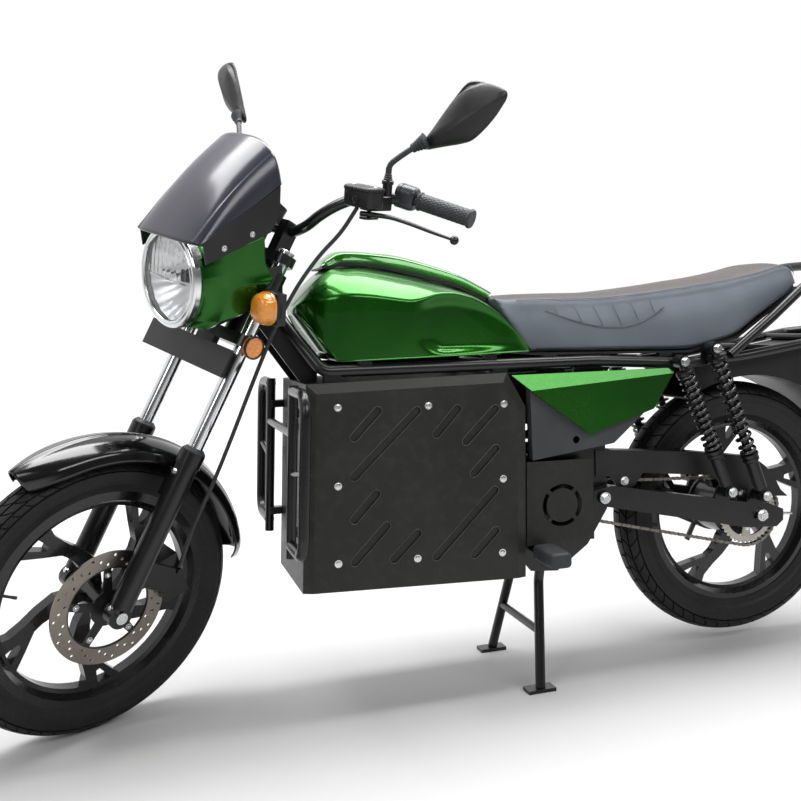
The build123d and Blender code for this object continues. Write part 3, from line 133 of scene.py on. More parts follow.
def grid_faces(rows: int, columns: int, close_rows: bool, close_columns: bool) -> list[list[int]]:
    """Quads of a grid whose point (i, j) has number i * columns + j.

    Args:
        rows: points in the first direction.
        columns: points in the second direction.
        close_rows: joins the last row to the first.
        close_columns: joins the last column to the first.

    Returns:
        The faces (i, j), (i+1, j), (i+1, j+1), (i, j+1), numbers taken round where closed.
    """
    i, j = np.meshgrid(
        np.arange(rows if close_rows else rows - 1),
        np.arange(columns if close_columns else columns - 1), indexing="ij"
    )
    i_next, j_next = (i + 1) % rows, (j + 1) % columns
    quads = np.stack(
        [i * columns + j, i_next * columns + j, i_next * columns + j_next, i * columns + j_next], -1
    )
    return quads.reshape(-1, 4).tolist()


def grid(points: Array, close_rows: bool = False, close_columns: bool = False,
         cap: bool = False) -> Shape:
    """Surface through a grid of points.

    Args:
        points: (rows, columns, 3) positions.
        close_rows: joins the last row to the first.
        close_columns: joins the last column to the first.
        cap: fills the first and last row with a face each.

    Returns:
        The surface.
    """
    rows, columns = points.shape[:2]
    faces = grid_faces(rows, columns, close_rows, close_columns)
    if cap:
        faces.append(list(range(columns)))
        faces.append(list(range((rows - 1) * columns, rows * columns))[::-1])
    return Shape(points.reshape(-1, 3), faces)


def axes_along(direction: Array) -> tuple[Array, Array]:
    """Two unit vectors square to a direction and to each other.

    Args:
        direction: (3,) direction.

    Returns:
        A pair (a, b) with a x b along the direction.
    """
    unit = np.asarray(direction, float) / np.linalg.norm(direction)
    helper = np.array([0.0, 0.0, 1.0]) if abs(unit[2]) < 0.9 else np.array([1.0, 0.0, 0.0])
    first = np.cross(helper, unit)
    first /= np.linalg.norm(first)
    return first, np.cross(unit, first)


def lathe(profile: list[Pair] | Array, centre: Point = (0, 0, 0),
          axis: Point = (0, 0, 1), count: int = 64, ring: bool = False) -> Shape:
    """Profile turned about an axis: p = centre + h * axis + r * (cos a * e1 + sin a * e2).

    Args:
        profile: (radius r, height h) points.
        centre: a point of the axis, where h = 0.
        axis: direction of the axis.
        count: steps round.
        ring: the profile is closed, as a tyre's is; otherwise its ends are filled.

    Returns:
        The turned shape.
    """
    radius, height = np.asarray(profile, float).T
    unit = np.asarray(axis, float) / np.linalg.norm(axis)
    first, second = axes_along(unit)
    angle = round_steps(count)
    spoke = np.cos(angle)[:, None] * first + np.sin(angle)[:, None] * second
    points = np.asarray(centre, float) + height[:, None, None] * unit + radius[:, None, None] * spoke
    return grid(points, close_rows=ring, close_columns=True, cap=not ring)


def curve_through(points: list[tuple[float, ...]] | Array, count: int, closed: bool = False) -> Array:
    """Smooth line through points, by Catmull-Rom pieces.

    Between p1 and p2, with t from 0 to 1:
    p = (2 p1 + (p2 - p0) t + (2 p0 - 5 p1 + 4 p2 - p3) t^2 + (3 p1 - p0 - 3 p2 + p3) t^3) / 2.

    Args:
        points: (n, k) points on the line.
        count: samples returned.
        closed: runs from the last point back to the first.

    Returns:
        (count, k) samples, evenly spaced in the parameter.
    """
    knots = np.asarray(points, float)
    size = len(knots)
    if closed:
        place = np.linspace(0.0, size, count, endpoint=False)
        index = np.floor(place).astype(int)
        before, start = knots[(index - 1) % size], knots[index % size]
        end, after = knots[(index + 1) % size], knots[(index + 2) % size]
    else:
        place = np.linspace(0.0, size - 1, count)
        index = np.minimum(np.floor(place).astype(int), size - 2)
        padded = np.concatenate([[2 * knots[0] - knots[1]], knots, [2 * knots[-1] - knots[-2]]])
        before, start, end, after = (padded[index + shift] for shift in range(4))
    t = (place - index)[:, None]
    linear = end - before
    square = 2 * before - 5 * start + 4 * end - after
    cube = 3 * start - before - 3 * end + after
    return (2 * start + linear * t + square * t**2 + cube * t**3) / 2


def even(points: Array, count: int, closed: bool = False) -> Array:
    """The same line with points evenly spaced along its length.

    Args:
        points: (n, k) points of the line.
        count: points returned.
        closed: the line returns to its first point, which isn't repeated.

    Returns:
        (count, k) points.
    """
    line = np.concatenate([points, points[:1]]) if closed else points
    gone = np.concatenate([[0.0], np.cumsum(np.linalg.norm(np.diff(line, axis=0), axis=1))])
    wanted = np.linspace(0.0, gone[-1], count, endpoint=not closed)
    return np.stack([np.interp(wanted, gone, column) for column in line.T], -1)


def sweep(path: Array, section: Array, side: Point = (0.0, 1.0, 0.0),
          closed: bool = False, scale: Array | None = None) -> Shape:
    """Section carried along a path: p = c + s * (x * b + y * n).

    Here c is the path point, t its tangent, b = side made square to t, n = t x b, and s the scale.

    Args:
        path: (m, 3) path points.
        section: (k, 2) closed section, x along side.
        side: direction that the section's x leans to; never along the path.
        closed: the path returns to its start.
        scale: (m,) size of the section at each point, 1 by default.

    Returns:
        The swept shape, its ends filled unless closed.
    """
    if closed:
        tangent = np.roll(path, -1, 0) - np.roll(path, 1, 0)
    else:
        tangent = np.gradient(path, axis=0)
    tangent /= np.linalg.norm(tangent, axis=1, keepdims=True)
    lean = np.asarray(side, float) - tangent * (tangent @ np.asarray(side, float))[:, None]
    lean /= np.linalg.norm(lean, axis=1, keepdims=True)
    normal = np.cross(tangent, lean)
    size = np.ones(len(path)) if scale is None else np.asarray(scale, float)
    across = section[None, :, 0, None] * lean[:, None] + section[None, :, 1, None] * normal[:, None]
    return grid(path[:, None] + size[:, None, None] * across, close_rows=closed,
                close_columns=True, cap=not closed)


def shares(count: int) -> Array:
    """Evenly spaced values from 0 to 1."""
    return np.linspace(0.0, 1.0, count)


def round_steps(count: int) -> Array:
    """Evenly spaced angles of a whole turn, the end left out."""
    return np.linspace(0.0, TAU, count, endpoint=False)


def circle(radius: float, count: int = 16, squash: float = 1.0) -> Array:
    """Round section (r cos a, squash r sin a)."""
    angle = round_steps(count)
    return np.stack([radius * np.cos(angle), squash * radius * np.sin(angle)], -1)


def rounded_box(width: float, height: float, corner: float, steps: int = 5) -> Array:
    """Rectangle with quarter-circle corners, points anticlockwise about the middle.

    Args:
        width: full size along the first axis.
        height: full size along the second axis.
        corner: corner radius.
        steps: points in each corner.

    Returns:
        (4 * steps, 2) points.
    """
    angle = np.linspace(0.0, math.pi / 2, steps)
    centres = np.array([(1, 1), (-1, 1), (-1, -1), (1, -1)]) * [width / 2 - corner, height / 2 - corner]
    turns = angle[None] + np.arange(4)[:, None] * math.pi / 2
    points = centres[:, None] + corner * np.stack([np.cos(turns), np.sin(turns)], -1)
    return points.reshape(-1, 2)


def slab(outline: Array, low: float, high: float, axis: int = 1) -> Shape:
    """Flat outline given thickness along one axis.

    Args:
        outline: (n, 2) points in the two other axes, in x, y, z order.
        low: lower place along the axis.
        high: higher place along the axis.
        axis: number of the thickness axis.

    Returns:
        The closed slab.
    """
    rest = [number for number in range(3) if number != axis]
    points = np.empty((2, len(outline), 3))
    points[:, :, rest] = outline
    points[0, :, axis], points[1, :, axis] = low, high
    return grid(points, close_columns=True, cap=True)


def layered(outline: Array, layers: list[Pair], axis: int = 1) -> Shape:
    """Outline stacked in layers, each at a place along an axis and drawn in by an inset.

    Each point moves inwards along the mean of its two edges' normals.

    Args:
        outline: (n, 2) anticlockwise points in the two other axes.
        layers: (place along the axis, inset) of each layer.
        axis: number of the stacking axis.

    Returns:
        The closed stack.
    """
    edge = np.roll(outline, -1, 0) - outline
    edge = edge / np.linalg.norm(edge, axis=1, keepdims=True)
    normal = np.stack([-edge[:, 1], edge[:, 0]], -1)
    before = np.roll(normal, 1, 0)
    inward = (normal + before) / np.maximum(1.0 + (normal * before).sum(1, keepdims=True), 0.35)
    place, inset = np.asarray(layers, float).T
    rest = [number for number in range(3) if number != axis]
    points = np.empty((len(layers), len(outline), 3))
    points[:, :, rest] = outline[None] + inset[:, None, None] * inward[None]
    points[:, :, axis] = place[:, None]
    return grid(points, close_columns=True, cap=True)


def rotation(axis: Point | Array, angle: float) -> Array:
    """Matrix of a turn: R = cos a I + sin a K + (1 - cos a) u u^T, with K v = u x v.

    Args:
        axis: direction u of the axis.
        angle: radians.

    Returns:
        (3, 3) matrix.
    """
    x, y, z = np.asarray(axis, float) / np.linalg.norm(axis)
    cross = np.array([[0, -z, y], [z, 0, -x], [-y, x, 0]])
    unit = np.array([x, y, z])
    return math.cos(angle) * np.eye(3) + math.sin(angle) * cross + (
        1 - math.cos(angle)
    ) * np.outer(unit, unit)


def copies(shape: Shape, places: Array, turns: Array | None = None) -> Shape:
    """One shape repeated: copy k has points R_k p + c_k.

    Args:
        shape: the shape repeated, drawn about the origin.
        places: (n, 3) places c.
        turns: (n, 3, 3) turns R, none by default.

    Returns:
        All the copies as one shape.
    """
    places = np.asarray(places, float)
    turns = np.broadcast_to(np.eye(3), (len(places), 3, 3)) if turns is None else np.asarray(turns)
    points = np.einsum("kij,pj->kpi", turns, shape.points) + places[:, None]
    size = len(shape.points)
    faces = [[number + size * k for number in face] for k in range(len(places)) for face in shape.faces]
    return Shape(points.reshape(-1, 3), faces)


def facing(directions: Array) -> Array:
    """Turns that take +z to each direction.

    Args:
        directions: (n, 3) directions.

    Returns:
        (n, 3, 3) matrices whose last column is the direction.
    """
    frames = []
    for direction in np.atleast_2d(directions):
        first, second = axes_along(direction)
        frames.append(np.stack([first, second, direction / np.linalg.norm(direction)], -1))
    return np.array(frames)


def leftward(count: int = 1) -> Array:
    """Turns that take +z to the machine's left, one for each copy."""
    return facing(np.repeat([[0.0, 1.0, 0.0]], count, 0))


def pan_screw(radius: float, height: float) -> Shape:
    """Domed screw head on +z with a hexagonal socket, seated on z = 0.

    Args:
        radius: of the head, in mm.
        height: of the head, in mm.

    Returns:
        the head.
    """
    profile = [(radius * 1.25, -0.6), (radius * 1.25, 0.6), (radius, 0.7), (radius * 0.97, height * 0.5),
               (radius * 0.75, height * 0.9), (radius * 0.45, height), (radius * 0.4, height * 0.35)]
    return lathe(profile, count=18)


def hex_bolt(radius: float, height: float) -> Shape:
    """Hexagonal bolt head on +z with a washer under it and a chamfered top.

    Args:
        radius: of the head, in mm.
        height: of the head, in mm.

    Returns:
        washer, head and dimple in one shape.
    """
    washer = lathe([(radius * 1.35, -0.8), (radius * 1.35, 0.8)], count=20)
    head = lathe([(radius, 0.8), (radius, height * 0.85), (radius * 0.88, height)], count=6)
    dimple = lathe([(radius * 0.5, height * 0.9), (radius * 0.5, height + 0.5)], count=16)
    return joined(washer, head, dimple)


# ---------------------------------------------------------------- placing
class Turn(Enum):
    """Whether a piece turns with the steering."""

    STRAIGHT = "straight"
    STEERED = "steered"

    @classmethod
    def of(cls, body: str) -> "Turn":
        """How the pieces on a body are drawn."""
        return cls.STEERED if body in STEERED_BODIES else cls.STRAIGHT


@dataclass
class Placing:
    """Takes the maker's millimetres to the row frame's metres.

    Attributes:
        origin: row-frame place of the maker's origin, read from the rear wheel's joint.
        foot: row-frame point of the steering axis.
        axis: direction of the steering axis.
        lock: how far the front end rests to the left, in degrees.
    """

    origin: Array
    foot: Array
    axis: Array
    lock: float = 31.0

    @classmethod
    def read(cls, frame: dict) -> "Placing":
        """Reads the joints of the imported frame.


        Returns:
            The placing.
        """
        joints = {joint["name"]: joint for joint in frame["joints"]}
        rear = np.array(joints["rear_wheel_spin"]["pos_m"], float)
        steering = joints["steering_turn"]
        return cls(rear - [0.0, 0.0, REAR_AXLE[2] / PER_METRE], np.array(steering["pos_m"], float),
                   np.array(steering["axis"], float))

    def row(self, points: Array, turn: Turn) -> Array:
        """Row-frame metres of points in millimetres.

        Args:
            points: (n, 3) points.
            turn: STEERED for the pieces drawn straight ahead that turn with the fork.

        Returns:
            (n, 3) metres; for steered ones p' = f + R (p - f), R the turn about the axis through f.
        """
        metres = np.asarray(points, float) / PER_METRE + self.origin
        if turn is Turn.STEERED:
            metres = (metres - self.foot) @ rotation(self.axis, math.radians(self.lock)).T + self.foot
        return metres

    def drawn(self, metres: Array) -> Array:
        """Maker's millimetres of straight row-frame points, the way back from row."""
        return (metres - self.origin) * PER_METRE


class Maker:
    """Puts shapes into the scene as finished, riding, slotted pieces."""

    def __init__(self, place: Placing, finishes: "Finishes") -> None:
        """Keeps the placing and the finishes."""
        self.place = place
        self.finishes = finishes

    def piece(self, name: str, shape: Shape, body: str, slot: str, finish: str = "",
              replaces: tuple[str, ...] = (), crease: float = 32.0, wall: float = 0.0,
              outward: bool = True) -> bpy.types.Object:
        """Makes one piece.

        Args:
            name: the piece's name.
            shape: its shape in millimetres.
            body: CAD body that it rides on.
            slot: material slot of the record.
            finish: name of its finish, the slot's own by default.
            replaces: CAD nodes that it stands for.
            crease: angle in degrees past which an edge is sharp.
            wall: thickness given inwards in millimetres, 0 for none.
            outward: faces are turned outwards again, for a closed shape.

        Returns:
            The object, at the origin.
        """
        mesh = bpy.data.meshes.new(name)
        mesh.from_pydata(self.place.row(shape.points, Turn.of(body)).tolist(), [], shape.faces)
        self._clean(mesh, outward)
        made = bpy.data.objects.new(name, mesh)
        bpy.context.scene.collection.objects.link(made)
        mesh.materials.append(self.finishes[finish or slot])
        mesh.shade_smooth()
        mesh.set_sharp_from_angle(angle=math.radians(crease))
        if wall:
            modifier = made.modifiers.new("Wall", "SOLIDIFY")
            modifier.thickness = wall / PER_METRE
            modifier.offset = -1.0
        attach(made, body)
        if replaces:
            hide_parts(*replaces)
        LOG.info("%s: %d faces on %s", name, len(mesh.polygons), body)
        return made

    def _clean(self, mesh: bpy.types.Mesh, outward: bool) -> None:
        """Merges doubles and turns the faces outwards.

        Args:
            mesh: the mesh.
            outward: False keeps the faces' own direction, for an open sheet.
        """
        work = bmesh.new()
        work.from_mesh(mesh)
        bmesh.ops.remove_doubles(work, verts=work.verts, dist=1e-6)
        if outward:
            bmesh.ops.recalc_face_normals(work, faces=work.faces)
        work.to_mesh(mesh)
        work.free()
        mesh.update()


# ---------------------------------------------------------------- finishes
class Grain(Enum):
    """Small relief of a surface."""

    NONE = "none"
    PEBBLE = "pebble"
    CELLS = "cells"
    PEEL = "peel"
    CAST = "cast"


@dataclass
class Graph:
    """Node tree of one material, with short words for the nodes that it needs."""

    name: str
    tree: bpy.types.NodeTree = field(init=False)
    material: bpy.types.Material = field(init=False)
    shader: bpy.types.Node = field(init=False)

    def __post_init__(self) -> None:
        """Starts the material with its output and its main shader."""
        self.material = bpy.data.materials.new(self.name)
        self.material.use_nodes = True
        self.tree = self.material.node_tree
        self.tree.nodes.clear()
        output = self.tree.nodes.new("ShaderNodeOutputMaterial")
        self.shader = self.tree.nodes.new("ShaderNodeBsdfPrincipled")
        self.tree.links.new(self.shader.outputs["BSDF"], output.inputs["Surface"])

    def node(self, kind: str, **settings: object) -> bpy.types.Node:
        """Adds a node.

        Args:
            kind: the node's type after "ShaderNode".
            settings: its properties.

        Returns:
            The node.
        """
        made = self.tree.nodes.new("ShaderNode" + kind)
        for key, value in settings.items():
            setattr(made, key, value)
        return made

    def link(self, source: Socket, target: Socket) -> None:
        """Joins two sockets."""
        self.tree.links.new(source, target)

    def put(self, **values: object) -> None:
        """Sets the shader's own sockets, whose spaces are written as underscores."""
        for key, value in values.items():
            self.shader.inputs[key.replace("_", " ")].default_value = value

    def place(self, scale: Point = (1, 1, 1), middle: Array | None = None,
              turn: Point = (0, 0, 0)) -> Socket:
        """Object coordinates, moved and stretched by a Mapping node.

        Args:
            scale: stretch along each axis.
            middle: row-frame point taken to the pattern's origin.
            turn: turn in radians.

        Returns:
            The vector socket.
        """
        source = self.node("TexCoord").outputs["Object"]
        if middle is not None:
            shift = self.node("Mapping", vector_type="POINT")
            shift.inputs["Location"].default_value = [-float(value) for value in middle]
            self.link(source, shift.inputs["Vector"])
            source = shift.outputs["Vector"]
        mapping = self.node("Mapping", vector_type="POINT")
        mapping.inputs["Scale"].default_value = scale
        mapping.inputs["Rotation"].default_value = turn
        self.link(source, mapping.inputs["Vector"])
        return mapping.outputs["Vector"]

    def noise(self, vector: Socket, scale: float, detail: float = 3.0, rough: float = 0.55) -> Socket:
        """Noise value between about 0.3 and 0.7.

        Args:
            vector: where it is read.
            scale: lumps per metre.
            detail: octaves.
            rough: share that each octave keeps.

        Returns:
            The value socket.
        """
        texture = self.node("TexNoise")
        texture.inputs["Scale"].default_value = scale
        texture.inputs["Detail"].default_value = detail
        texture.inputs["Roughness"].default_value = rough
        self.link(vector, texture.inputs["Vector"])
        return texture.outputs["Fac"]

    def cells(self, vector: Socket, scale: float, feature: str = "F1") -> Socket:
        """Distance field of scattered cells.

        Args:
            vector: where it is read.
            scale: cells per metre.
            feature: "F1" or "DISTANCE_TO_EDGE".

        Returns:
            The distance socket.
        """
        texture = self.node("TexVoronoi", feature=feature)
        texture.inputs["Scale"].default_value = scale
        self.link(vector, texture.inputs["Vector"])
        return texture.outputs["Distance"]

    def range(self, value: Socket, low: float, high: float, to_low: float = 0.0,
              to_high: float = 1.0) -> Socket:
        """Value taken from low..high to to_low..to_high and clamped.

        Args:
            value: the value.
            low: value that becomes to_low.
            high: value that becomes to_high.
            to_low: result at low.
            to_high: result at high.

        Returns:
            The result socket.
        """
        mapped = self.node("MapRange")
        for key, number in (
            ("From Min", low), ("From Max", high), ("To Min", to_low), ("To Max", to_high)
        ):
            mapped.inputs[key].default_value = number
        self.link(value, mapped.inputs["Value"])
        return mapped.outputs["Result"]

    def math(self, operation: str, first: object, second: object = 0.0) -> Socket:
        """Arithmetic on sockets or numbers.

        Args:
            operation: the Math node's operation.
            first: a socket or a number.
            second: a socket or a number.

        Returns:
            The result socket.
        """
        made = self.node("Math", operation=operation)
        for number, value in enumerate((first, second)):
            if isinstance(value, Socket):
                self.link(value, made.inputs[number])
            else:
                made.inputs[number].default_value = value
        return made.outputs["Value"]

    def blend(self, factor: Socket, first: object, second: object) -> Socket:
        """Mix of two colours.

        Args:
            factor: 0 gives the first, 1 the second.
            first: a colour or a colour socket.
            second: a colour or a colour socket.

        Returns:
            The colour socket.
        """
        mix = self.node("Mix", data_type="RGBA")
        self.link(factor, mix.inputs["Factor"])
        for key, value in (("A", first), ("B", second)):
            socket = [entry for entry in mix.inputs if entry.name == key and entry.type == "RGBA"][0]
            if isinstance(value, Socket):
                self.link(value, socket)
            else:
                socket.default_value = (*value, 1.0)
        return [entry for entry in mix.outputs if entry.type == "RGBA"][0]

    def relief(self, height: Socket, depth: float, strength: float = 1.0) -> None:
        """Bump on the shader's normal, added to any relief that is there.

        Args:
            height: height value, 0 to 1.
            depth: metres from 0 to 1.
            strength: share of the effect.
        """
        bump = self.node("Bump")
        bump.inputs["Distance"].default_value = depth
        bump.inputs["Strength"].default_value = strength
        normal = self.shader.inputs["Normal"]
        if normal.is_linked:
            self.link(normal.links[0].from_socket, bump.inputs["Normal"])
        self.link(height, bump.inputs["Height"])
        self.link(bump.outputs["Normal"], normal)


@dataclass(frozen=True)
class Finish:
    """A plain finish: two close colours in soft clouds, a varying sheen and a small grain.

    Attributes:
        name: the finish's name.
        colour: main colour, linear.
        second: colour of the clouds.
        clouds: clouds per metre.
        polish: lowest and highest roughness.
        metal: share of metal.
        coat: strength of a clear coat.
        coat_rough: roughness of the coat.
        grain: kind of small relief.
        grain_size: lumps of relief per metre.
        grain_depth: depth of the relief in metres.
        specular: specular level.
        dust: share of pale dust in the hollows of the clouds.
    """

    name: str
    colour: Colour
    second: Colour
    clouds: float = 9.0
    polish: Pair = (0.35, 0.5)
    metal: float = 0.0
    coat: float = 0.0
    coat_rough: float = 0.05
    grain: Grain = Grain.PEBBLE
    grain_size: float = 900.0
    grain_depth: float = 0.00012
    specular: float = 0.5
    dust: float = 0.0

    def build(self) -> bpy.types.Material:
        """Makes the material.

        Returns:
            the material.
        """
        graph = Graph(self.name)
        where = graph.place()
        clouds = graph.noise(where, self.clouds, 4.0)
        spread = graph.range(clouds, 0.38, 0.64)
        colour = graph.blend(spread, self.colour, self.second)
        fine = graph.noise(where, self.clouds * 14.0, 3.0, 0.65)
        if self.dust:
            specks = graph.range(fine, 0.5, 0.75, 0.0, self.dust)
            colour = graph.blend(specks, colour, (0.30, 0.27, 0.23))
        graph.link(colour, graph.shader.inputs["Base Color"])
        low, high = self.polish
        sheen = graph.math("ADD", graph.range(clouds, 0.35, 0.68, low, (low + high) / 2),
                           graph.range(fine, 0.35, 0.7, 0.0, (high - low) / 2))
        graph.link(sheen, graph.shader.inputs["Roughness"])
        graph.put(Metallic=self.metal, Specular_IOR_Level=self.specular)
        if self.coat:
            graph.put(Coat_Weight=self.coat, Coat_Roughness=self.coat_rough)
        self.add_grain(graph, where)
        self.add_detail(graph, where)
        return graph.material

    def add_grain(self, graph: Graph, where: Socket) -> None:
        """Adds the small relief.

        Args:
            graph: the material's nodes.
            where: object coordinates.
        """
        if self.grain is Grain.PEBBLE:
            graph.relief(graph.noise(where, self.grain_size, 2.0), self.grain_depth)
        elif self.grain is Grain.CELLS:
            graph.relief(graph.cells(where, self.grain_size), self.grain_depth)
        elif self.grain is Grain.PEEL:
            graph.relief(graph.noise(where, self.grain_size * 0.35, 1.0), self.grain_depth)
        elif self.grain is Grain.CAST:
            rough = graph.noise(where, self.grain_size, 5.0, 0.7)
            graph.relief(rough, self.grain_depth)

    def add_detail(self, graph: Graph, where: Socket) -> None:
        """Room for a finish's own detail."""


@dataclass(frozen=True)
class CandyPaint(Finish):
    """Bright green flake under a thick clear coat."""

    flake: Colour = (0.10, 0.50, 0.03)

    def add_detail(self, graph: Graph, where: Socket) -> None:
        """Scatters flakes that tilt the light a little.

        Args:
            graph: the material's nodes.
            where: object coordinates.
        """
        flakes = graph.cells(where, 2600.0)
        bright = graph.range(flakes, 0.05, 0.35, 1.0, 0.0)
        base = graph.shader.inputs["Base Color"].links[0].from_socket
        mixed = graph.blend(graph.math("MULTIPLY", bright, 0.45), base, self.flake)
        graph.link(mixed, graph.shader.inputs["Base Color"])
        graph.relief(flakes, 0.00002, 0.6)


@dataclass(frozen=True)
class TurnedMetal(Finish):
    """Steel with rings left by the lathe, round a row-frame axis.

    Attributes:
        centre: row-frame point of the axis.
        turn: turn in radians that lays the axis along z.
        rings: rings per metre.
        stain: brown of handling and heat.
        carrier: radius in metres of the dark carrier inside the rings, 0 for none.
    """

    centre: Colour = (0.0, 0.0, 0.0)
    turn: Colour = (0.0, 0.0, 0.0)
    rings: float = 900.0
    stain: Colour = (0.16, 0.11, 0.08)
    carrier: float = 0.0

    def add_detail(self, graph: Graph, where: Socket) -> None:
        """Adds the rings and a stain that follows them: noise of sqrt(x^2 + y^2).

        Args:
            graph: the material's nodes.
            where: object coordinates.
        """
        centred = graph.place(middle=np.array(self.centre), turn=self.turn)
        split = graph.node("SeparateXYZ")
        graph.link(centred, split.inputs["Vector"])
        squares = [graph.math("POWER", split.outputs[axis], 2.0) for axis in ("X", "Y")]
        radius = graph.math("SQRT", graph.math("ADD", squares[0], squares[1]))
        rings = graph.node("TexNoise", noise_dimensions="1D")
        rings.inputs["Scale"].default_value = self.rings
        rings.inputs["Detail"].default_value = 3.0
        graph.link(radius, rings.inputs["W"])
        graph.relief(rings.outputs["Fac"], 0.00012)
        base = graph.shader.inputs["Base Color"].links[0].from_socket
        stained = graph.range(rings.outputs["Fac"], 0.45, 0.7, 0.0, 0.45)
        colour = graph.blend(stained, base, self.stain)
        if self.carrier:
            inside = graph.math("LESS_THAN", radius, self.carrier)
            colour = graph.blend(inside, colour, (0.004, 0.004, 0.0045))
            graph.link(graph.math("SUBTRACT", 1.0, inside), graph.shader.inputs["Metallic"])
        graph.link(colour, graph.shader.inputs["Base Color"])


@dataclass(frozen=True)
class Leather(Finish):
    """Grained seat leather, darker and browner where it faces up: painted shade on its top."""

    # crown: colour of the up-facing cover, a painted shade darker and browner than the leather.
    crown: Colour = (0.036, 0.029, 0.027)

    def add_detail(self, graph: Graph, where: Socket) -> None:
        """Adds creased cells, a wrinkle and a darker, browner crown: painted shade where the cover faces
        up.

        Args:
            graph: the material's nodes.
            where: object coordinates.
        """
        wobble = graph.noise(where, 60.0, 2.0)
        bent = graph.node("VectorMath", operation="ADD")
        graph.link(where, bent.inputs[0])
        graph.link(graph.math("MULTIPLY", wobble, 0.004), bent.inputs[1])
        creases = graph.cells(bent.outputs["Vector"], 420.0, "DISTANCE_TO_EDGE")
        graph.relief(graph.range(creases, 0.0, 0.12), 0.00025, 0.7)
        graph.relief(graph.noise(where, 26.0, 2.0), 0.0012, 0.35)
        # Painted shade: the colour turns to the crown's where the normal points up.
        normal = graph.node("NewGeometry").outputs["Normal"]
        split = graph.node("SeparateXYZ")
        graph.link(normal, split.inputs["Vector"])
        painted_top_shade = graph.range(split.outputs["Z"], 0.45, 0.95)
        base = graph.shader.inputs["Base Color"].links[0].from_socket
        graph.link(graph.blend(painted_top_shade, base, self.crown), graph.shader.inputs["Base Color"])
        graph.put(Sheen_Weight=0.03, Sheen_Roughness=0.4)


@dataclass(frozen=True)
class Clear(Finish):
    """Clear or tinted glass or plastic that lets light through."""

    through: float = 0.95
    bend: float = 1.47

    def add_detail(self, graph: Graph, where: Socket) -> None:
        """Sets how much light goes through."""
        graph.put(Transmission_Weight=self.through, IOR=self.bend)


@dataclass(frozen=True)
class PrismLens(Clear):
    """Coloured lens with rows of small prisms pressed into its back."""

    prisms: float = 150.0
    depth: float = 0.0012

    def add_detail(self, graph: Graph, where: Socket) -> None:
        """Adds the prisms: relief |sin| along two slanted directions.

        Args:
            graph: the material's nodes.
            where: object coordinates.
        """
        graph.put(Transmission_Weight=self.through, IOR=self.bend)
        for turn in (0.7, -0.7):
            slanted = graph.place(turn=(turn, 0.4, 0.0))
            split = graph.node("SeparateXYZ")
            graph.link(slanted, split.inputs["Vector"])
            wave = graph.math("PINGPONG", graph.math("MULTIPLY", split.outputs["Z"], self.prisms), 0.5)
            graph.relief(wave, self.depth, 0.8)


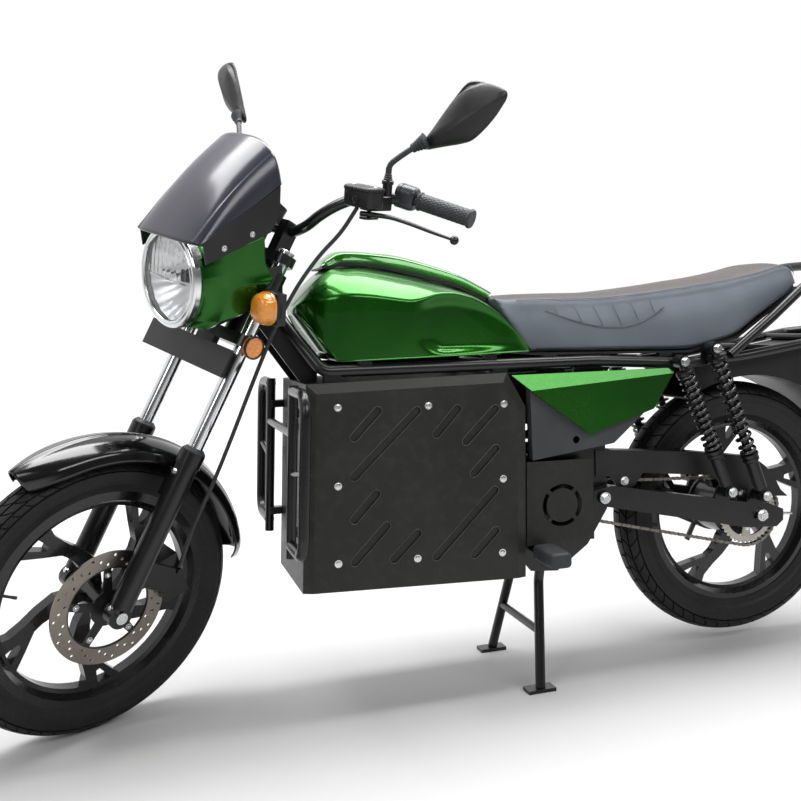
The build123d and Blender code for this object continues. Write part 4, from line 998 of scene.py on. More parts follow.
class Finishes:
    """All the finishes, built once and found by name."""

    def __init__(self, place: Placing) -> None:
        """Builds them.

        Args:
            place: the placing, for the finishes that are turned about an axle.
        """
        front = place.row(np.array([FRONT_AXLE]), Turn.STEERED)[0]
        self.front_centre = tuple(float(value) for value in front)
        beside = np.array([FRONT_AXLE]) + [0.0, PER_METRE, 0.0]
        axle = Vector(place.row(beside, Turn.STEERED)[0] - front)
        self.front_turn = tuple(axle.rotation_difference(Vector((0.0, 0.0, 1.0))).to_euler("XYZ"))
        rear = place.row(np.array([REAR_AXLE]), Turn.STRAIGHT)[0]
        self.rear_centre = tuple(float(value) for value in rear)
        self.built = {finish.name: finish.build() for finish in self.listed()}

    def __getitem__(self, name: str) -> bpy.types.Material:
        """Material of the name."""
        return self.built[name]

    def listed(self) -> list[Finish]:
        """Every finish of the machine."""
        return self.paints() + self.metals() + self.mouldings() + self.clears()

    def paints(self) -> list[Finish]:
        """Painted and powder-coated finishes.

        Returns:
            one entry for each finish.
        """
        return [
            Finish("black_frame", (0.0035, 0.0035, 0.004), (0.006, 0.006, 0.0065), 7.0, (0.26, 0.38),
            coat=0.2, coat_rough=0.16, grain=Grain.PEEL, grain_size=1500.0, grain_depth=0.0001,
            specular=0.35), Finish("black_box", (0.0135, 0.014, 0.012), (0.020, 0.0205, 0.0175), 3.5,
            (0.36, 0.50), grain=Grain.CAST, grain_size=1900.0, grain_depth=0.00011, specular=0.3,
            dust=0.03), Finish("cell_block", (0.05, 0.06, 0.09), (0.07, 0.08, 0.11), 12.0, (0.5, 0.6)),
            Finish("black_alloy", (0.0035, 0.0035, 0.004), (0.006, 0.006, 0.0065), 8.0, (0.2, 0.32),
            coat=0.35, coat_rough=0.12, grain=Grain.CAST, grain_size=1300.0, grain_depth=0.00010,
            specular=0.35), Finish("gloss_black", (0.002, 0.002, 0.0025), (0.0035, 0.0035, 0.004), 6.0,
            (0.12, 0.2), coat=0.6, coat_rough=0.12, grain=Grain.PEEL, grain_size=700.0,
            grain_depth=0.00006, specular=0.3), CandyPaint("candy_green", (0.0045, 0.082, 0.0008),
            (0.009, 0.115, 0.0014), 5.0, (0.22, 0.30), metal=0.85, coat=0.42, coat_rough=0.03,
            grain=Grain.PEEL, grain_size=260.0, grain_depth=0.00007, flake=(0.02, 0.26, 0.005)),
            # lighter copy of candy_green for the tank's top strip: a painted highlight on the up-facing
            # strip
            CandyPaint("candy_green_light", (0.010, 0.135, 0.004), (0.016, 0.18, 0.006), 5.0,
            (0.2, 0.28), metal=0.5, coat=1.0, coat_rough=0.02, grain=Grain.PEEL, grain_size=260.0,
            grain_depth=0.00007, flake=(0.05, 0.28, 0.02))
        ]

    def metals(self) -> list[Finish]:
        """Bare and plated metals.

        Returns:
            one entry for each finish.
        """
        return [
            Finish("motor_casting", (0.10, 0.10, 0.10), (0.14, 0.14, 0.14), 9.0, (0.4, 0.55), metal=0.7,
            grain=Grain.CAST, grain_size=1100.0, grain_depth=0.0002),
            TurnedMetal("bright_steel", (0.26, 0.235, 0.205), (0.33, 0.30, 0.265), 11.0, (0.28, 0.42),
            metal=1.0, carrier=0.0865, grain_size=1500.0, grain_depth=0.00004, centre=self.front_centre,
            turn=self.front_turn), TurnedMetal("sprocket_steel", (0.40, 0.385, 0.35),
            (0.50, 0.485, 0.445), 11.0, (0.28, 0.42), metal=1.0, grain_size=1500.0, grain_depth=0.00004,
            centre=self.rear_centre, turn=(math.radians(90.0), 0.0, 0.0), stain=(0.24, 0.21, 0.17)),
            Finish("zinc", (0.62, 0.63, 0.64), (0.74, 0.74, 0.74), 40.0, (0.18, 0.34), metal=1.0,
            grain_size=2400.0, grain_depth=0.00003), Finish("spring_steel", (0.004, 0.004, 0.0045),
            (0.008, 0.008, 0.0085), 10.0, (0.14, 0.24), coat=0.8, coat_rough=0.06, grain=Grain.PEEL,
            grain_size=900.0, grain_depth=0.00006), Finish("chain_steel", (0.16, 0.145, 0.125),
            (0.25, 0.235, 0.21), 60.0, (0.28, 0.46), metal=1.0, grain_size=1600.0, grain_depth=0.00008),
            Finish("chrome_tube", (0.70, 0.71, 0.73), (0.78, 0.79, 0.81), 12.0, (0.09, 0.15), metal=1.0,
            grain_size=2200.0, grain_depth=0.00001), Finish("chrome_ring", (0.70, 0.71, 0.72),
            (0.78, 0.79, 0.80), 12.0, (0.16, 0.22), metal=1.0, grain_size=2200.0, grain_depth=0.00001),
            Finish("lamp_silver", (0.92, 0.93, 0.94), (0.96, 0.96, 0.97), 20.0, (0.30, 0.40), metal=0.45,
            grain=Grain.NONE), Finish("mirror_glass", (0.82, 0.85, 0.88), (0.85, 0.88, 0.90), 8.0,
            (0.02, 0.03), metal=1.0, grain=Grain.NONE)
        ]

    def mouldings(self) -> list[Finish]:
        """Plastics, rubbers and leather.

        Returns:
            one entry for each finish.
        """
        return [
            Finish("dark_plastic", (0.008, 0.008, 0.0085), (0.013, 0.013, 0.0135), 12.0, (0.34, 0.46),
            grain=Grain.CELLS, grain_size=1500.0, grain_depth=0.00010, specular=0.4),
            Finish("grey_plastic", (0.032, 0.034, 0.037), (0.042, 0.044, 0.047), 9.0, (0.32, 0.46),
            grain=Grain.CELLS, grain_size=1400.0, grain_depth=0.00010, specular=0.5),
            Finish("blue_plastic", (0.018, 0.021, 0.028), (0.026, 0.029, 0.037), 14.0, (0.28, 0.4),
            grain=Grain.CELLS, grain_size=1500.0, grain_depth=0.00008),
            Finish("black_rubber", (0.026, 0.028, 0.031), (0.038, 0.040, 0.044), 20.0, (0.40, 0.55),
            grain_size=1300.0, grain_depth=0.00018, specular=0.3, dust=0.05),
            Finish("tyre_rubber", (0.0055, 0.0055, 0.006), (0.010, 0.010, 0.0105), 16.0, (0.46, 0.62),
            grain_size=1100.0, grain_depth=0.0002, specular=0.3, dust=0.05),
            # the seat leather's up-facing cover is darkened by the crown colour, a painted shade
            Leather("seat_leather", (0.125, 0.145, 0.172), (0.145, 0.167, 0.196), 8.0, (0.42, 0.54),
            grain=Grain.CELLS, grain_size=900.0, grain_depth=0.00012, specular=0.35),
            Finish("seam_thread", (0.05, 0.052, 0.056), (0.07, 0.072, 0.076), 60.0, (0.6, 0.75),
            # lighter grey of the box slots' lips: a painted highlight on their edges
            grain_size=2500.0, grain_depth=0.0002), Finish("worn_edge", (0.030, 0.031, 0.029),
            (0.060, 0.061, 0.057), 9.0, (0.32, 0.45)),
            Finish("dial_face", (0.012, 0.012, 0.013), (0.016, 0.016, 0.017), 20.0, (0.3, 0.4)),
            Finish("dial_mark", (0.75, 0.76, 0.76), (0.8, 0.8, 0.8), 30.0, (0.4, 0.5))
        ]

    def clears(self) -> list[Finish]:
        """Glass, lenses and the smoked screen.

        Returns:
            one entry for each finish.
        """
        return [
            Clear("clear_glass", (0.98, 0.99, 1.0), (1.0, 1.0, 1.0), 5.0, (0.03, 0.06), grain=Grain.NONE,
            through=1.0, bend=1.25), Clear("smoked_screen", (0.030, 0.030, 0.044), (0.038, 0.038, 0.052),
            5.0, (0.14, 0.22), grain=Grain.NONE, through=0.25, coat=0.25, coat_rough=0.3, specular=0.4),
            PrismLens("red_lens", (0.55, 0.012, 0.010), (0.62, 0.02, 0.014), 9.0, (0.08, 0.14),
            grain=Grain.NONE, through=0.5), PrismLens("amber_lens", (0.98, 0.30, 0.020),
            (1.0, 0.38, 0.035), 9.0, (0.06, 0.12), grain=Grain.NONE, through=0.30, coat=1.0)
        ]


@dataclass(frozen=True)
class Dressing:
    """Gives every CAD node the finish of its slot.

    Attributes:
        special: nodes whose finish isn't their slot's own.
    """

    special: tuple[tuple[str, str], ...] = (
        ("rear_sprocket", "sprocket_steel"), ("rear_axle", "zinc"), ("front_axle", "zinc")
    )

    def dress(self, frame: dict, finishes: Finishes) -> None:
        """Assigns the materials.

        Args:
            finishes: the built finishes.
        """
        chosen = {row["node"]: row["material_slot"] for row in frame["record"]["subparts"]}
        chosen.update(dict(self.special))
        for node, finish in chosen.items():
            slots = frame["nodes"][node].material_slots
            for number in range(len(slots)):
                slots[number].material = finishes[finish]
            LOG.info("%s dressed in %s", node, finish)


# ---------------------------------------------------------------- bodywork
def smooth_step(value: Array | float, low: float, high: float) -> Array:
    """Smooth rise from 0 at low to 1 at high: t^2 (3 - 2 t) with t clamped."""
    t = np.clip((np.asarray(value, float) - low) / (high - low), 0.0, 1.0)
    return t * t * (3.0 - 2.0 * t)


def softened(points: Array, passes: int, axis: int) -> Array:
    """Rounds the creases of a grid: each pass takes p to (p_before + 2 p + p_after) / 4, ends kept.

    Args:
        points: the grid.
        passes: how often.
        axis: direction of the rounding.

    Returns:
        The rounded grid.
    """
    rounded = np.moveaxis(points.copy(), axis, 0)
    for _ in range(passes):
        rounded[1:-1] = (rounded[:-2] + 2 * rounded[1:-1] + rounded[2:]) / 4
    return np.moveaxis(rounded, 0, axis)


def through(x: Array, knots: Line) -> Array:
    """Height of a smooth line through (x, z) knots, read at x.

    Args:
        x: places.
        knots: points of the line.

    Returns:
        Heights at those places.
    """
    line = curve_through(np.array(knots), 400)
    order = np.argsort(line[:, 0])
    return np.interp(x, line[order, 0], line[order, 1])


def vertex_places(mesh: bpy.types.Mesh) -> Array:
    """(n, 3) places of a mesh's vertices.

    Args:
        mesh: whose vertices are read.

    Returns:
        one row for each vertex.
    """
    places = np.empty(len(mesh.vertices) * 3)
    mesh.vertices.foreach_get("co", places)
    return places.reshape(-1, 3)


@dataclass
class Tank:
    """Fuel-tank shaped cover with a shoulder crease, knee recesses and a raised top strip.

    A half section rises from the lower edge to the shoulder crease, and leans in from there to
    the top strip. The knee recess is a smooth dent: y' = y - depth * S1 * S2 * S3, each S a
    smooth step away from one edge of the recess.
    """

    half_width: float = 139.2
    bottom: float = 736.8
    nose: float = 1054.0
    rear_low: Pair = (558.6, 734.0)
    rear_lean: float = 0.64
    lean_height: float = 790.0
    top_drop: float = 5.0
    strip_half: float = 55.5
    recess_depth: float = 15.0
    top_line: Line = (
        (1060, 852), (1050, 864), (1022, 897), (985, 926), (950, 929), (900, 927), (800, 906),
        (690, 872), (640, 848), (575, 810), (540, 790)
    )
    crease_line: Line = (
        (1060, 852), (1040, 857), (1005, 864), (969, 868), (949, 869), (908, 865), (857, 857),
        (829, 854), (803, 858.5), (771, 866), (738, 866), (710, 859), (683, 849), (649, 830), (615, 804),
        (594, 776), (580, 745)
    )
    slimmer: Line = (
        (1060, 94), (1050, 80), (1022, 37), (985, 12), (940, 2), (900, 0), (800, 0), (690, 5), (600, 20),
        (560, 30)
    )

    def build(self, maker: Maker) -> None:
        """Makes the shell, its rolled edge, the seam and the strip.

        Args:
            maker: dresses the pieces and puts them in place.
        """
        body = {"body": "chassis", "slot": "candy_green"}
        maker.piece("tank_shell", self.shell(), replaces=("tank",), crease=60, **body)
        maker.piece("tank_rolled_edge", both_sides(self.rolled_edge()), **body)
        # the strip takes a lighter copy of the tank's green: painted highlight on its up-facing top
        maker.piece("tank_strip_cap", self.strip(), finish="candy_green_light", replaces=("tank_strip",),
                    crease=28, **body)
        maker.piece("tank_seam", self.seam(), body="chassis", slot="dark_plastic")

    def stations(self, count: int) -> tuple[Array, Array]:
        """Places along the tank, closer together at the nose, and how far each leans with the seat.

        Args:
            count: how many.

        Returns:
            Places and leans; x = place + lean * (z - lean_height).
        """
        rear = self.rear_low[0] + (self.lean_height - self.rear_low[1]) * self.rear_lean
        share = shares(count)
        place = self.nose + (rear - self.nose) * (0.35 * share**2 + 0.65 * share)
        lean = self.rear_lean * smooth_step(place, 760.0, rear)
        return place, lean

    def leaned(self, place: Array, lean: Array, knots: Line) -> Array:
        """Height of a line where each leaning station meets it, found in three rounds.

        Args:
            place: places of the stations.
            lean: their leans.
            knots: points of the line.

        Returns:
            Heights.
        """
        height = through(place, knots)
        for _ in range(3):
            height = through(place + lean * (height - self.lean_height), knots)
        return height

    def half_section(self, count: int = 130) -> Array:
        """Left half of the shell as a grid.

        Args:
            count: stations along.

        Returns:
            (count, 84, 3) points from the lower edge to the middle line.
        """
        place, lean = self.stations(count)
        top = self.leaned(place, lean, self.top_line)
        crease = self.leaned(place, lean, self.crease_line)
        half = self.half_width - through(place, self.slimmer)
        low = np.maximum(self.bottom, self.bottom + (place - 985.0) * 106.0 / 73.0)
        crease = np.minimum(np.maximum(crease, low + 4.0), top - 6.0)
        edge = np.minimum(self.strip_half + 7.0, half * 0.62)
        side = shares(44)[None]
        band = shares(26)[None, 1:]
        crown = shares(15)[None, 1:]
        half, low, crease, top, edge = (value[:, None] for value in (half, low, crease, top, edge))
        y = np.concatenate([
            half * (0.945 + 0.055 * np.sin(side * math.pi / 2)),
            half + (edge - half) * band + 5.0 * np.sin(band * math.pi),
            edge * np.cos(crown * math.pi / 2) + 0.0 * half,
        ], 1)
        z = np.concatenate([
            low + (crease - low) * side,
            crease + (top - self.top_drop - crease) * (0.75 * band + 0.25 * np.sin(band * math.pi / 2)),
            top - self.top_drop + self.top_drop * np.sin(crown * math.pi / 2),
        ], 1)
        x = place[:, None] + lean[:, None] * (z - self.lean_height)
        y = y - self.recess(x, z, crease)
        return softened(softened(np.stack([x, y, z], -1), 2, 1), 2, 0)

    def recess(self, x: Array, z: Array, crease: Array) -> Array:
        """Depth of the knee recess at each point.

        Args:
            x: places along.
            z: heights.
            crease: height of the shoulder crease at each station.

        Returns:
            Millimetres inwards.
        """
        front = 820.0 - 24.0 * smooth_step(z, 775.0, 742.0)
        from_front = smooth_step(front - x, -6.0, 46.0)
        from_top = smooth_step(crease - z, -2.0, 26.0)
        from_low = smooth_step(z, self.bottom + 3.0, self.bottom + 20.0)
        from_rear = smooth_step(x, 574.0, 690.0)
        bulge = 1.0 - 0.45 * smooth_step(x, 755.0, 650.0)
        return self.recess_depth * from_front * from_top * from_low * from_rear * bulge

    def shell(self) -> Shape:
        """Both halves of the shell in one grid, its ends and its underside closed.

        Returns:
            the shell.
        """
        half = self.half_section()
        other = half[:, ::-1][:, 1:] * [1.0, -1.0, 1.0]
        whole = np.concatenate([half, other], 1)
        return grid(whole, close_columns=True, cap=True)

    def rolled_edge(self) -> Shape:
        """Thin rolled edge along the nose and the lower edge of the left side.

        Returns:
            the edge of the left side.
        """
        edge = self.half_section()[:, 0]
        path = even(edge, 160)[2:-2] + [0.0, -0.2, 1.3]
        return sweep(path, circle(2.1, 10), side=(0.0, 1.0, 0.0))

    def strip(self) -> Shape:
        """Raised strip: a crowned lid whose sides lean in, along the middle of the tank.

        Returns:
            the strip, capped at its ends.
        """
        top = np.array([(1001, 930.5), (993, 943), (984, 951), (953, 964.5), (880, 960), (811, 949),
                       (700, 913.5), (640, 883.5), (616.5, 869.6)])
        low = np.array([(1000, 929.5), (988, 928.5), (975, 930.5), (948, 938), (885, 933.5), (831, 922),
                       (721, 894), (650, 863), (632, 854)])
        upper, lower = even(curve_through(top, 300), 90), even(curve_through(low, 300), 90)
        angle = np.linspace(0.0, math.pi, 25)
        lift = np.concatenate([[0.0, 0.5], 0.62 + 0.38 * np.sin(angle), [0.5, 0.0]])
        wide = np.concatenate([[1.0, 0.985], 0.955 * np.cos(angle), [-0.985, -1.0]])
        taper = 1.0 - 0.16 * smooth_step(shares(90), 0.25, 1.0)
        y = wide[None] * self.strip_half * taper[:, None]
        x = lower[:, None, 0] + (upper - lower)[:, None, 0] * lift[None]
        z = lower[:, None, 1] + (upper - lower)[:, None, 1] * lift[None]
        return grid(np.stack([x, y, z], -1), close_columns=True, cap=True)

    def seam(self) -> Shape:
        """Dark band in the gap between the strip and the shell.

        Returns:
            the band, capped at its ends.
        """
        line = np.array([(996, 930), (975, 930), (948, 935.5), (885, 930), (831, 918.5), (721, 890),
                        (650, 858.5), (634, 850.5)])
        path = even(curve_through(line, 300), 80)
        taper = 1.0 - 0.16 * smooth_step(shares(80), 0.25, 1.0)
        centre = np.stack([path[:, 0], 0 * path[:, 0], path[:, 1]], -1)
        section = np.array([(-1.0, -3.4), (1.0, -3.4), (1.0, 3.4), (-1.0, 3.4)])
        y = section[None, :, 0] * (self.strip_half + 0.6) * taper[:, None]
        points = centre[:, None] + np.stack([0 * y, y, 0 * y + section[None, :, 1]], -1)
        return grid(points, close_columns=True, cap=True)


@dataclass
class Seat:
    """Long dual seat: a stuffed cover over a pan.

    The cushion is a crowned form: its half width follows the side's belly, its top is domed as
    z = crown * (1 - |a|^3.2), and its sides are drawn in at the welt. Its swelling is then
    worked out by a short cloth simulation, and the seams are laid over the result.
    """

    half_width: float = 117.0
    crown: float = 8.0
    top_line: Line = (
        (632, 852), (600, 849), (493, 848), (397, 847), (312, 852), (224, 860), (149, 868.5), (97, 874),
        (45, 881.5), (-9, 891), (-63, 903.5), (-88, 906), (-103, 898), (-112, 880), (-116, 866)
    )
    low_line: Line = (
        (559, 736), (530, 735), (350, 729.5), (178, 724), (110, 735), (53, 750), (0, 785), (-68, 828),
        (-108, 856), (-115, 863)
    )
    swell: float = 5.0
    full: float = 0.93
    voxel: float = 0.006
    cloth_frames: int = 16
    pressure: float = 4.0

    def outline_pairs(self, count: int) -> tuple[Array, Array]:
        """Matching points of the lower and the upper line, from the front to the tail.

        Args:
            count: how many.

        Returns:
            (count, 2) lower and (count, 2) upper points.
        """
        lower = even(curve_through(np.array(self.low_line), 400), count)
        upper = even(curve_through(np.array(self.top_line), 400), count)
        return lower, upper

    def cushion(self, count: int = 120, across: int = 30) -> Shape:
        """Closed cushion before it swells.

        Args:
            count: stations along.
            across: points over the top.

        Returns:
            The closed form.
        """
        lower, upper = self.outline_pairs(count)
        share = shares(count)[:, None]
        a = np.linspace(-1.0, 1.0, across)[None]
        waist = self.waist(share)
        rise = shares(14)[None, :-1]
        side = self.half_width * waist * self.belly(rise)
        dome = 1.0 - np.abs(a) ** 3.2
        y = np.concatenate([-side, self.half_width * waist * self.full * a * 0.985, side[:, ::-1]], 1)
        lift = np.concatenate([rise, np.ones(a.shape), rise[:, ::-1]], 1) * np.ones((count, 1))
        x = lower[:, None, 0] + (upper - lower)[:, None, 0] * lift
        z = lower[:, None, 1] + (upper - lower)[:, None, 1] * lift
        over = np.zeros(lift.shape)
        over[:, rise.size:rise.size + across] = self.crown * dome * np.minimum(1.0, 9.0 * (1.0 - share))
        return grid(np.stack([x, y, z + over], -1), close_columns=True, cap=True)

    def waist(self, share: Array) -> Array:
        """Share of the half width along the seat, drawn in at the nose and rounded at the tail.

        Args:
            share: place along, 0 at the front and 1 at the tail.

        Returns:
            Factors of the same shape.
        """
        return 1.0 - 0.16 * np.exp(
            -((share - 0.02) / 0.10) ** 2
        ) - 0.07 * np.exp(-((share - 1.0) / 0.035) ** 2)

    def belly(self, rise: Array) -> Array:
        """Share of the half width up the side: full + (1 - full) sin of the rise."""
        return self.full + 0.07 * np.sin(0.25 + rise * (math.pi - 0.25))

    def build(self, maker: Maker) -> None:
        """Makes the cushion, its welt, seams and stitches.

        Args:
            maker: dresses the pieces and puts them in place.
        """
        made = maker.piece(
            "seat_cushion", self.cushion(), "chassis", "seat_leather", replaces=("seat",), crease=80
        )
        self.swollen(made, maker.place)
        maker.piece("seat_welt", both_sides(self.welt()), "chassis", "seat_leather",
                    finish="black_rubber")
        maker.piece("seat_seams", both_sides(self.seams()), "chassis", "seat_leather")
        maker.piece("seat_stitches", both_sides(self.stitches()), "chassis", "seat_leather",
                    finish="seam_thread")

    def swollen(self, made: bpy.types.Object, place: Placing) -> None:
        """Swells the cushion with a pressure cloth, capped, its underside held.

        Args:
            made: the cushion.
            place: the placing, for heights over the pan.
        """
        remesh = made.modifiers.new("Even", "REMESH")
        remesh.mode = "VOXEL"
        remesh.voxel_size = self.voxel
        self.settle(made)
        begin = vertex_places(made.data)
        cloth = made.modifiers.new("Cloth", "CLOTH")
        cloth.settings.use_pressure = True
        cloth.settings.uniform_pressure_force = self.pressure
        cloth.settings.effector_weights.gravity = 0.0
        cloth.settings.quality = 4
        cloth.point_cache.frame_start, cloth.point_cache.frame_end = 1, self.cloth_frames
        for number in range(1, self.cloth_frames + 1):
            bpy.context.scene.frame_set(number)
        self.settle(made)
        bpy.context.scene.frame_set(1)
        moved = vertex_places(made.data) - begin
        far = np.linalg.norm(moved, axis=1, keepdims=True)
        moved *= np.minimum(1.0, self.swell / PER_METRE / np.maximum(far, 1e-9))
        moved *= self.held(place.drawn(begin))[:, None]
        moved = self.taut(made.data, moved)
        made.data.vertices.foreach_set("co", (begin + moved).ravel())
        made.data.shade_smooth()
        made.data.update()

    def taut(self, mesh: bpy.types.Mesh, moved: Array, rounds: int = 60) -> Array:
        """Spreads the swelling as a stretched cover does: each point's move becomes its neighbours' mean.

        Args:
            mesh: the cushion's mesh, for its edges.
            moved: (n, 3) moves.
            rounds: how often they are averaged.

        Returns:
            (n, 3) smoother moves.
        """
        pairs = np.empty(len(mesh.edges) * 2, dtype=np.int64)
        mesh.edges.foreach_get("vertices", pairs)
        first, second = pairs.reshape(-1, 2).T
        count = np.bincount(pairs, minlength=len(moved)).astype(float)[:, None]
        for _ in range(rounds):
            total = np.stack([np.bincount(first, moved[second, k], len(moved))
                              + np.bincount(second, moved[first, k], len(moved)) for k in range(3)], -1)
            moved = 0.5 * moved + 0.5 * total / np.maximum(count, 1.0)
        return moved

    def held(self, points: Array) -> Array:
        """How freely each point swells: 0 against the pan, the rails and the tank, 1 at the top.

        Args:
            points: (n, 3) points in the maker's millimetres.

        Returns:
            (n,) shares.
        """
        x, z = points[:, 0], points[:, 2]
        above = z - through(x, self.low_line)
        return smooth_step(above, 6.0, 45.0) * smooth_step(-x, -632.0, -590.0)

    def settle(self, made: bpy.types.Object) -> None:
        """Applies all modifiers to the mesh.

        Args:
            made: the piece.
        """
        ready = bpy.context.evaluated_depsgraph_get()
        mesh = bpy.data.meshes.new_from_object(made.evaluated_get(ready))
        old = made.data
        made.modifiers.clear()
        made.data = mesh
        bpy.data.meshes.remove(old)

    def side_point(self, share: Array, rise: Array, out: float) -> Array:
        """Points of the left side of the cushion.

        Args:
            share: place along, 0 at the front and 1 at the tail.
            rise: height on the side, 0 at the pan and 1 at the welt.
            out: millimetres outside the unswollen side.

        Returns:
            (n, 3) points.
        """
        lower, upper = self.outline_pairs(400)
        at = shares(400)
        low = np.stack([np.interp(share, at, lower[:, k]) for k in (0, 1)], -1)
        high = np.stack([np.interp(share, at, upper[:, k]) for k in (0, 1)], -1)
        mid = low + (high - low) * rise[:, None]
        y = self.half_width * self.waist(share) * self.belly(rise) + out
        return np.stack([mid[:, 0], y, mid[:, 1]], -1)

    def welt(self) -> Shape:
        """Piping round the lower edge of the left side."""
        share = np.linspace(0.03, 0.985, 160)
        return sweep(self.side_point(share, 0.05 + 0.0 * share, 0.2), circle(2.6, 8), side=(0, 1, 0.2))

    def seam_paths(self) -> list[Array]:
        """Sewn lines of the left side: the top edge seam and the stitched arc.

        Returns:
            the edge, then the arc.
        """
        share = np.linspace(0.06, 0.97, 200)
        edge = self.side_point(share, 0.985 + 0.0 * share, 1.0)
        along = shares(90)
        arc = self.side_point(self.arc_share(along), self.arc_rise(along), 2.6)
        return [edge, arc]

    def arc_share(self, along: Array | float) -> Array | float:
        """Place of the stitched arc along the seat."""
        return 0.122 + 0.368 * along

    def arc_rise(self, along: Array | float) -> Array | float:
        """Height of the stitched arc on the side: it sags as a parabola, lower at its rear end."""
        return 0.78 - 1.30 * along * (1.0 - along) - 0.04 * along

    def quilting(self) -> list[Array]:
        """Six upright sewn lines between the top edge and the arc of the left side.

        Returns:
            one line of places for each seam.
        """
        paths = []
        for along in np.linspace(0.08, 0.90, 6):
            rise = np.linspace(self.arc_rise(along), 0.86, 24)
            paths.append(self.side_point(self.arc_share(along) + 0.0 * rise, rise, 2.6))
        return paths

    def seams(self) -> Shape:
        """Raised folded edges along the sewn lines.

        Returns:
            all of them in one shape.
        """
        folds = [sweep(path, circle(1.5, 8, 0.7), side=(0, 1, 0.3)) for path in self.seam_paths()]
        lines = [sweep(path, circle(0.8, 6), side=(0, 1, 0.3)) for path in self.quilting()]
        return joined(*folds, *lines)

    def stitches(self) -> Shape:
        """Short threads beside each sewn line, 7 mm apart.

        Returns:
            all of them in one shape.
        """
        stitch = lathe([(0.0, -2.2), (0.75, -1.8), (0.85, 0.0), (0.75, 1.8), (0.0, 2.2)], count=6)
        parts = []
        for path in self.seam_paths():
            length = float(np.linalg.norm(np.diff(path, axis=0), axis=1).sum())
            places = even(path, int(length / 7.0))
            heading = np.gradient(places, axis=0)
            parts.append(copies(stitch, places + [0.0, 1.2, -3.2], facing(heading)))
        return joined(*parts)


@dataclass
class FrontFender:
    """Gloss front mudguard over the tyre, with a ridge along its middle and a turned lip.

    At elevation e about the axle its line has radius R(e), and across it, with a from -1 to 1,
    p = axle + (R(e) - sag * |a|^2.2 + ridge * exp(-(a / 0.12)^2)) * spoke(e) + half(e) * a * side.
    """

    axle: Point = FRONT_AXLE
    radius: float = 340.0
    half: float = 59.5
    low: float = 62.0
    high: float = 178.0
    sag: float = 26.0
    ridge: float = 3.5
    lip: float = 3.0

    def surface(self) -> Array:
        """Grid of the outer surface, elevation by width.

        Returns:
            places of the grid.
        """
        share = shares(110)[:, None]
        a = np.linspace(-1.0, 1.0, 57)[None]
        lift = np.radians(self.low + (self.high - self.low) * share)
        nose = np.clip(1.0 - share / 0.16, 0.0, 1.0) ** 2.2
        tail = np.clip(1.0 - (1 - share) / 0.10, 0.0, 1.0) ** 2.2
        narrow = 1.0 - 0.55 * nose - 0.45 * tail
        edge = np.abs(a)
        drop = self.sag * edge**2.4 + 9.0 * smooth_step(edge, 0.86, 1.0)
        distance = self.radius - drop + self.ridge * (np.exp(-((a / 0.10) ** 2)) - 1.0) * narrow
        x = self.axle[0] + distance * np.cos(lift)
        z = self.axle[2] + distance * np.sin(lift)
        y = self.half * a * narrow + 0.0 * lift
        return np.stack([x + 0.0 * a, y, z + 0.0 * a], -1)

    def build(self, maker: Maker) -> None:
        """Makes the mudguard and its bright turned lips.

        Args:
            maker: dresses the pieces and puts them in place.
        """
        points = self.surface()
        maker.piece("front_mudguard", grid(points), "steering", "gloss_black",
                    replaces=("front_fender",), crease=50, wall=2.2, outward=False)
        lips = [sweep(points[1:-1, column], circle(self.lip * 0.55, 8), side=(0, 1, 0)) for column in (0,
                -1)]
        maker.piece("mudguard_lips", joined(*lips), "steering", "gloss_black")


# ---------------------------------------------------------------- wheels
@dataclass(frozen=True)
class Band:
    """One ring of tread blocks, between two arc lengths from the crown.

    Attributes:
        low: inner edge of the ring in millimetres of arc, negative on the right.
        high: outer edge.
        phase: how far the blocks are shifted round, in pitches.
        curve: how far a block's edge sweeps round, in pitches, over the ring's width.
        cut: False for a plain ring without cross grooves.
    """

    low: float
    high: float
    phase: float
    curve: float
    cut: bool = True


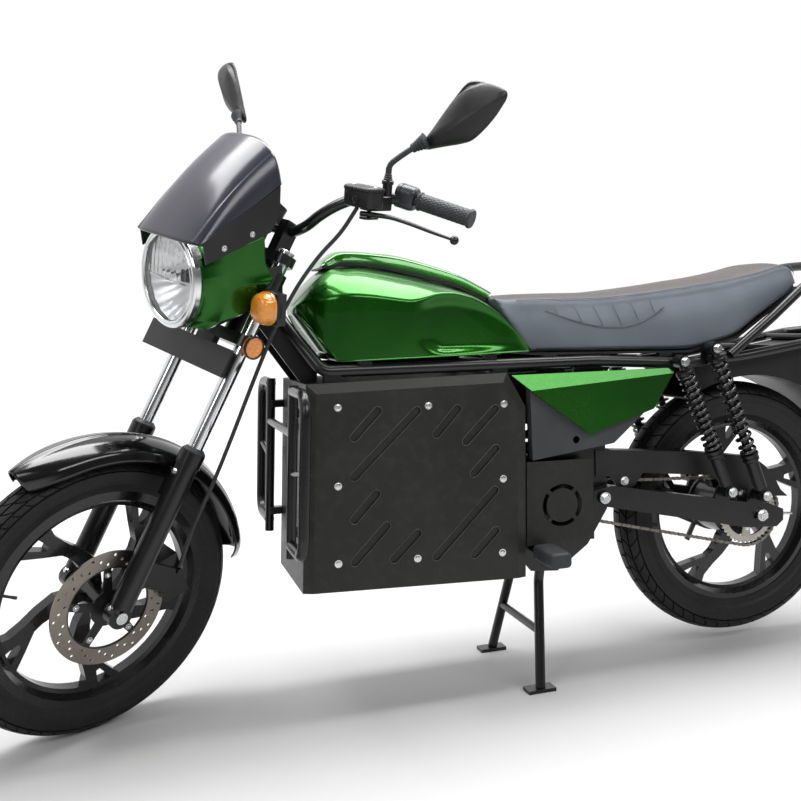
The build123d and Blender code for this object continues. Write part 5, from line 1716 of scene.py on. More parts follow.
@dataclass
class Tyre:
    """Tyre with a cut tread.

    Its section is a smooth closed line; a point at arc length s from the crown and pitch place f
    lies at radius r(s) - depth * (1 - top(s) * block(f)), where top is 1 on the rings of blocks
    and 0 between them, and block is 0 in the cross groove and 1 on the block.
    """

    name: str
    node: str
    body: str
    centre: Point
    radius: float
    width: float
    pitches: int
    bands: tuple[Band, ...]
    bead: float = 226.0
    depth: float = 3.6

    def section(self) -> Array:
        """Outer half line from the crown to the bead, as (radius, y) of the left side.

        Returns:
            one (radius, y) pair for each place.
        """
        half = self.width / 2
        wall = self.radius - self.bead
        knots = np.array(
            [(self.radius, 0.0), (self.radius - 0.03 * wall, half * 0.36),
            (self.radius - 0.12 * wall, half * 0.68), (self.radius - 0.27 * wall, half * 0.93),
            (self.radius - 0.45 * wall, half), (self.radius - 0.70 * wall, half * 0.93),
            (self.radius - 0.88 * wall, half * 0.79), (self.bead + 0.5, half * 0.72)]
        )
        mirrored = knots[1:2] * [1.0, -1.0]
        line = curve_through(np.concatenate([mirrored, knots]), 900)
        return line[line[:, 1] >= 0.0]

    def columns(self) -> tuple[Array, Array, Array, Array]:
        """Arc length, block height, shift and cross-groove share of each column, right to left.

        Returns:
            four arrays with one value for each column.
        """
        line = self.section()
        length = float(np.linalg.norm(np.diff(line, axis=0), axis=1).sum())
        rows = []
        for band in self.bands:
            inner = np.linspace(band.low + 0.9, band.high - 0.9, 5)
            place = np.concatenate([[band.low], inner, [band.high]])
            top = np.array([0.0] + [1.0] * 5 + [0.0])
            share = np.abs(place - min(abs(band.low),
                           abs(band.high)) * np.sign(place)) / (band.high - band.low)
            shift = band.phase + band.curve * share**1.5
            rows.append(np.stack([place, top, shift, np.full(7, float(band.cut))], -1))
        inside = np.concatenate(rows)
        edge = inside[-1, 0]
        walls = edge + (length - edge) * shares(16)[1:] ** 1.1
        rings = 1.0 + 0.22 * np.exp(-(((walls - edge) / (length - edge) - 0.30) / 0.05) ** 2)
        rings += 0.30 * np.exp(-(((walls - edge) / (length - edge) - 0.72) / 0.06) ** 2)
        outer = np.stack([walls, rings, 0 * walls, 0 * walls], -1)
        right = outer[::-1] * [-1.0, 1.0, 1.0, 1.0]
        whole = np.concatenate([right, inside, outer])
        return whole[:, 0], whole[:, 1], whole[:, 2], whole[:, 3]

    def shape(self) -> Shape:
        """Whole tyre about its axle.

        Returns:
            one closed surface.
        """
        line = self.section()
        gone = np.concatenate([[0.0], np.cumsum(np.linalg.norm(np.diff(line, axis=0), axis=1))])
        arc, top, shift, cut = self.columns()
        base = np.interp(np.abs(arc), gone, line[:, 0])
        y = np.interp(np.abs(arc), gone, line[:, 1]) * np.sign(arc)
        slope = np.gradient(base) / np.maximum(np.hypot(np.gradient(base), np.gradient(y)), 1e-9)
        along = np.gradient(y) / np.maximum(np.hypot(np.gradient(base), np.gradient(y)), 1e-9)
        share = np.array([0.0, 0.025, 0.115, 0.14, 0.42, 0.71])
        block = np.array([1.0, 0.0, 0.0, 1.0, 1.0, 1.0])
        rows = (np.arange(self.pitches)[:, None] + share[None]).ravel()
        mask = np.tile(block, self.pitches)
        height = top[None] * (1.0 - cut[None] * (1.0 - mask[:, None]))
        angle = (rows[:, None] + shift[None]) * TAU / self.pitches
        inward = self.depth * (1.0 - height)
        r = base[None] - inward * np.abs(along)[None]
        across = y[None] + inward * (slope * np.sign(along))[None]
        points = np.stack([self.centre[0] + r * np.cos(angle), self.centre[1] + across + 0 * angle,
                          self.centre[2] + r * np.sin(angle)], -1)
        return grid(points, close_rows=True, close_columns=True)

    def build(self, maker: Maker) -> None:
        """Makes the tyre."""
        maker.piece(self.name, self.shape(), self.body, "tyre_rubber", replaces=(self.node,), crease=38)


@dataclass
class Wheels:
    """Both tyres with their valves, the rims' stepped rings and the bolts of the disc."""

    front: Point = FRONT_AXLE
    rear: Point = REAR_AXLE
    disc_bolts: int = 5

    def build(self, maker: Maker) -> None:
        """Makes every piece of both wheels.

        Args:
            maker: dresses the pieces and puts them in place.
        """
        scales = tuple(
            Band(*edges, phase, curve) for edges, phase,
            curve in (((-45.0, -33.0), 0.55, 0.45), ((-31.5, -17.5), 0.2, 0.75),
            ((-16.0, -1.5), 0.65, 0.6), ((1.5, 16.0), 0.15, 0.6), ((17.5, 31.5), 0.7, 0.75),
            ((33.0, 45.0), 0.05, 0.45))
        )
        blocks = (
            Band(-54.0, -33.0, 0.5, 0.55), Band(-31.0, -14.0, 0.0, -0.55), Band(-12.5, 12.5, 0.25, 0.35),
            Band(14.0, 31.0, 0.5, -0.55), Band(33.0, 54.0, 0.0, 0.55),
        )
        Tyre("front_tyre_tread", "front_tyre", "front_wheel", self.front, 297.8, 75.6, 62,
             scales).build(maker)
        Tyre("rear_tyre_tread", "rear_tyre", "rear_wheel", self.rear, 304.6, 85.6, 54,
             blocks, depth=4.6).build(maker)
        for name, centre, body in (
            ("front", self.front, "front_wheel"), ("rear", self.rear, "rear_wheel")
        ):
            maker.piece(f"{name}_valve", self.valve(centre), body, "black_alloy", finish="black_rubber")
            maker.piece(f"{name}_rim_steps", self.steps(centre), body, "black_alloy", crease=25)
        bolts = self.ring_of_bolts(self.front, 60.0, 71.0, 5.2)
        maker.piece("disc_bolts", bolts, "front_wheel", "bright_steel", finish="zinc")

    def valve(self, centre: Point) -> Shape:
        """Rubber valve stem with its cap, leaning out of the rim's well.

        Args:
            centre: of the wheel.

        Returns:
            stem and cap.
        """
        profile = [(0.0, -2), (4.2, -2), (4.2, 3), (2.9, 6), (2.9, 22), (3.3, 22.5), (3.3, 30),
                   (2.4, 31.5), (0.0, 31.5)]
        stem = lathe(profile, count=14)
        turned = stem.turned(facing(np.array([[-0.92, 0.38, 0.0]]))[0])
        angle = math.radians(18.0)
        offset = turned.moved((198.0, 2.0, 0.0)).turned(rotation((0, 1, 0), -angle))
        return offset.moved(centre)

    def steps(self, centre: Point) -> Shape:
        """Stepped rings on both faces of the rim, just inside its flange.

        Args:
            centre: of the wheel.

        Returns:
            the rings of both faces in one shape.
        """
        profile = np.array([(233.5, 20), (236.6, 20), (236.9, 28.2), (235.4, 29.0), (233.6, 28.4),
                           (231.0, 25.6), (228.6, 25.0), (227.4, 22.4), (224.8, 21.8), (224.2, 19.0)])
        ring = lathe(profile, (0, 0, 0), (0, 1, 0), count=144, ring=True)
        return joined(ring, ring.mirrored()).moved(centre)

    def ring_of_bolts(self, centre: Point, face_y: float, radius: float, size: float) -> Shape:
        """Screw heads in a circle on the left face of a wheel.

        Args:
            centre: wheel centre.
            face_y: height of the face.
            radius: radius of the circle.
            size: head radius.

        Returns:
            The heads.
        """
        angle = np.arange(self.disc_bolts) * TAU / self.disc_bolts + 0.3
        places = np.stack([radius * np.cos(angle), 0 * angle + face_y, radius * np.sin(angle)], -1)
        head = pan_screw(size, 4.2)
        return copies(head, places + np.array(centre) * [1, 0, 1], leftward(self.disc_bolts))


# ---------------------------------------------------------------- headlight and screen
@dataclass
class Headlight:
    """Round headlight: green bowl, double chrome ring, reflector, fluted lens and its cowl."""

    x: float = 1335.0
    z: float = 929.0
    radius: float = 98.0
    lens_radius: float = 87.0
    back_x: float = 1198.5

    def build(self, maker: Maker) -> None:
        """Makes every piece of the headlight.

        Args:
            maker: dresses the pieces and puts them in place.
        """
        maker.piece("lamp_bowl", self.bowl(), slot="candy_green", replaces=("headlight_shell",),
                    body="steering")
        maker.piece("lamp_rings", self.rings(), slot="chrome_ring", replaces=("headlight_shell",),
                    crease=50, body="steering")
        maker.piece("lamp_reflector", self.reflector(), slot="chrome_ring", finish="lamp_silver",
                    replaces=("headlight_reflector",), crease=24, outward=False, body="steering")
        maker.piece("lamp_fittings", self.fittings(), slot="chrome_ring", finish="dark_plastic",
                    body="steering")
        maker.piece("lamp_lens", self.lens(), slot="clear_glass", replaces=("headlight_lens",),
                    crease=60, body="steering")
        maker.piece("cowl_sides", both_sides(self.cowl()), slot="candy_green", replaces=("cowl",),
                    crease=26, wall=2.4, body="steering")

    def about(self, profile: list[Pair], ring: bool = False, count: int = 96) -> Shape:
        """Profile of (radius, x) turned about the lamp's axis."""
        return lathe(profile, (0.0, 0.0, self.z), (1, 0, 0), count=count, ring=ring)

    def bowl(self) -> Shape:
        """Bowl behind the rings, open to the front, with a wall of its own.

        Returns:
            the bowl.
        """
        outside = curve_through(np.array([(97.0, 1322), (96.5, 1300), (92.0, 1270), (82.0, 1238),
                                (64.0, 1213), (38.0, 1201), (0.0, 1198.6)]), 40)
        inside = outside[::-1] * [0.965, 1.0] + [0.0, 2.6]
        profile = np.concatenate([outside, inside])
        return self.about(profile, ring=True)

    def rings(self) -> Shape:
        """Two chrome beads round the lens, the outer one wider.

        Returns:
            both beads and their skirt in one shape.
        """
        angle = np.linspace(-0.35 * math.pi, 1.25 * math.pi, 14)
        outer = np.stack([92.4 + 5.4 * np.cos(angle), 1331.0 + 5.2 * np.sin(angle)], -1)
        inner = np.stack([86.0 + 2.7 * np.cos(angle), 1334.6 + 3.0 * np.sin(angle)], -1)
        skirt = [(97.6, 1330.0), (97.8, 1312.0), (94.5, 1311.0), (94.0, 1328.0)]
        return joined(self.about(outer, True), self.about(inner, True), self.about(skirt, True))

    def reflector(self) -> Shape:
        """Stepped bowl: x = x0 + r^2 / 4f, its rays split into facets that dip between their edges.

        Returns:
            the bowl as one sheet.
        """
        radius = np.linspace(13.0, 87.0, 34)[:, None]
        angle = round_steps(144)[None]
        facet = np.abs(np.sin(angle * 9.0)) * 1.6 * smooth_step(radius, 20.0, 60.0)
        depth = 1262.0 + radius**2 / 132.0 - facet
        points = np.stack(
            [depth + 0 * angle, radius * np.cos(angle), self.z + radius * np.sin(angle)], -1
        )
        return grid(points[::-1], close_columns=True)

    def fittings(self) -> Shape:
        """Bulb shade, bulb collar and the bar that parts the two halves of the lamp.

        Returns:
            all of them in one shape.
        """
        shade = self.about(
            [(0.0, 1303), (9.5, 1302), (13.0, 1296), (13.5, 1268), (11.5, 1266), (0.0, 1266)], count=40
        )
        bar = slab(rounded_box(4.0, 158.0, 1.8, 4)[:, ::-1] * [1, 1] + [0.0, 1296.0], self.z - 1.6,
                   self.z + 1.6, 2)
        points = bar.points[:, [1, 0, 2]]
        return joined(shade, Shape(points, bar.faces))

    def lens(self) -> Shape:
        """Domed glass: x = x1 + 9 (1 - (r / R)^2); its back has flutes |sin| of y in the upper half.

        Returns:
            the glass.
        """
        radius = np.linspace(0.0, self.lens_radius, 46)[1:, None]
        angle = round_steps(180)[None]
        y, up = radius * np.cos(angle), radius * np.sin(angle)
        front = 1334.0 + 8.4 * (1.0 - (radius / self.lens_radius) ** 2) + 0 * angle
        upper = smooth_step(up, 2.0, 5.0) * smooth_step(self.lens_radius - radius, 0.0, 8.0)
        flutes = upper * 0.9 * np.abs(np.cos(y * math.pi / 15.0)) ** 0.9
        step = 1.3 * np.exp(-((up / 1.6) ** 2)) * smooth_step(self.lens_radius - radius, 0.0, 8.0)
        back = front - 3.0 - flutes - step
        outside = np.stack([front, y, up + self.z], -1)
        inside = np.stack([back, y, up + self.z], -1)
        shell = grid(np.concatenate([outside, inside[::-1]]), close_columns=True, cap=True)
        return shell

    def cowl(self) -> Shape:
        """Left cowl side: straight lines from the lamp's ring to the notched rear edge, creased.

        Returns:
            the left side as one sheet.
        """
        rear = np.array(
            [(1193, 113.0, 1021.0), (1190, 113.0, 995), (1186, 113.0, 967), (1177, 113.0, 953),
            (1169, 113.0, 941), (1177, 113.0, 929), (1187, 113.0, 915), (1205, 113.0, 895),
            (1232, 112.4, 874), (1268, 92.0, 852)], float
        )
        turn = np.radians([30.0, 20.0, 8.0, 2.0, -4.0, -11.0, -18.0, -32.0, -46.0, -62.0])
        front = np.stack([0 * turn + 1319.0, 101.0 * np.cos(turn), self.z + 101.0 * np.sin(turn)], -1)
        at = shares(len(rear))
        v = shares(73)
        rear_line = np.stack([np.interp(v, at, rear[:, k]) for k in range(3)], -1)
        front_line = np.stack([np.interp(v, at, front[:, k]) for k in range(3)], -1)
        u = shares(40)[:, None]
        base = front_line[None] * (1 - u[..., None]) + rear_line[None] * u[..., None]
        out = smooth_step(u, 0.0, 0.36)
        wide = np.maximum(front_line[None, :, 1] * (1 - out) + rear_line[None, :, 1] * out, base[..., 1])
        base[..., 1] = wide
        wedge = np.exp(
            -((v[None] - 0.52 + 0.10 * (1 - u)) / 0.085) ** 2
        ) * smooth_step(u, 0.42, 1.0) * 5.0
        base[..., 1] += wedge
        return grid(base)


@dataclass
class Screen:
    """Smoked fly screen with a pressed band near its edges, a dark rim and its plates' screws.

    At rise r and side place a its point is x = xm + (xe - xm) |a|^2.6, z likewise, and
    y = 110.7 sin(pi a / 2); the band beyond |a| = 0.66 is raised by 1.8.
    """

    half_width: float = 110.4
    screws: Line = ((1284, 1002), (1222, 1026))

    def surface(self, rise: Array, a: Array) -> Array:
        """Points of the outer surface.

        Args:
            rise: (m, 1) places up the screen, 0 to 1.
            a: (1, n) places across, -1 to 1.

        Returns:
            (m, n, 3) points.
        """
        x_mid, z_mid = 1351.0 - 176.0 * rise, 1011.0 + 190.0 * rise + 16.0 * np.sin(math.pi * rise)
        x_edge, z_edge = 1326.0 - 166.0 * rise, 1007.0 + 112.0 * rise
        share = np.abs(a) ** 2.6
        band = 1.8 * smooth_step(np.abs(a), 0.63, 0.67) * smooth_step(1.0 - np.abs(a), 0.0, 0.05)
        x = x_mid + (x_edge - x_mid) * share + band * 0.6 - 1.8
        z = z_mid + (z_edge - z_mid) * share + band * 0.6 - 1.0
        y = self.half_width * np.sin(math.pi * a / 2) + 0 * rise
        return np.stack([x, y, z], -1)

    def build(self, maker: Maker) -> None:
        """Makes the screen, its rim and the screws of its plates.

        Args:
            maker: dresses the pieces and puts them in place.
        """
        rise, a = shares(56)[:, None], np.linspace(-1.0, 1.0, 121)[None]
        points = self.surface(rise, a)
        maker.piece("fly_screen", grid(points), "steering", "smoked_screen",
                    replaces=("windscreen",), crease=70, wall=2.4, outward=False)
        edge = np.concatenate([points[0], points[1:, -1], points[-1, -2::-1], points[-2:0:-1, 0]])
        rim = sweep(even(edge, 320, closed=True), circle(1.7, 8), side=(0.31, 0.21, 0.93), closed=True)
        maker.piece("fly_screen_rim", rim, "steering", "smoked_screen", finish="gloss_black")
        places = np.array([(x, 114.0, z) for x, z in self.screws])
        heads = both_sides(copies(pan_screw(4.6, 3.4), places, leftward(2)))
        maker.piece("screen_screws", heads, "steering", "bright_steel", finish="zinc")


@dataclass
class Indicators:
    """Turn indicators: amber lenses with stepped fronts in dark housings, front and rear."""

    front: Point = (1198.0, 144.0, 888.0)
    rear: Point = (-290.0, 152.0, 690.0)

    def lens(self, width: float, height: float, depth: float, corner: float) -> Shape:
        """Stepped lens pointing along +x.

        Args:
            width: size across.
            height: size up.
            depth: how far it stands out.
            corner: corner radius.

        Returns:
            The lens about its back's middle.
        """
        outline = rounded_box(width, height, corner, 7)
        layers = [(0.0, 0.0), (depth * 0.25, 0.0), (depth * 0.28, 1.4), (depth * 0.52, 2.4),
                  (depth * 0.70, 4.6), (depth * 0.84, 8.0), (depth * 0.94, 12.5), (depth, 18.0)]
        return layered(outline, layers, axis=0)

    def housing(self, width: float, height: float, depth: float, corner: float) -> Shape:
        """Rounded box behind a lens, reaching along -x.

        Args:
            width: across, in mm.
            height: upright, in mm.
            depth: along x, in mm.
            corner: radius of the corners, in mm.

        Returns:
            the box.
        """
        outline = rounded_box(width, height, corner, 7)
        layers = [(2.5, 0.0), (-depth * 0.35, 0.3), (-depth * 0.75, 4.0), (-depth, 12.0)]
        return layered(outline, layers[::-1], axis=0)

    def build(self, maker: Maker) -> None:
        """Makes the front and the rear pair.

        Args:
            maker: dresses the pieces and puts them in place.
        """
        lens, housing = self.lens(59.0, 65.0, 33.0, 25.0), self.housing(60.0, 66.0, 20.0, 25.5)
        maker.piece("front_indicator_lenses", both_sides(lens.moved(self.front)), "steering",
                    "amber_lens", replaces=("front_indicators",), crease=40)
        maker.piece("front_indicator_backs", both_sides(housing.moved(self.front)), "steering",
                    "dark_plastic", replaces=("front_indicators",))
        back_turn = rotation((0, 0, 1), math.pi)
        small = self.lens(42.0, 50.0, 26.0, 14.0).turned(back_turn).moved(self.rear).moved((3.0, 0, 0))
        shell = self.housing(
            43.0, 51.0, 19.0, 14.5
        ).turned(back_turn).moved(self.rear).moved((3.0, 0, 0))
        stalk = sweep(np.linspace((-290.0, 90.0, 690.0), (-290.0, 133.0, 690.0), 6), circle(7.0, 16),
                      side=(1, 0, 0))
        maker.piece("rear_indicator_lenses", both_sides(small), "chassis", "amber_lens",
                    replaces=("rear_indicators",), crease=40)
        maker.piece("rear_indicator_backs", both_sides(joined(shell, stalk)), "chassis", "dark_plastic",
                    replaces=("rear_indicators",))


# ---------------------------------------------------------------- controls and mirrors
@dataclass
class Controls:
    """Grips, switch housings, perches, reservoirs and levers, drawn on the left and mirrored."""

    grip_inner: Point = (965.0, 284.0, 1110.0)
    grip_outer: Point = (925.0, 393.0, 1090.0)

    def along(self, share: Array | float) -> Array:
        """Points of the grip's centre line, 0 at its inner end and 1 at its outer end."""
        inner, outer = np.array(self.grip_inner), np.array(self.grip_outer)
        return inner + np.multiply.outer(share, outer - inner)

    def build(self, maker: Maker) -> None:
        """Makes every control.

        Args:
            maker: dresses the pieces and puts them in place.
        """
        maker.piece("handlebar_tube", self.tube(), slot="black_frame", replaces=("handlebar",),
                    body="steering")
        maker.piece("grip_rubbers", both_sides(self.grip()), slot="black_rubber", replaces=("grips",),
                    crease=35, body="steering")
        maker.piece("switch_housings", both_sides(self.switch()), slot="dark_plastic",
                    finish="blue_plastic", replaces=("bar_controls",), crease=30, body="steering")
        maker.piece("lever_perches", both_sides(self.perch()), slot="dark_plastic", finish="black_frame",
                    replaces=("bar_controls",), crease=30, body="steering")
        maker.piece("fluid_reservoirs", both_sides(self.reservoir()), slot="dark_plastic",
                    replaces=("bar_controls",), crease=30, body="steering")
        maker.piece("control_screws", both_sides(self.screws()), slot="bright_steel", finish="zinc",
                    body="steering")
        maker.piece("lever_blades", both_sides(self.lever()), slot="black_frame", replaces=("levers",),
                    body="steering")

    def tube(self) -> Shape:
        """Handlebar tube in one sweep, its bends rounder than the plain one's.

        Returns:
            the tube.
        """
        left = np.array(
            [self.along(1.0), self.along(0.5), self.along(0.0), (1000, 245, 1108.5), (1036, 205, 1105),
            (1062, 172, 1088), (1079, 140, 1064), (1086, 112, 1041), (1086, 88, 1028), (1085, 66, 1020),
            (1085, 40, 1017.5)]
        )
        whole = np.concatenate([left, left[::-1] * [1.0, -1.0, 1.0]])
        return sweep(even(curve_through(whole, 500), 180), circle(11.0, 24), side=(1, 0, 0.3))

    def grip(self) -> Shape:
        """Rubber sleeve with flanges and a relief: r = r0 + h sqrt|sin(8a + ks) sin(8a - ks)|.

        Returns:
            the sleeve.
        """
        share = np.concatenate([[0.055, 0.06, 0.075, 0.09, 0.10], np.linspace(0.11, 0.93, 100),
                               [0.94, 0.955, 0.965, 0.975, 1.0, 1.025]])
        base = np.concatenate(
            [[11.4, 17.6, 18.4, 17.8, 16.0], np.full(100, 15.4), [15.6, 16.6, 18.0, 18.6, 18.8, 17.2]]
        )
        angle = round_steps(96)
        along = share[:, None] * 118.0 * 0.30
        cut = np.abs(np.sin(8 * angle[None] + along) * np.sin(8 * angle[None] - along)) ** 0.5
        inside = ((share > 0.105) & (share < 0.935))[:, None]
        radius = base[:, None] + 1.1 * cut * inside
        axis = np.array(self.grip_outer) - np.array(self.grip_inner)
        first, second = axes_along(axis)
        spoke = np.cos(angle)[:, None] * first + np.sin(angle)[:, None] * second
        points = self.along(share)[:, None] + radius[..., None] * spoke[None]
        return grid(points, close_columns=True, cap=True)

    def switch(self) -> Shape:
        """Two-part switch housing round the bar, with a rocker and a round button.

        Returns:
            housing, button and rocker in one shape.
        """
        share = np.array(
            [-0.345, -0.335, -0.31, -0.26, -0.255, -0.245, -0.24, -0.08, -0.03, -0.005, 0.0]
        )
        size = np.array([0.80, 0.92, 1.0, 1.0, 0.955, 0.955, 1.0, 1.0, 0.95, 0.84, 0.76])
        body = sweep(self.along(share), rounded_box(41.0, 46.0, 15.0, 7), side=(0.9, 0.33, 0.0),
                     scale=size)
        button = lathe([(0, 0), (6.2, 0), (6.2, 4.5), (5.4, 5.6), (0, 5.8)], count=20)
        rocker = layered(rounded_box(16.0, 9.0, 2.5, 4), [(0.0, 0.0), (4.0, 0.0), (5.2, 1.4)], axis=2)
        back = np.array([-0.86, -0.30, 0.30])
        turn = facing(back[None])[0]
        middle = self.along(-0.17)
        return joined(body, button.turned(turn).moved(tuple(middle + back * 18.0 + [0, 0, 6.0])),
                      rocker.turned(turn).moved(tuple(middle + back * 18.5 + [0, 0, -10.0])))

    def perch(self) -> Shape:
        """Clamp on the bar, lever fork and mirror boss.

        Returns:
            all of them in one shape.
        """
        clamp = layered(rounded_box(60.0, 28.0, 7.0, 5) + [1030.0, 244.0],
                        [(1086.5, 1.5), (1088.0, 0.0), (1112.0, 0.0), (1113.5, 1.5)], axis=2)
        ring = sweep(self.bar_line(), circle(17.5, 28), side=(0, 0, 1))
        boss = lathe([(0, 0), (9.5, 0), (9.5, 26), (11.5, 26.6), (11.5, 33.2), (10.2, 34.0), (0, 34)],
                     (1008.0, 246.0, 1109.0), (0, 0, 1), count=24)
        fork = [layered(rounded_box(38.0, 24.0, 9.0, 5) + [1050.0, 246.0],
                [(low, 0.8), (low + 0.8, 0.0), (low + 3.4, 0.0), (low + 4.2, 0.8)],
                axis=2) for low in (1070.6, 1088.4)]
        pivot = hex_bolt(5.2, 4.5).moved((1054.0, 250.0, 1092.4))
        post = lathe([(0, 0), (4.0, 0), (4.0, 22), (0, 22)], (1054.0, 250.0, 1072.0), (0, 0, 1),
                     count=14)
        return joined(clamp, ring, boss, *fork, pivot, post)

    def bar_line(self) -> Array:
        """Short run of the bar under the clamp."""
        return np.linspace((1024.0, 219.0, 1104.6), (1000.0, 244.0, 1106.2), 4)

    def reservoir(self) -> Shape:
        """Fluid box with a waist, a lid with a lip, and a round sight glass rim.

        Returns:
            all of them in one shape.
        """
        plan = rounded_box(41.0, 75.0, 7.0, 6) + [1058.0, 236.0]
        box = layered(plan, [(1091.5, 4.0), (1093.5, 1.0), (1096.0, 0.2), (1122.5, 0.0)], axis=2)
        lip = layered(rounded_box(43.6, 77.6, 8.0, 6) + [1058.0, 236.0],
                      [(1122.8, 0.8), (1123.6, 0.0), (1127.6, 0.0), (1129.6, 1.2), (1131.0, 4.0),
                      (1132.2, 9.0)], axis=2)
        plug = lathe([(0, 0), (7.5, 0), (7.5, 1.2), (6.2, 1.6), (5.6, 0.6), (0, 0.6)],
                     (1078.6, 236.0, 1106.0), (1, 0, 0), count=24)
        return joined(box, lip, plug)

    def screws(self) -> Shape:
        """Silver screws of the reservoir's lid."""
        lid = np.array([(1058.0, 206.0, 1131.6), (1058.0, 266.0, 1131.6)])
        return copies(pan_screw(3.4, 1.4), lid)

    def lever(self) -> Shape:
        """Blade of a flat oval section that narrows towards its ball.

        Returns:
            blade and ball in one shape.
        """
        knots = np.array([(1064, 238, 1080.4), (1052, 262, 1080.6), (1038, 294, 1080.0),
                         (1022, 330, 1073.5), (1003, 372, 1063.5), (985, 411, 1055)], float)
        path = even(curve_through(knots, 200), 60)
        size = np.interp(
            shares(60), [0.0, 0.1, 0.35, 0.7, 0.92, 1.0], [1.25, 1.3, 1.0, 0.88, 0.70, 0.70]
        )
        blade = sweep(path, circle(5.6, 20, 0.72), side=(1.0, 0.4, 0.0), scale=size)
        angle = np.linspace(-math.pi / 2, math.pi / 2, 13)
        ball = lathe(np.stack([8.6 * np.cos(angle), 8.6 * np.sin(angle)], -1), (985.0, 411.0, 1055.0),
                     (0.3, 0.9, -0.2), count=22)
        return joined(blade, ball)


@dataclass
class Mirrors:
    """Pair of mirrors: stem, ribbed boot, creased shell and glass.

    The shell is the outline drawn towards its middle by s, from 1 to 0, and lifted by
    20.5 (1 - s^2.3)^0.6, with a fold along its long diagonal and a scoop near its top. It is
    drawn with its outward distance in y from the hinge, and turned in by its toe.
    """

    middle: Pair = (95.0, 1279.0)
    face_x: float = -11.5
    hinge: Point = (974.0, 288.0, 0.0)
    toe: float = 13.0

    def toed(self, shape: Shape) -> Shape:
        """Shape taken from the head's own frame to its place, turned in by its toe."""
        return shape.turned(rotation((0.0, 0.0, 1.0), math.radians(self.toe))).moved(self.hinge)

    def outline(self) -> Array:
        """Smooth outline of the head in (y, z).

        Returns:
            120 places round the head.
        """
        knots = np.array(
            [(1, 1219), (20, 1246), (44, 1281), (66, 1311), (80, 1328), (92, 1335), (112, 1336.2),
            (138, 1332.5), (157, 1326.5), (166, 1320), (165.5, 1309), (158, 1295), (147, 1277),
            (128, 1253.5), (106, 1233), (84, 1224), (56, 1217), (30, 1210.5), (12, 1206), (3, 1209)],
            float
        )
        return even(curve_through(knots, 600, closed=True), 120, closed=True)

    def head(self) -> Shape:
        """Domed shell of the left head.

        Returns:
            the left head.
        """
        s = np.concatenate([np.linspace(1.0, 0.86, 10), np.linspace(0.83, 0.02, 34)])[:, None]
        rim = self.outline()[None] - np.array(self.middle)
        y = self.middle[0] + rim[..., 0] * s
        z = self.middle[1] + rim[..., 1] * s
        dome = 20.5 * (1.0 - s**2.3) ** 0.6
        along = (y * 0.82 + (z - 1214.0) * 0.57) / 200.0
        off = (z - 1214.0) * 0.82 - y * 0.57 + 4.0
        fold = 3.4 * np.exp(-np.abs(off + 8.0) / 8.0) * smooth_step(along, 0.05, 0.5)
        arch = 44.0 - 46.0 * (along - 0.62) ** 2 * 4.0
        scoop = 6.5 * smooth_step(off, arch - 5.0, arch) * smooth_step(arch + 26.0 - off, 0.0, 20.0)
        scoop = scoop * smooth_step(along, 0.36, 0.6)
        inner = smooth_step(1.0 - s, 0.0, 0.16)
        x = self.face_x + dome + (fold - scoop) * inner
        outside = np.stack([x + 0 * y, y, z], -1)
        back = np.stack([0 * rim[..., 0] + self.face_x - 0.6, self.middle[0] + rim[..., 0] * 0.955,
                         self.middle[1] + rim[..., 1] * 0.955], -1)
        return grid(np.concatenate([back, outside]), close_columns=True, cap=True)

    def build(self, maker: Maker) -> None:
        """Makes both mirrors.

        Args:
            maker: dresses the pieces and puts them in place.
        """
        maker.piece("mirror_heads", both_sides(self.toed(self.head())), slot="dark_plastic",
                    replaces=("mirrors",), crease=55, body="steering")
        rim = self.outline() - np.array(self.middle)
        glass = np.array(self.middle) + rim * 0.93
        plate = slab(glass, self.face_x - 1.0, self.face_x + 0.5, axis=0)
        maker.piece("mirror_glasses", both_sides(self.toed(plate)), slot="chrome_ring",
                    finish="mirror_glass", body="steering")
        knots = np.array([(1008, 246, 1141), (1008, 246, 1160), (1006, 249, 1174), (997, 264, 1190),
                          (985, 284, 1208), (981, 291, 1214)], float)
        path = even(curve_through(knots, 120), 40)
        stem = sweep(path, circle(5.6, 16), side=(1, 0.3, 0.0))
        boot = lathe([(0, 0), (8.6, 0), (8.8, 3), (7.4, 4), (8.0, 7), (6.8, 8), (7.2, 11), (6.0, 12),
                     (6.0, 24), (0, 24)], (1008.0, 246.0, 1143.2), (0, 0, 1), count=24)
        steps = np.array([0.0, 0.16, 0.18, 0.34, 0.36, 0.54, 0.56, 0.76, 0.78, 1.0])
        grow = np.array([0.72, 0.80, 0.70, 0.92, 0.80, 1.06, 0.92, 1.22, 1.1, 1.35])
        collar_path = np.array([986.0, 282.0, 1206.0]) + steps[:, None] * np.array([-9.5, 24.0, 17.0])
        collar = sweep(collar_path, circle(12.0, 24, 0.75), side=(0.0, -0.6, 0.8), scale=grow)
        maker.piece("mirror_stems", both_sides(joined(stem, boot, collar)), slot="dark_plastic",
                    finish="black_rubber", replaces=("mirrors",), body="steering")


def on_fork(shape: Shape) -> Shape:
    """Shape taken from the fork's own frame (forward, left, up along the stem) to the maker's frame.

    Args:
        shape: points (a, b, c), measured from the foot of the steering axis beside the axle.

    Returns:
        Points foot + a * forward + b * left + c * up.
    """
    rake = math.radians(RAKE)
    forward = np.array([math.cos(rake), 0.0, math.sin(rake)])
    up = np.array([-math.sin(rake), 0.0, math.cos(rake)])
    foot = np.array(FRONT_AXLE) - forward * FORK_OFFSET
    ahead, left, rise = (shape.points[:, k:k + 1] for k in range(3))
    return Shape(foot + ahead * forward + left * [0.0, 1.0, 0.0] + rise * up, shape.faces)


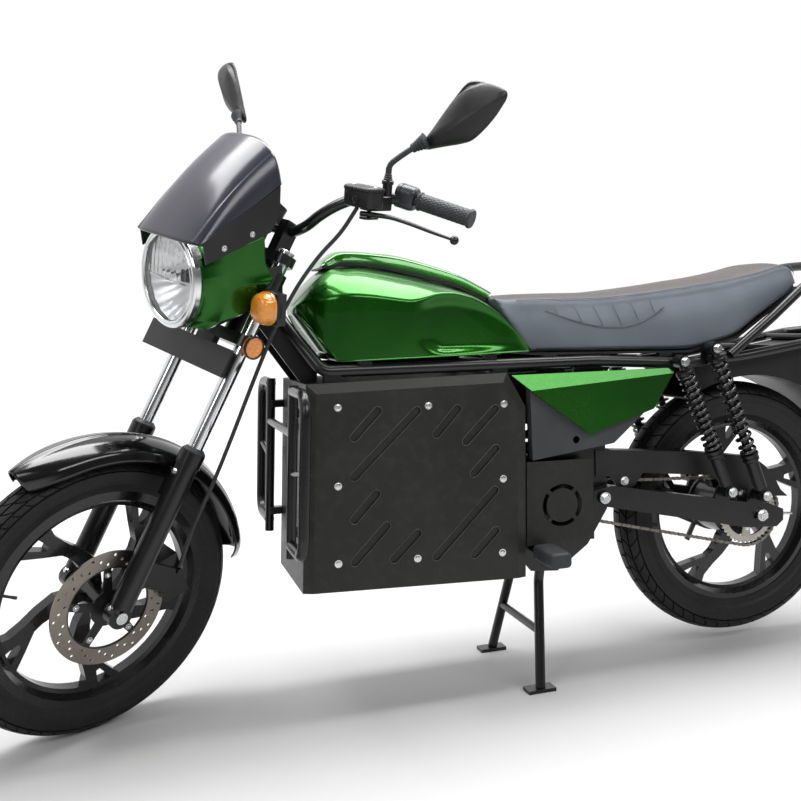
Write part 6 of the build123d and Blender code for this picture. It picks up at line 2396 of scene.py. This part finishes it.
@dataclass
class Dials:
    """Two round dials with plain ticks and needles on the dial housing."""

    centre: Pair = (84.0, 865.2)
    apart: float = 28.5
    radius: float = 23.5

    def placed(self, shape: Shape, side: float) -> Shape:
        """Shape drawn about a dial's middle, z outwards, taken to its place.

        Args:
            shape: drawn about the dial's middle.
            side: 1 for the left dial, -1 for the right one.

        Returns:
            the shape in its place.
        """
        tilt = rotation((0, 1, 0), math.radians(-8.0))
        points = shape.points @ tilt.T + np.array([self.centre[0], side * self.apart, self.centre[1]])
        return on_fork(Shape(points, shape.faces))

    def pair(self, shape: Shape) -> Shape:
        """The shape on both dials."""
        return joined(self.placed(shape, 1.0), self.placed(shape, -1.0))

    def build(self, maker: Maker) -> None:
        """Makes rims, faces, marks and hubs.

        Args:
            maker: dresses the pieces and puts them in place.
        """
        radius = self.radius
        rim = lathe([(radius, -1), (radius + 3.2, -1), (radius + 3.2, 2.6), (radius + 1.4, 4.0),
                    (radius - 0.6, 3.2), (radius - 0.6, 0.0)], count=64, ring=True)
        face = lathe([(0.0, -0.8), (radius, -0.8), (radius, 0.2), (0.0, 0.2)], count=64)
        maker.piece("dial_rims", self.pair(rim), slot="chrome_ring", body="steering")
        maker.piece("dial_faces", self.pair(face), slot="dark_plastic", finish="dial_face",
                    body="steering")
        angle = np.linspace(-2.2, 2.2, 13)
        tick = Shape(
            np.array([(-0.45, -1.9, 0), (0.45, -1.9, 0), (0.45, 1.9, 0), (-0.45, 1.9, 0),
            (-0.45, -1.9, 0.35), (0.45, -1.9, 0.35), (0.45, 1.9, 0.35), (-0.45, 1.9, 0.35)], float),
            [[0, 3, 2, 1], [4, 5, 6, 7], [0, 1, 5, 4], [1, 2, 6, 5], [2, 3, 7, 6], [3, 0, 4, 7]]
        )
        turns = np.array([rotation((0, 0, 1), float(-value)) for value in angle])
        places = np.stack([np.sin(angle) * 19.0, np.cos(angle) * 19.0, 0 * angle + 0.2], -1)
        needle = Shape(
            tick.points * [1.6, 4.2, 1.6] + [0, 6.0, 0.4], tick.faces
        ).turned(rotation((0, 0, 1), 1.9))
        hub = lathe([(0, 0), (3.2, 0), (3.0, 1.8), (0, 2.0)], count=20)
        quarter = rotation((0, 0, 1), math.pi / 2)
        marks = joined(copies(tick, places, turns), needle).turned(quarter)
        maker.piece("dial_marks", self.pair(marks), slot="dark_plastic", finish="dial_mark",
                    body="steering")
        maker.piece("dial_hubs", self.pair(hub), slot="dark_plastic", finish="black_rubber",
                    body="steering")


# ---------------------------------------------------------------- suspension and drive
@dataclass
class Shocks:
    """Four coil springs with their dampers, preload collars and eye bolts."""

    side_y: float = 152.0
    tops: Line = ((220.0, 699.0), (138.0, 724.0))
    bottoms: Line = ((102.0, 398.0), (11.0, 381.0))
    wire: float = 3.9
    turns: float = 12.5
    foot: float = 106.0

    def build(self, maker: Maker) -> None:
        """Makes the springs, dampers, collars and bolts.

        Args:
            maker: dresses the pieces and puts them in place.
        """
        pairs = list(zip(self.tops, self.bottoms))
        coils = joined(*[self.coil(top, bottom) for top, bottom in pairs])
        maker.piece("coil_springs", both_sides(coils), "chassis", "spring_steel",
                    replaces=("shock_springs",), crease=60)
        dampers = joined(*[self.damper(top, bottom) for top, bottom in pairs])
        maker.piece("shock_dampers", both_sides(dampers), "chassis", "black_frame",
                    replaces=("shock_bodies",), crease=30)
        collars = joined(*[self.collars(top, bottom) for top, bottom in pairs])
        maker.piece("spring_collars", both_sides(collars), "chassis", "black_frame", crease=30)
        places = np.array([(x, self.side_y + 16.0, z) for x, z in self.tops + self.bottoms])
        bolts = copies(hex_bolt(8.2, 7.0), places, leftward(4))
        maker.piece("shock_bolts", both_sides(bolts), "chassis",
                    "bright_steel", finish="zinc", crease=25)

    def line(self, top: Pair, bottom: Pair) -> tuple[Array, Array, float]:
        """Upper eye, direction down and length of a shock.

        Args:
            top: upper eye in (x, z).
            bottom: lower eye in (x, z).

        Returns:
            upper eye, unit direction and length in mm.
        """
        upper, lower = (np.array([x, self.side_y, z]) for x, z in (top, bottom))
        length = float(np.linalg.norm(lower - upper))
        return upper, (lower - upper) / length, length

    def coil(self, top: Pair, bottom: Pair) -> Shape:
        """Helix p = c + h d + R (cos a e1 + sin a e2), its first and last turns closed up.

        Args:
            top: upper eye in (x, z).
            bottom: lower eye in (x, z).

        Returns:
            The spring.
        """
        upper, down, length = self.line(top, bottom)
        first, second = axes_along(down)
        share = shares(int(self.turns * 26))
        start, end = 30.4 + self.wire, length - self.foot - 0.4 - self.wire
        rise = np.cumsum(0.35 + 0.65 * smooth_step(share, 0.0, 0.1) * smooth_step(1.0 - share, 0.0, 0.1))
        rise = (rise - rise[0]) / (rise[-1] - rise[0])
        angle = share * self.turns * TAU
        radius = 20.0 - self.wire - 0.2
        path = (upper + (start + (end - start) * rise)[:, None] * down
                + radius * (np.cos(angle)[:, None] * first + np.sin(angle)[:, None] * second))
        return sweep(path, circle(self.wire, 10), side=tuple(down))

    def damper(self, top: Pair, bottom: Pair) -> Shape:
        """Rod and the two eyes of a shock, each eye a ring about its bolt.

        Args:
            top: upper eye in (x, z).
            bottom: lower eye in (x, z).

        Returns:
            rod and eyes in one shape.
        """
        upper, down, length = self.line(top, bottom)
        rod = lathe([(0, 10), (9, 10), (9, length - 10), (0, length - 10)], tuple(upper), tuple(down),
                    count=24)
        ring = [(6.2, -13.0), (15.0, -13.0), (15.0, 11.0), (6.2, 11.0)]
        eyes = [lathe(ring, (x, self.side_y, z), (0.0, 1.0, 0.0), count=28, ring=True) for x,
                z in (top, bottom)]
        return joined(rod, *eyes)

    def collars(self, top: Pair, bottom: Pair) -> Shape:
        """Upper cup, lower notched preload collar and the damper's lower body.

        Args:
            top: upper eye in (x, z).
            bottom: lower eye in (x, z).

        Returns:
            all of them in one shape.
        """
        upper, down, length = self.line(top, bottom)
        cup = lathe([(10, 20), (19.5, 22), (20.8, 25), (20.8, 30.2), (10, 30.3)], tuple(upper),
                    tuple(down), count=32)
        low = length - self.foot
        collar = lathe([(10, low), (20.3, low), (20.3, low + 4), (17.0, low + 5), (17.0, low + 9),
                       (18.6, low + 10), (18.6, low + 16), (14.6, low + 20), (14.6, length - 18),
                       (10, length - 16)], tuple(upper), tuple(down), count=32)
        return joined(cup, collar)


@dataclass
class Drive:
    """Roller chain, toothed rear sprocket and the bolts of the guard and the swingarm."""

    rear: Pair = (REAR_AXLE[0], REAR_AXLE[2])
    front: Pair = (490.0, 407.0)
    rear_radius: float = 82.0
    front_radius: float = 36.0
    y: float = 78.0
    pitch: float = 12.7
    teeth: int = 40

    def loop(self) -> Array:
        """The chain's closed centre line: two arcs joined by the outer tangents.

        Returns:
            places round the loop, the rear arc first.
        """
        rear, front = np.array(self.rear), np.array(self.front)
        between = front - rear
        far = float(np.linalg.norm(between))
        lean = math.asin((self.rear_radius - self.front_radius) / far)
        heading = math.atan2(between[1], between[0])
        top, low = heading + math.pi / 2 - lean, heading - math.pi / 2 + lean
        rear_arc = np.linspace(top, low + TAU, 120)
        front_arc = np.linspace(low + TAU, top + TAU, 60)
        rear_points = rear + self.rear_radius * np.stack([np.cos(rear_arc), np.sin(rear_arc)], -1)
        front_points = front + self.front_radius * np.stack([np.cos(front_arc), np.sin(front_arc)], -1)
        return np.concatenate([rear_points, front_points])

    def build(self, maker: Maker) -> None:
        """Makes the chain, the sprocket and the bolts.

        Args:
            maker: dresses the pieces and puts them in place.
        """
        line = self.loop()
        closed = np.concatenate([line, line[:1]])
        length = float(np.linalg.norm(np.diff(closed, axis=0), axis=1).sum())
        count = 2 * round(length / self.pitch / 2)
        pins = even(line, count, closed=True)
        ahead = np.roll(pins, -1, 0) - pins
        angle = np.arctan2(ahead[:, 1], ahead[:, 0])
        middle = pins + ahead / 2
        turns = np.array([rotation((0, 1, 0), -float(value)) for value in angle])
        places = np.stack([middle[:, 0], 0 * angle + self.y, middle[:, 1]], -1)
        outer = joined(self.link(4.05, 5.3), self.link(-5.3, -4.05))
        inner = joined(self.link(2.55, 3.8), self.link(-3.8, -2.55))
        plates = joined(copies(outer, places[::2], turns[::2]), copies(inner, places[1::2], turns[1::2]))
        roller = lathe([(0, -5.6), (1.9, -5.6), (1.9, -2.5), (3.1, -2.4), (3.1, 2.4), (1.9, 2.5),
                       (1.9, 5.6), (0, 5.6)], (0, 0, 0), (0, 1, 0), count=8)
        rollers = copies(roller, np.stack([pins[:, 0], 0 * angle + self.y, pins[:, 1]], -1))
        maker.piece("chain_links", joined(plates, rollers), "chassis", "chain_steel",
                    replaces=("chain",))
        maker.piece("toothed_sprocket", self.sprocket(), "rear_wheel", "bright_steel",
                    finish="sprocket_steel", replaces=("rear_sprocket",), crease=30)
        maker.piece("drive_bolts", self.bolts(), "chassis", "bright_steel", finish="zinc", crease=25)
        maker.piece("sprocket_bolts", self.sprocket_bolts(), "rear_wheel", "bright_steel", finish="zinc")

    def link(self, low: float, high: float) -> Shape:
        """One waisted side plate between y = low and high, about its middle.

        Args:
            low: smaller y of its faces.
            high: larger y of its faces.

        Returns:
            the plate.
        """
        angle = np.linspace(-math.pi / 2, math.pi / 2, 5)
        right = np.stack([self.pitch / 2 + 3.7 * np.cos(angle), 3.7 * np.sin(angle)], -1)
        waist = np.array([(0.0, 2.7)])
        outline = np.concatenate([right, waist, -right, -waist])
        return slab(outline, low, high)

    def sprocket(self) -> Shape:
        """Toothed rim, five arms and a boss; teeth r = 73.4 + 4 (0.5 + 0.9 cos n a), clipped.

        Returns:
            rim, arms and boss in one shape.
        """
        angle = round_steps(self.teeth * 10)
        tooth = np.clip(0.5 + 0.9 * np.cos(self.teeth * angle), 0.0, 1.0)
        outer = 73.4 + 4.0 * tooth
        ring = [(outer, 76.6), (outer, 79.4), (71.5, 80.8), (60.0, 80.8), (60.0, 75.2), (71.5, 75.2)]
        height = self.rear[1]
        points = np.stack([np.stack([radius * np.cos(angle), 0 * angle + y,
                          radius * np.sin(angle) + height], -1) for radius, y in ring])
        rim = grid(points, close_rows=True, close_columns=True)
        arm_outline = np.array(
            [(24, -13), (46, -8.5), (62, -12.5), (64, 0), (62, 12.5), (46, 8.5), (24, 13)], float
        )
        arm = slab(arm_outline, 75.4, 80.6)
        spokes = np.array([rotation((0, 1, 0), TAU * k / 5 + 0.25) for k in range(5)])
        arms = copies(arm, np.repeat([[0.0, 0.0, height]], 5, 0), spokes)
        boss = lathe([(17, 75.3), (34, 75.3), (34, 80.7), (17, 80.7)], (0, 0, height), (0, 1, 0),
                     count=60, ring=True)
        return joined(rim, arms, boss)

    def sprocket_bolts(self) -> Shape:
        """Five bolts on the sprocket's arms.

        Returns:
            all of them in one shape.
        """
        angle = np.arange(5) * TAU / 5 - 0.25
        places = np.stack(
            [41.0 * np.cos(angle), 0 * angle + 80.6, 41.0 * np.sin(angle) + self.rear[1]], -1
        )
        return copies(hex_bolt(4.6, 4.0), places, leftward(5))

    def bolts(self) -> Shape:
        """Bolts of the guard, the pivot and the axle, and the chain adjusters.

        Returns:
            all of them in one shape.
        """
        guard_places = np.array([(337.0, 101.8, 435.0), (31.0, 101.8, 379.0)])
        guard = copies(hex_bolt(7.4, 5.6), guard_places, leftward(2))
        pivot = copies(hex_bolt(9.6, 9.0), np.array([(404.0, 136.2, 408.0)]), leftward())
        axle = copies(hex_bolt(10.2, 9.0), np.array([(0.0, 136.2, 330.0)]), leftward())
        adjuster = lathe(
            [(0, 0), (3.0, 0), (3.0, 34), (0, 34)], (-62.0, 115.0, 325.0), (-1, 0, -0.09), count=12
        )
        nut = lathe([(6.0, 4), (6.0, 9), (5.4, 10)], (-62.0, 115.0, 325.0), (-1, 0, -0.09), count=6)
        outside = joined(pivot, axle, adjuster, nut)
        return joined(guard, both_sides(outside))


@dataclass
class BoxScrews:
    """Silver screws of the battery box covers, the motor covers and the side covers."""

    low_front: Pair = (1083.0, 275.0)
    low_rear: Pair = (597.0, 254.0)
    columns: tuple[float, ...] = (72.0, 240.0, 429.0)
    rows: tuple[float, ...] = (58.0, 216.5, 375.0)
    top_shift: float = 22.0
    face_y: float = 140.0
    slots: tuple[tuple[float, float, float, float], ...] = (
        (105, 314, 154, 367), (105, 234, 237, 365), (280, 316, 325, 367), (345, 299, 409, 365),
        (363, 231, 411, 281), (105, 146, 151, 197), (281, 59, 410, 193), (106, 59, 173, 130),
        (189, 60, 239, 111), (366, 58, 413, 106),
    )
    slot_half: float = 9.0

    def spots(self) -> Array:
        """Screw places on the cover, its middle left out.

        Returns:
            one place for each screw.
        """
        front, rear = np.array(self.low_front), np.array(self.low_rear)
        along = (rear - front) / np.linalg.norm(rear - front)
        up = np.array([along[1], -along[0]])
        u, v = np.meshgrid(self.columns, self.rows)
        keep = ~((u == self.columns[1]) & (v == self.rows[1]))
        u = u + self.top_shift * ((u == self.columns[1]) & (v == self.rows[2]))
        return front + u[keep][:, None] * along + v[keep][:, None] * up

    def slot_rims(self) -> Shape:
        """Folded lips round the slots of both covers, in a lighter grey that paints the highlight on the
        slots' edges.

        Each lip is a round bead carried round a rounded bar: two straight runs joined by half
        circles about the slot's two ends.

        Returns:
            all of them in one shape.
        """
        front, rear = np.array(self.low_front), np.array(self.low_rear)
        along = (rear - front) / np.linalg.norm(rear - front)
        up = np.array([along[1], -along[0]])
        angle = np.linspace(-math.pi / 2.0, math.pi / 2.0, 9)
        beads = []
        for u0, v0, u1, v1 in self.slots:
            low = front + u0 * along + v0 * up
            high = front + u1 * along + v1 * up
            run = (high - low) / np.linalg.norm(high - low)
            over = np.array([-run[1], run[0]])
            half = self.slot_half * (np.cos(angle)[:, None] * run + np.sin(angle)[:, None] * over)
            ring = np.concatenate([high + half, low - half])
            path = np.stack([ring[:, 0], 0 * ring[:, 0] + self.face_y - 0.1, ring[:, 1]], -1)
            beads.append(sweep(path, circle(0.75, 6), side=(0, 1, 0), closed=True))
        return both_sides(joined(*beads))

    def build(self, maker: Maker) -> None:
        """Makes the screws and the slots' lips.

        Args:
            maker: dresses the pieces and puts them in place.
        """
        # the lips' lighter grey is a painted highlight along the slots' edges
        maker.piece("slot_rims", self.slot_rims(), "chassis", "black_box", finish="worn_edge")
        spots = self.spots()
        places = np.stack([spots[:, 0], 0 * spots[:, 0] + self.face_y - 1.4, spots[:, 1]], -1)
        heads = both_sides(copies(pan_screw(6.4, 1.3), places + [0, 1.2, 0], leftward(len(places))))
        maker.piece("cover_screws", heads, "chassis", "bright_steel", finish="zinc")


@dataclass
class Footpegs:
    """Ribbed rubber footpegs: a rounded block whose width swells, with cross ribs and end lips."""

    middle: Point = (563.0, 196.0, 310.0)

    def peg(self) -> Shape:
        """Left peg, swept outwards.

        Returns:
            the left peg.
        """
        share = shares(92)
        rib = 1.0 + 0.045 * (
            np.abs(np.sin(share * math.pi * 11)) ** 0.5
        ) * ((share > 0.06) & (share < 0.94))
        size = (0.86 + 0.10 * np.sin(share * math.pi) ** 0.5) * rib
        size[:3] *= 0.9
        size[-3:] *= np.array([0.97, 0.92, 0.82])
        path = np.stack([0 * share + self.middle[0], self.middle[1] - 49.0 + 98.0 * share,
                         0 * share + self.middle[2]], -1)
        return sweep(path, rounded_box(49.0, 35.0, 10.0, 6), side=(1, 0, 0), scale=size)

    def build(self, maker: Maker) -> None:
        """Makes both rubbers; their bars stay the frame's."""
        maker.piece("peg_rubbers", both_sides(self.peg()), "chassis", "black_rubber",
                    replaces=("footpegs",), crease=28)


@dataclass
class TailLamp:
    """Red tail lamp in a dark frame."""

    middle: Point = (-331.0, 0.0, 676.0)

    def build(self, maker: Maker) -> None:
        """Makes the lens and its frame.

        Args:
            maker: dresses the pieces and puts them in place.
        """
        outline = rounded_box(126.0, 42.0, 12.0, 7) + [self.middle[1], self.middle[2]]
        back = self.middle[0]
        lens = layered(outline, [(back - 29.5, 9.0), (back - 28.5, 5.0), (back - 26.0, 2.4),
                       (back - 20.0, 1.2), (back - 8.0, 0.4), (back - 2.0, 0.4)], axis=0)
        rim = layered(
            rounded_box(130.0, 46.0, 13.0, 7) + [self.middle[1], self.middle[2]],
            [(back - 9.0, 1.0), (back - 8.0, 0.0), (back + 0.5, 0.0), (back + 1.0, 0.5)], axis=0
        )
        maker.piece("tail_lens", lens, "chassis", "red_lens", replaces=("tail_light",), crease=40)
        maker.piece("tail_frame", rim, "chassis", "dark_plastic", replaces=("tail_light",))


@dataclass
class ForkDetails:
    """Leg collars, drain bolts, pinch bolts and reflector rims of the fork."""

    leg_y: float = 94.0

    def build(self, maker: Maker) -> None:
        """Makes the fork's small parts.

        Args:
            maker: dresses the pieces and puts them in place.
        """
        seal = lathe([(15.4, 344), (20.0, 344), (24.0, 345.5), (24.6, 349), (19.0, 355), (17.0, 356.5),
                     (15.4, 356.5)], count=40, ring=True)
        seal = seal.moved((40.0, self.leg_y, 0.0))
        maker.piece("dust_seals", both_sides(on_fork(seal)), slot="black_frame",
                    finish="black_rubber", body="steering")
        bolt = hex_bolt(5.4, 4.6)
        places = np.array([(60.0, self.leg_y, 10.0), (62.6, self.leg_y, 300.0)])
        turns = facing(np.repeat([[1.0, 0.0, 0.0]], 2, 0))
        bolts = copies(bolt, places, turns)
        maker.piece("fork_bolts", both_sides(on_fork(bolts)), slot="bright_steel",
                    finish="zinc", body="steering")
        rim = lathe([(20.6, -3.0), (23.4, -3.0), (23.4, 2.2), (21.4, 3.6), (20.6, 3.0)],
                    (40.0, 128.0, 581.0), (0, 1, 0), count=40, ring=True)
        maker.piece("reflector_rims", both_sides(on_fork(rim)), slot="dark_plastic", body="steering")
        caps = lathe([(0, 0), (16.5, 0), (16.5, 3.5), (14.0, 5.5), (7.0, 6.0), (6.5, 3.0), (0, 3.0)],
                     (40.0, self.leg_y, 778.2), (0, 0, 1), count=32)
        maker.piece("fork_caps", both_sides(on_fork(caps)), slot="chrome_tube",
                    finish="zinc", body="steering")


# ---------------------------------------------------------------- stage
@dataclass(frozen=True)
class Studio:
    """Camera, pale floor and soft lights, in row-frame metres."""

    eye: Colour = (0.7201, 2.0111, 0.831)
    yaw: float = 0.2855
    pitch: float = 0.0906
    roll: float = -0.04
    lens: float = 43.54
    floor_half: float = 14.0
    dim: float = 0.13

    def camera(self) -> None:
        """Sets the camera: d looks along the yaw and pitch, and the roll turns the picture round d."""
        look = np.array([-math.sin(self.yaw) * math.cos(self.pitch),
                         -math.cos(self.yaw) * math.cos(self.pitch), -math.sin(self.pitch)])
        right = np.cross(look, [0.0, 0.0, 1.0])
        right /= np.linalg.norm(right)
        up = np.cross(right, look)
        cosine, sine = math.cos(self.roll), math.sin(self.roll)
        columns = np.stack([right * cosine + up * sine, up * cosine - right * sine, -look], -1)
        data = bpy.data.cameras.new("Camera")
        data.lens = self.lens
        data.sensor_width = 36.0
        data.clip_start, data.clip_end = 0.05, 60.0
        camera = bpy.data.objects.new("Camera", data)
        camera.matrix_world = Matrix.Translation(self.eye) @ Matrix(columns.tolist()).to_4x4()
        bpy.context.scene.collection.objects.link(camera)
        bpy.context.scene.camera = camera

    def floor(self) -> None:
        """Makes the floor, a flat round disc."""
        radius = shares(40)[:, None]
        angle = round_steps(96)[None]
        points = np.stack([radius * np.cos(angle), radius * np.sin(angle), 0.0 * radius * angle], -1)
        shape = grid(points[1:] * self.floor_half, close_columns=True)
        shape.faces.append(list(range(96))[::-1])
        mesh = bpy.data.meshes.new("floor")
        mesh.from_pydata(shape.points.tolist(), [], shape.faces)
        floor = bpy.data.objects.new("floor", mesh)
        bpy.context.scene.collection.objects.link(floor)
        graph = Graph("floor_white")
        shade = graph.range(graph.noise(graph.place(), 0.8, 2.0), 0.3, 0.7)
        graph.link(graph.blend(shade, (0.50, 0.50, 0.50), (0.53, 0.53, 0.53)),
                   graph.shader.inputs["Base Color"])
        graph.put(Roughness=0.85, Specular_IOR_Level=0.1)
        split = graph.node("SeparateXYZ")
        graph.link(graph.place(), split.inputs["Vector"])
        far = graph.range(graph.math("MULTIPLY", split.outputs["Y"], -1.0), 0.5, 2.8, 0.0, 0.75)
        graph.link(far, graph.shader.inputs["Emission Strength"])
        graph.put(Emission_Color=(1.0, 1.0, 1.0, 1.0))
        mesh.materials.append(graph.material)

    def lights(self) -> None:
        """Sets a world that is white behind the machine and dim before it, and large soft lamps."""
        world = bpy.data.worlds.new("Studio")
        world.use_nodes = True
        nodes, links = world.node_tree.nodes, world.node_tree.links
        background = nodes["Background"]
        heading = nodes.new("ShaderNodeTexCoord")
        split = nodes.new("ShaderNodeSeparateXYZ")
        ramp = nodes.new("ShaderNodeMapRange")
        ramp.interpolation_type = "SMOOTHSTEP"
        for key, value in (
            ("From Min", 0.45), ("From Max", -0.25), ("To Min", self.dim), ("To Max", 1.0)
        ):
            ramp.inputs[key].default_value = value
        links.new(heading.outputs["Generated"], split.inputs["Vector"])
        links.new(split.outputs["Y"], ramp.inputs["Value"])
        links.new(ramp.outputs["Result"], background.inputs["Strength"])
        background.inputs["Color"].default_value = (1.0, 1.0, 1.0, 1.0)
        bpy.context.scene.world = world
        self.lamp("top", (0.0, -0.15, 2.7), (0.0, -0.15, 0.5), (3.2, 1.3), 140.0)
        self.lamp("front_left", (2.3, 2.2, 2.2), (0.3, 0.0, 0.6), (1.0, 1.5), 20.0)
        self.lamp("side_strip", (-0.95, 2.3, 2.25), (-0.2, 0.0, 0.6), (2.7, 0.8), 42.0)

    def lamp(self, name: str, place: Colour, target: Colour, size: Pair, power: float) -> None:
        """Adds one rectangular lamp.

        Args:
            name: its name.
            place: where it stands.
            target: what it points at.
            size: its width and height.
            power: watts.
        """
        data = bpy.data.lights.new(name, "AREA")
        data.shape = "RECTANGLE"
        data.size, data.size_y = size
        data.energy = power
        lamp = bpy.data.objects.new(name, data)
        lamp.location = place
        lamp.rotation_euler = (Vector(target) - Vector(place)).to_track_quat("-Z", "Y").to_euler()
        bpy.context.scene.collection.objects.link(lamp)

    def build(self) -> None:
        """Sets everything and the plain view of colours."""
        self.camera()
        self.floor()
        self.lights()
        bpy.context.scene.view_settings.view_transform = "Standard"


ASSEMBLIES: tuple[type, ...] = (
    Tank, Seat, FrontFender, Wheels, Headlight, Screen, Indicators, Controls, Mirrors, Dials, Shocks,
    Drive, BoxScrews, Footpegs, TailLamp, ForkDetails
)


def main() -> None:
    """Builds the machine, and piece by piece."""
    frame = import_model()
    Studio().build()
    place = Placing.read(frame)
    finishes = Finishes(place)
    Dressing().dress(frame, finishes)
    maker = Maker(place, finishes)
    for assembly in ASSEMBLIES:
        LOG.info("building %s", assembly.__name__)
        assembly().build(maker)


if __name__ == "__main__":
    main()
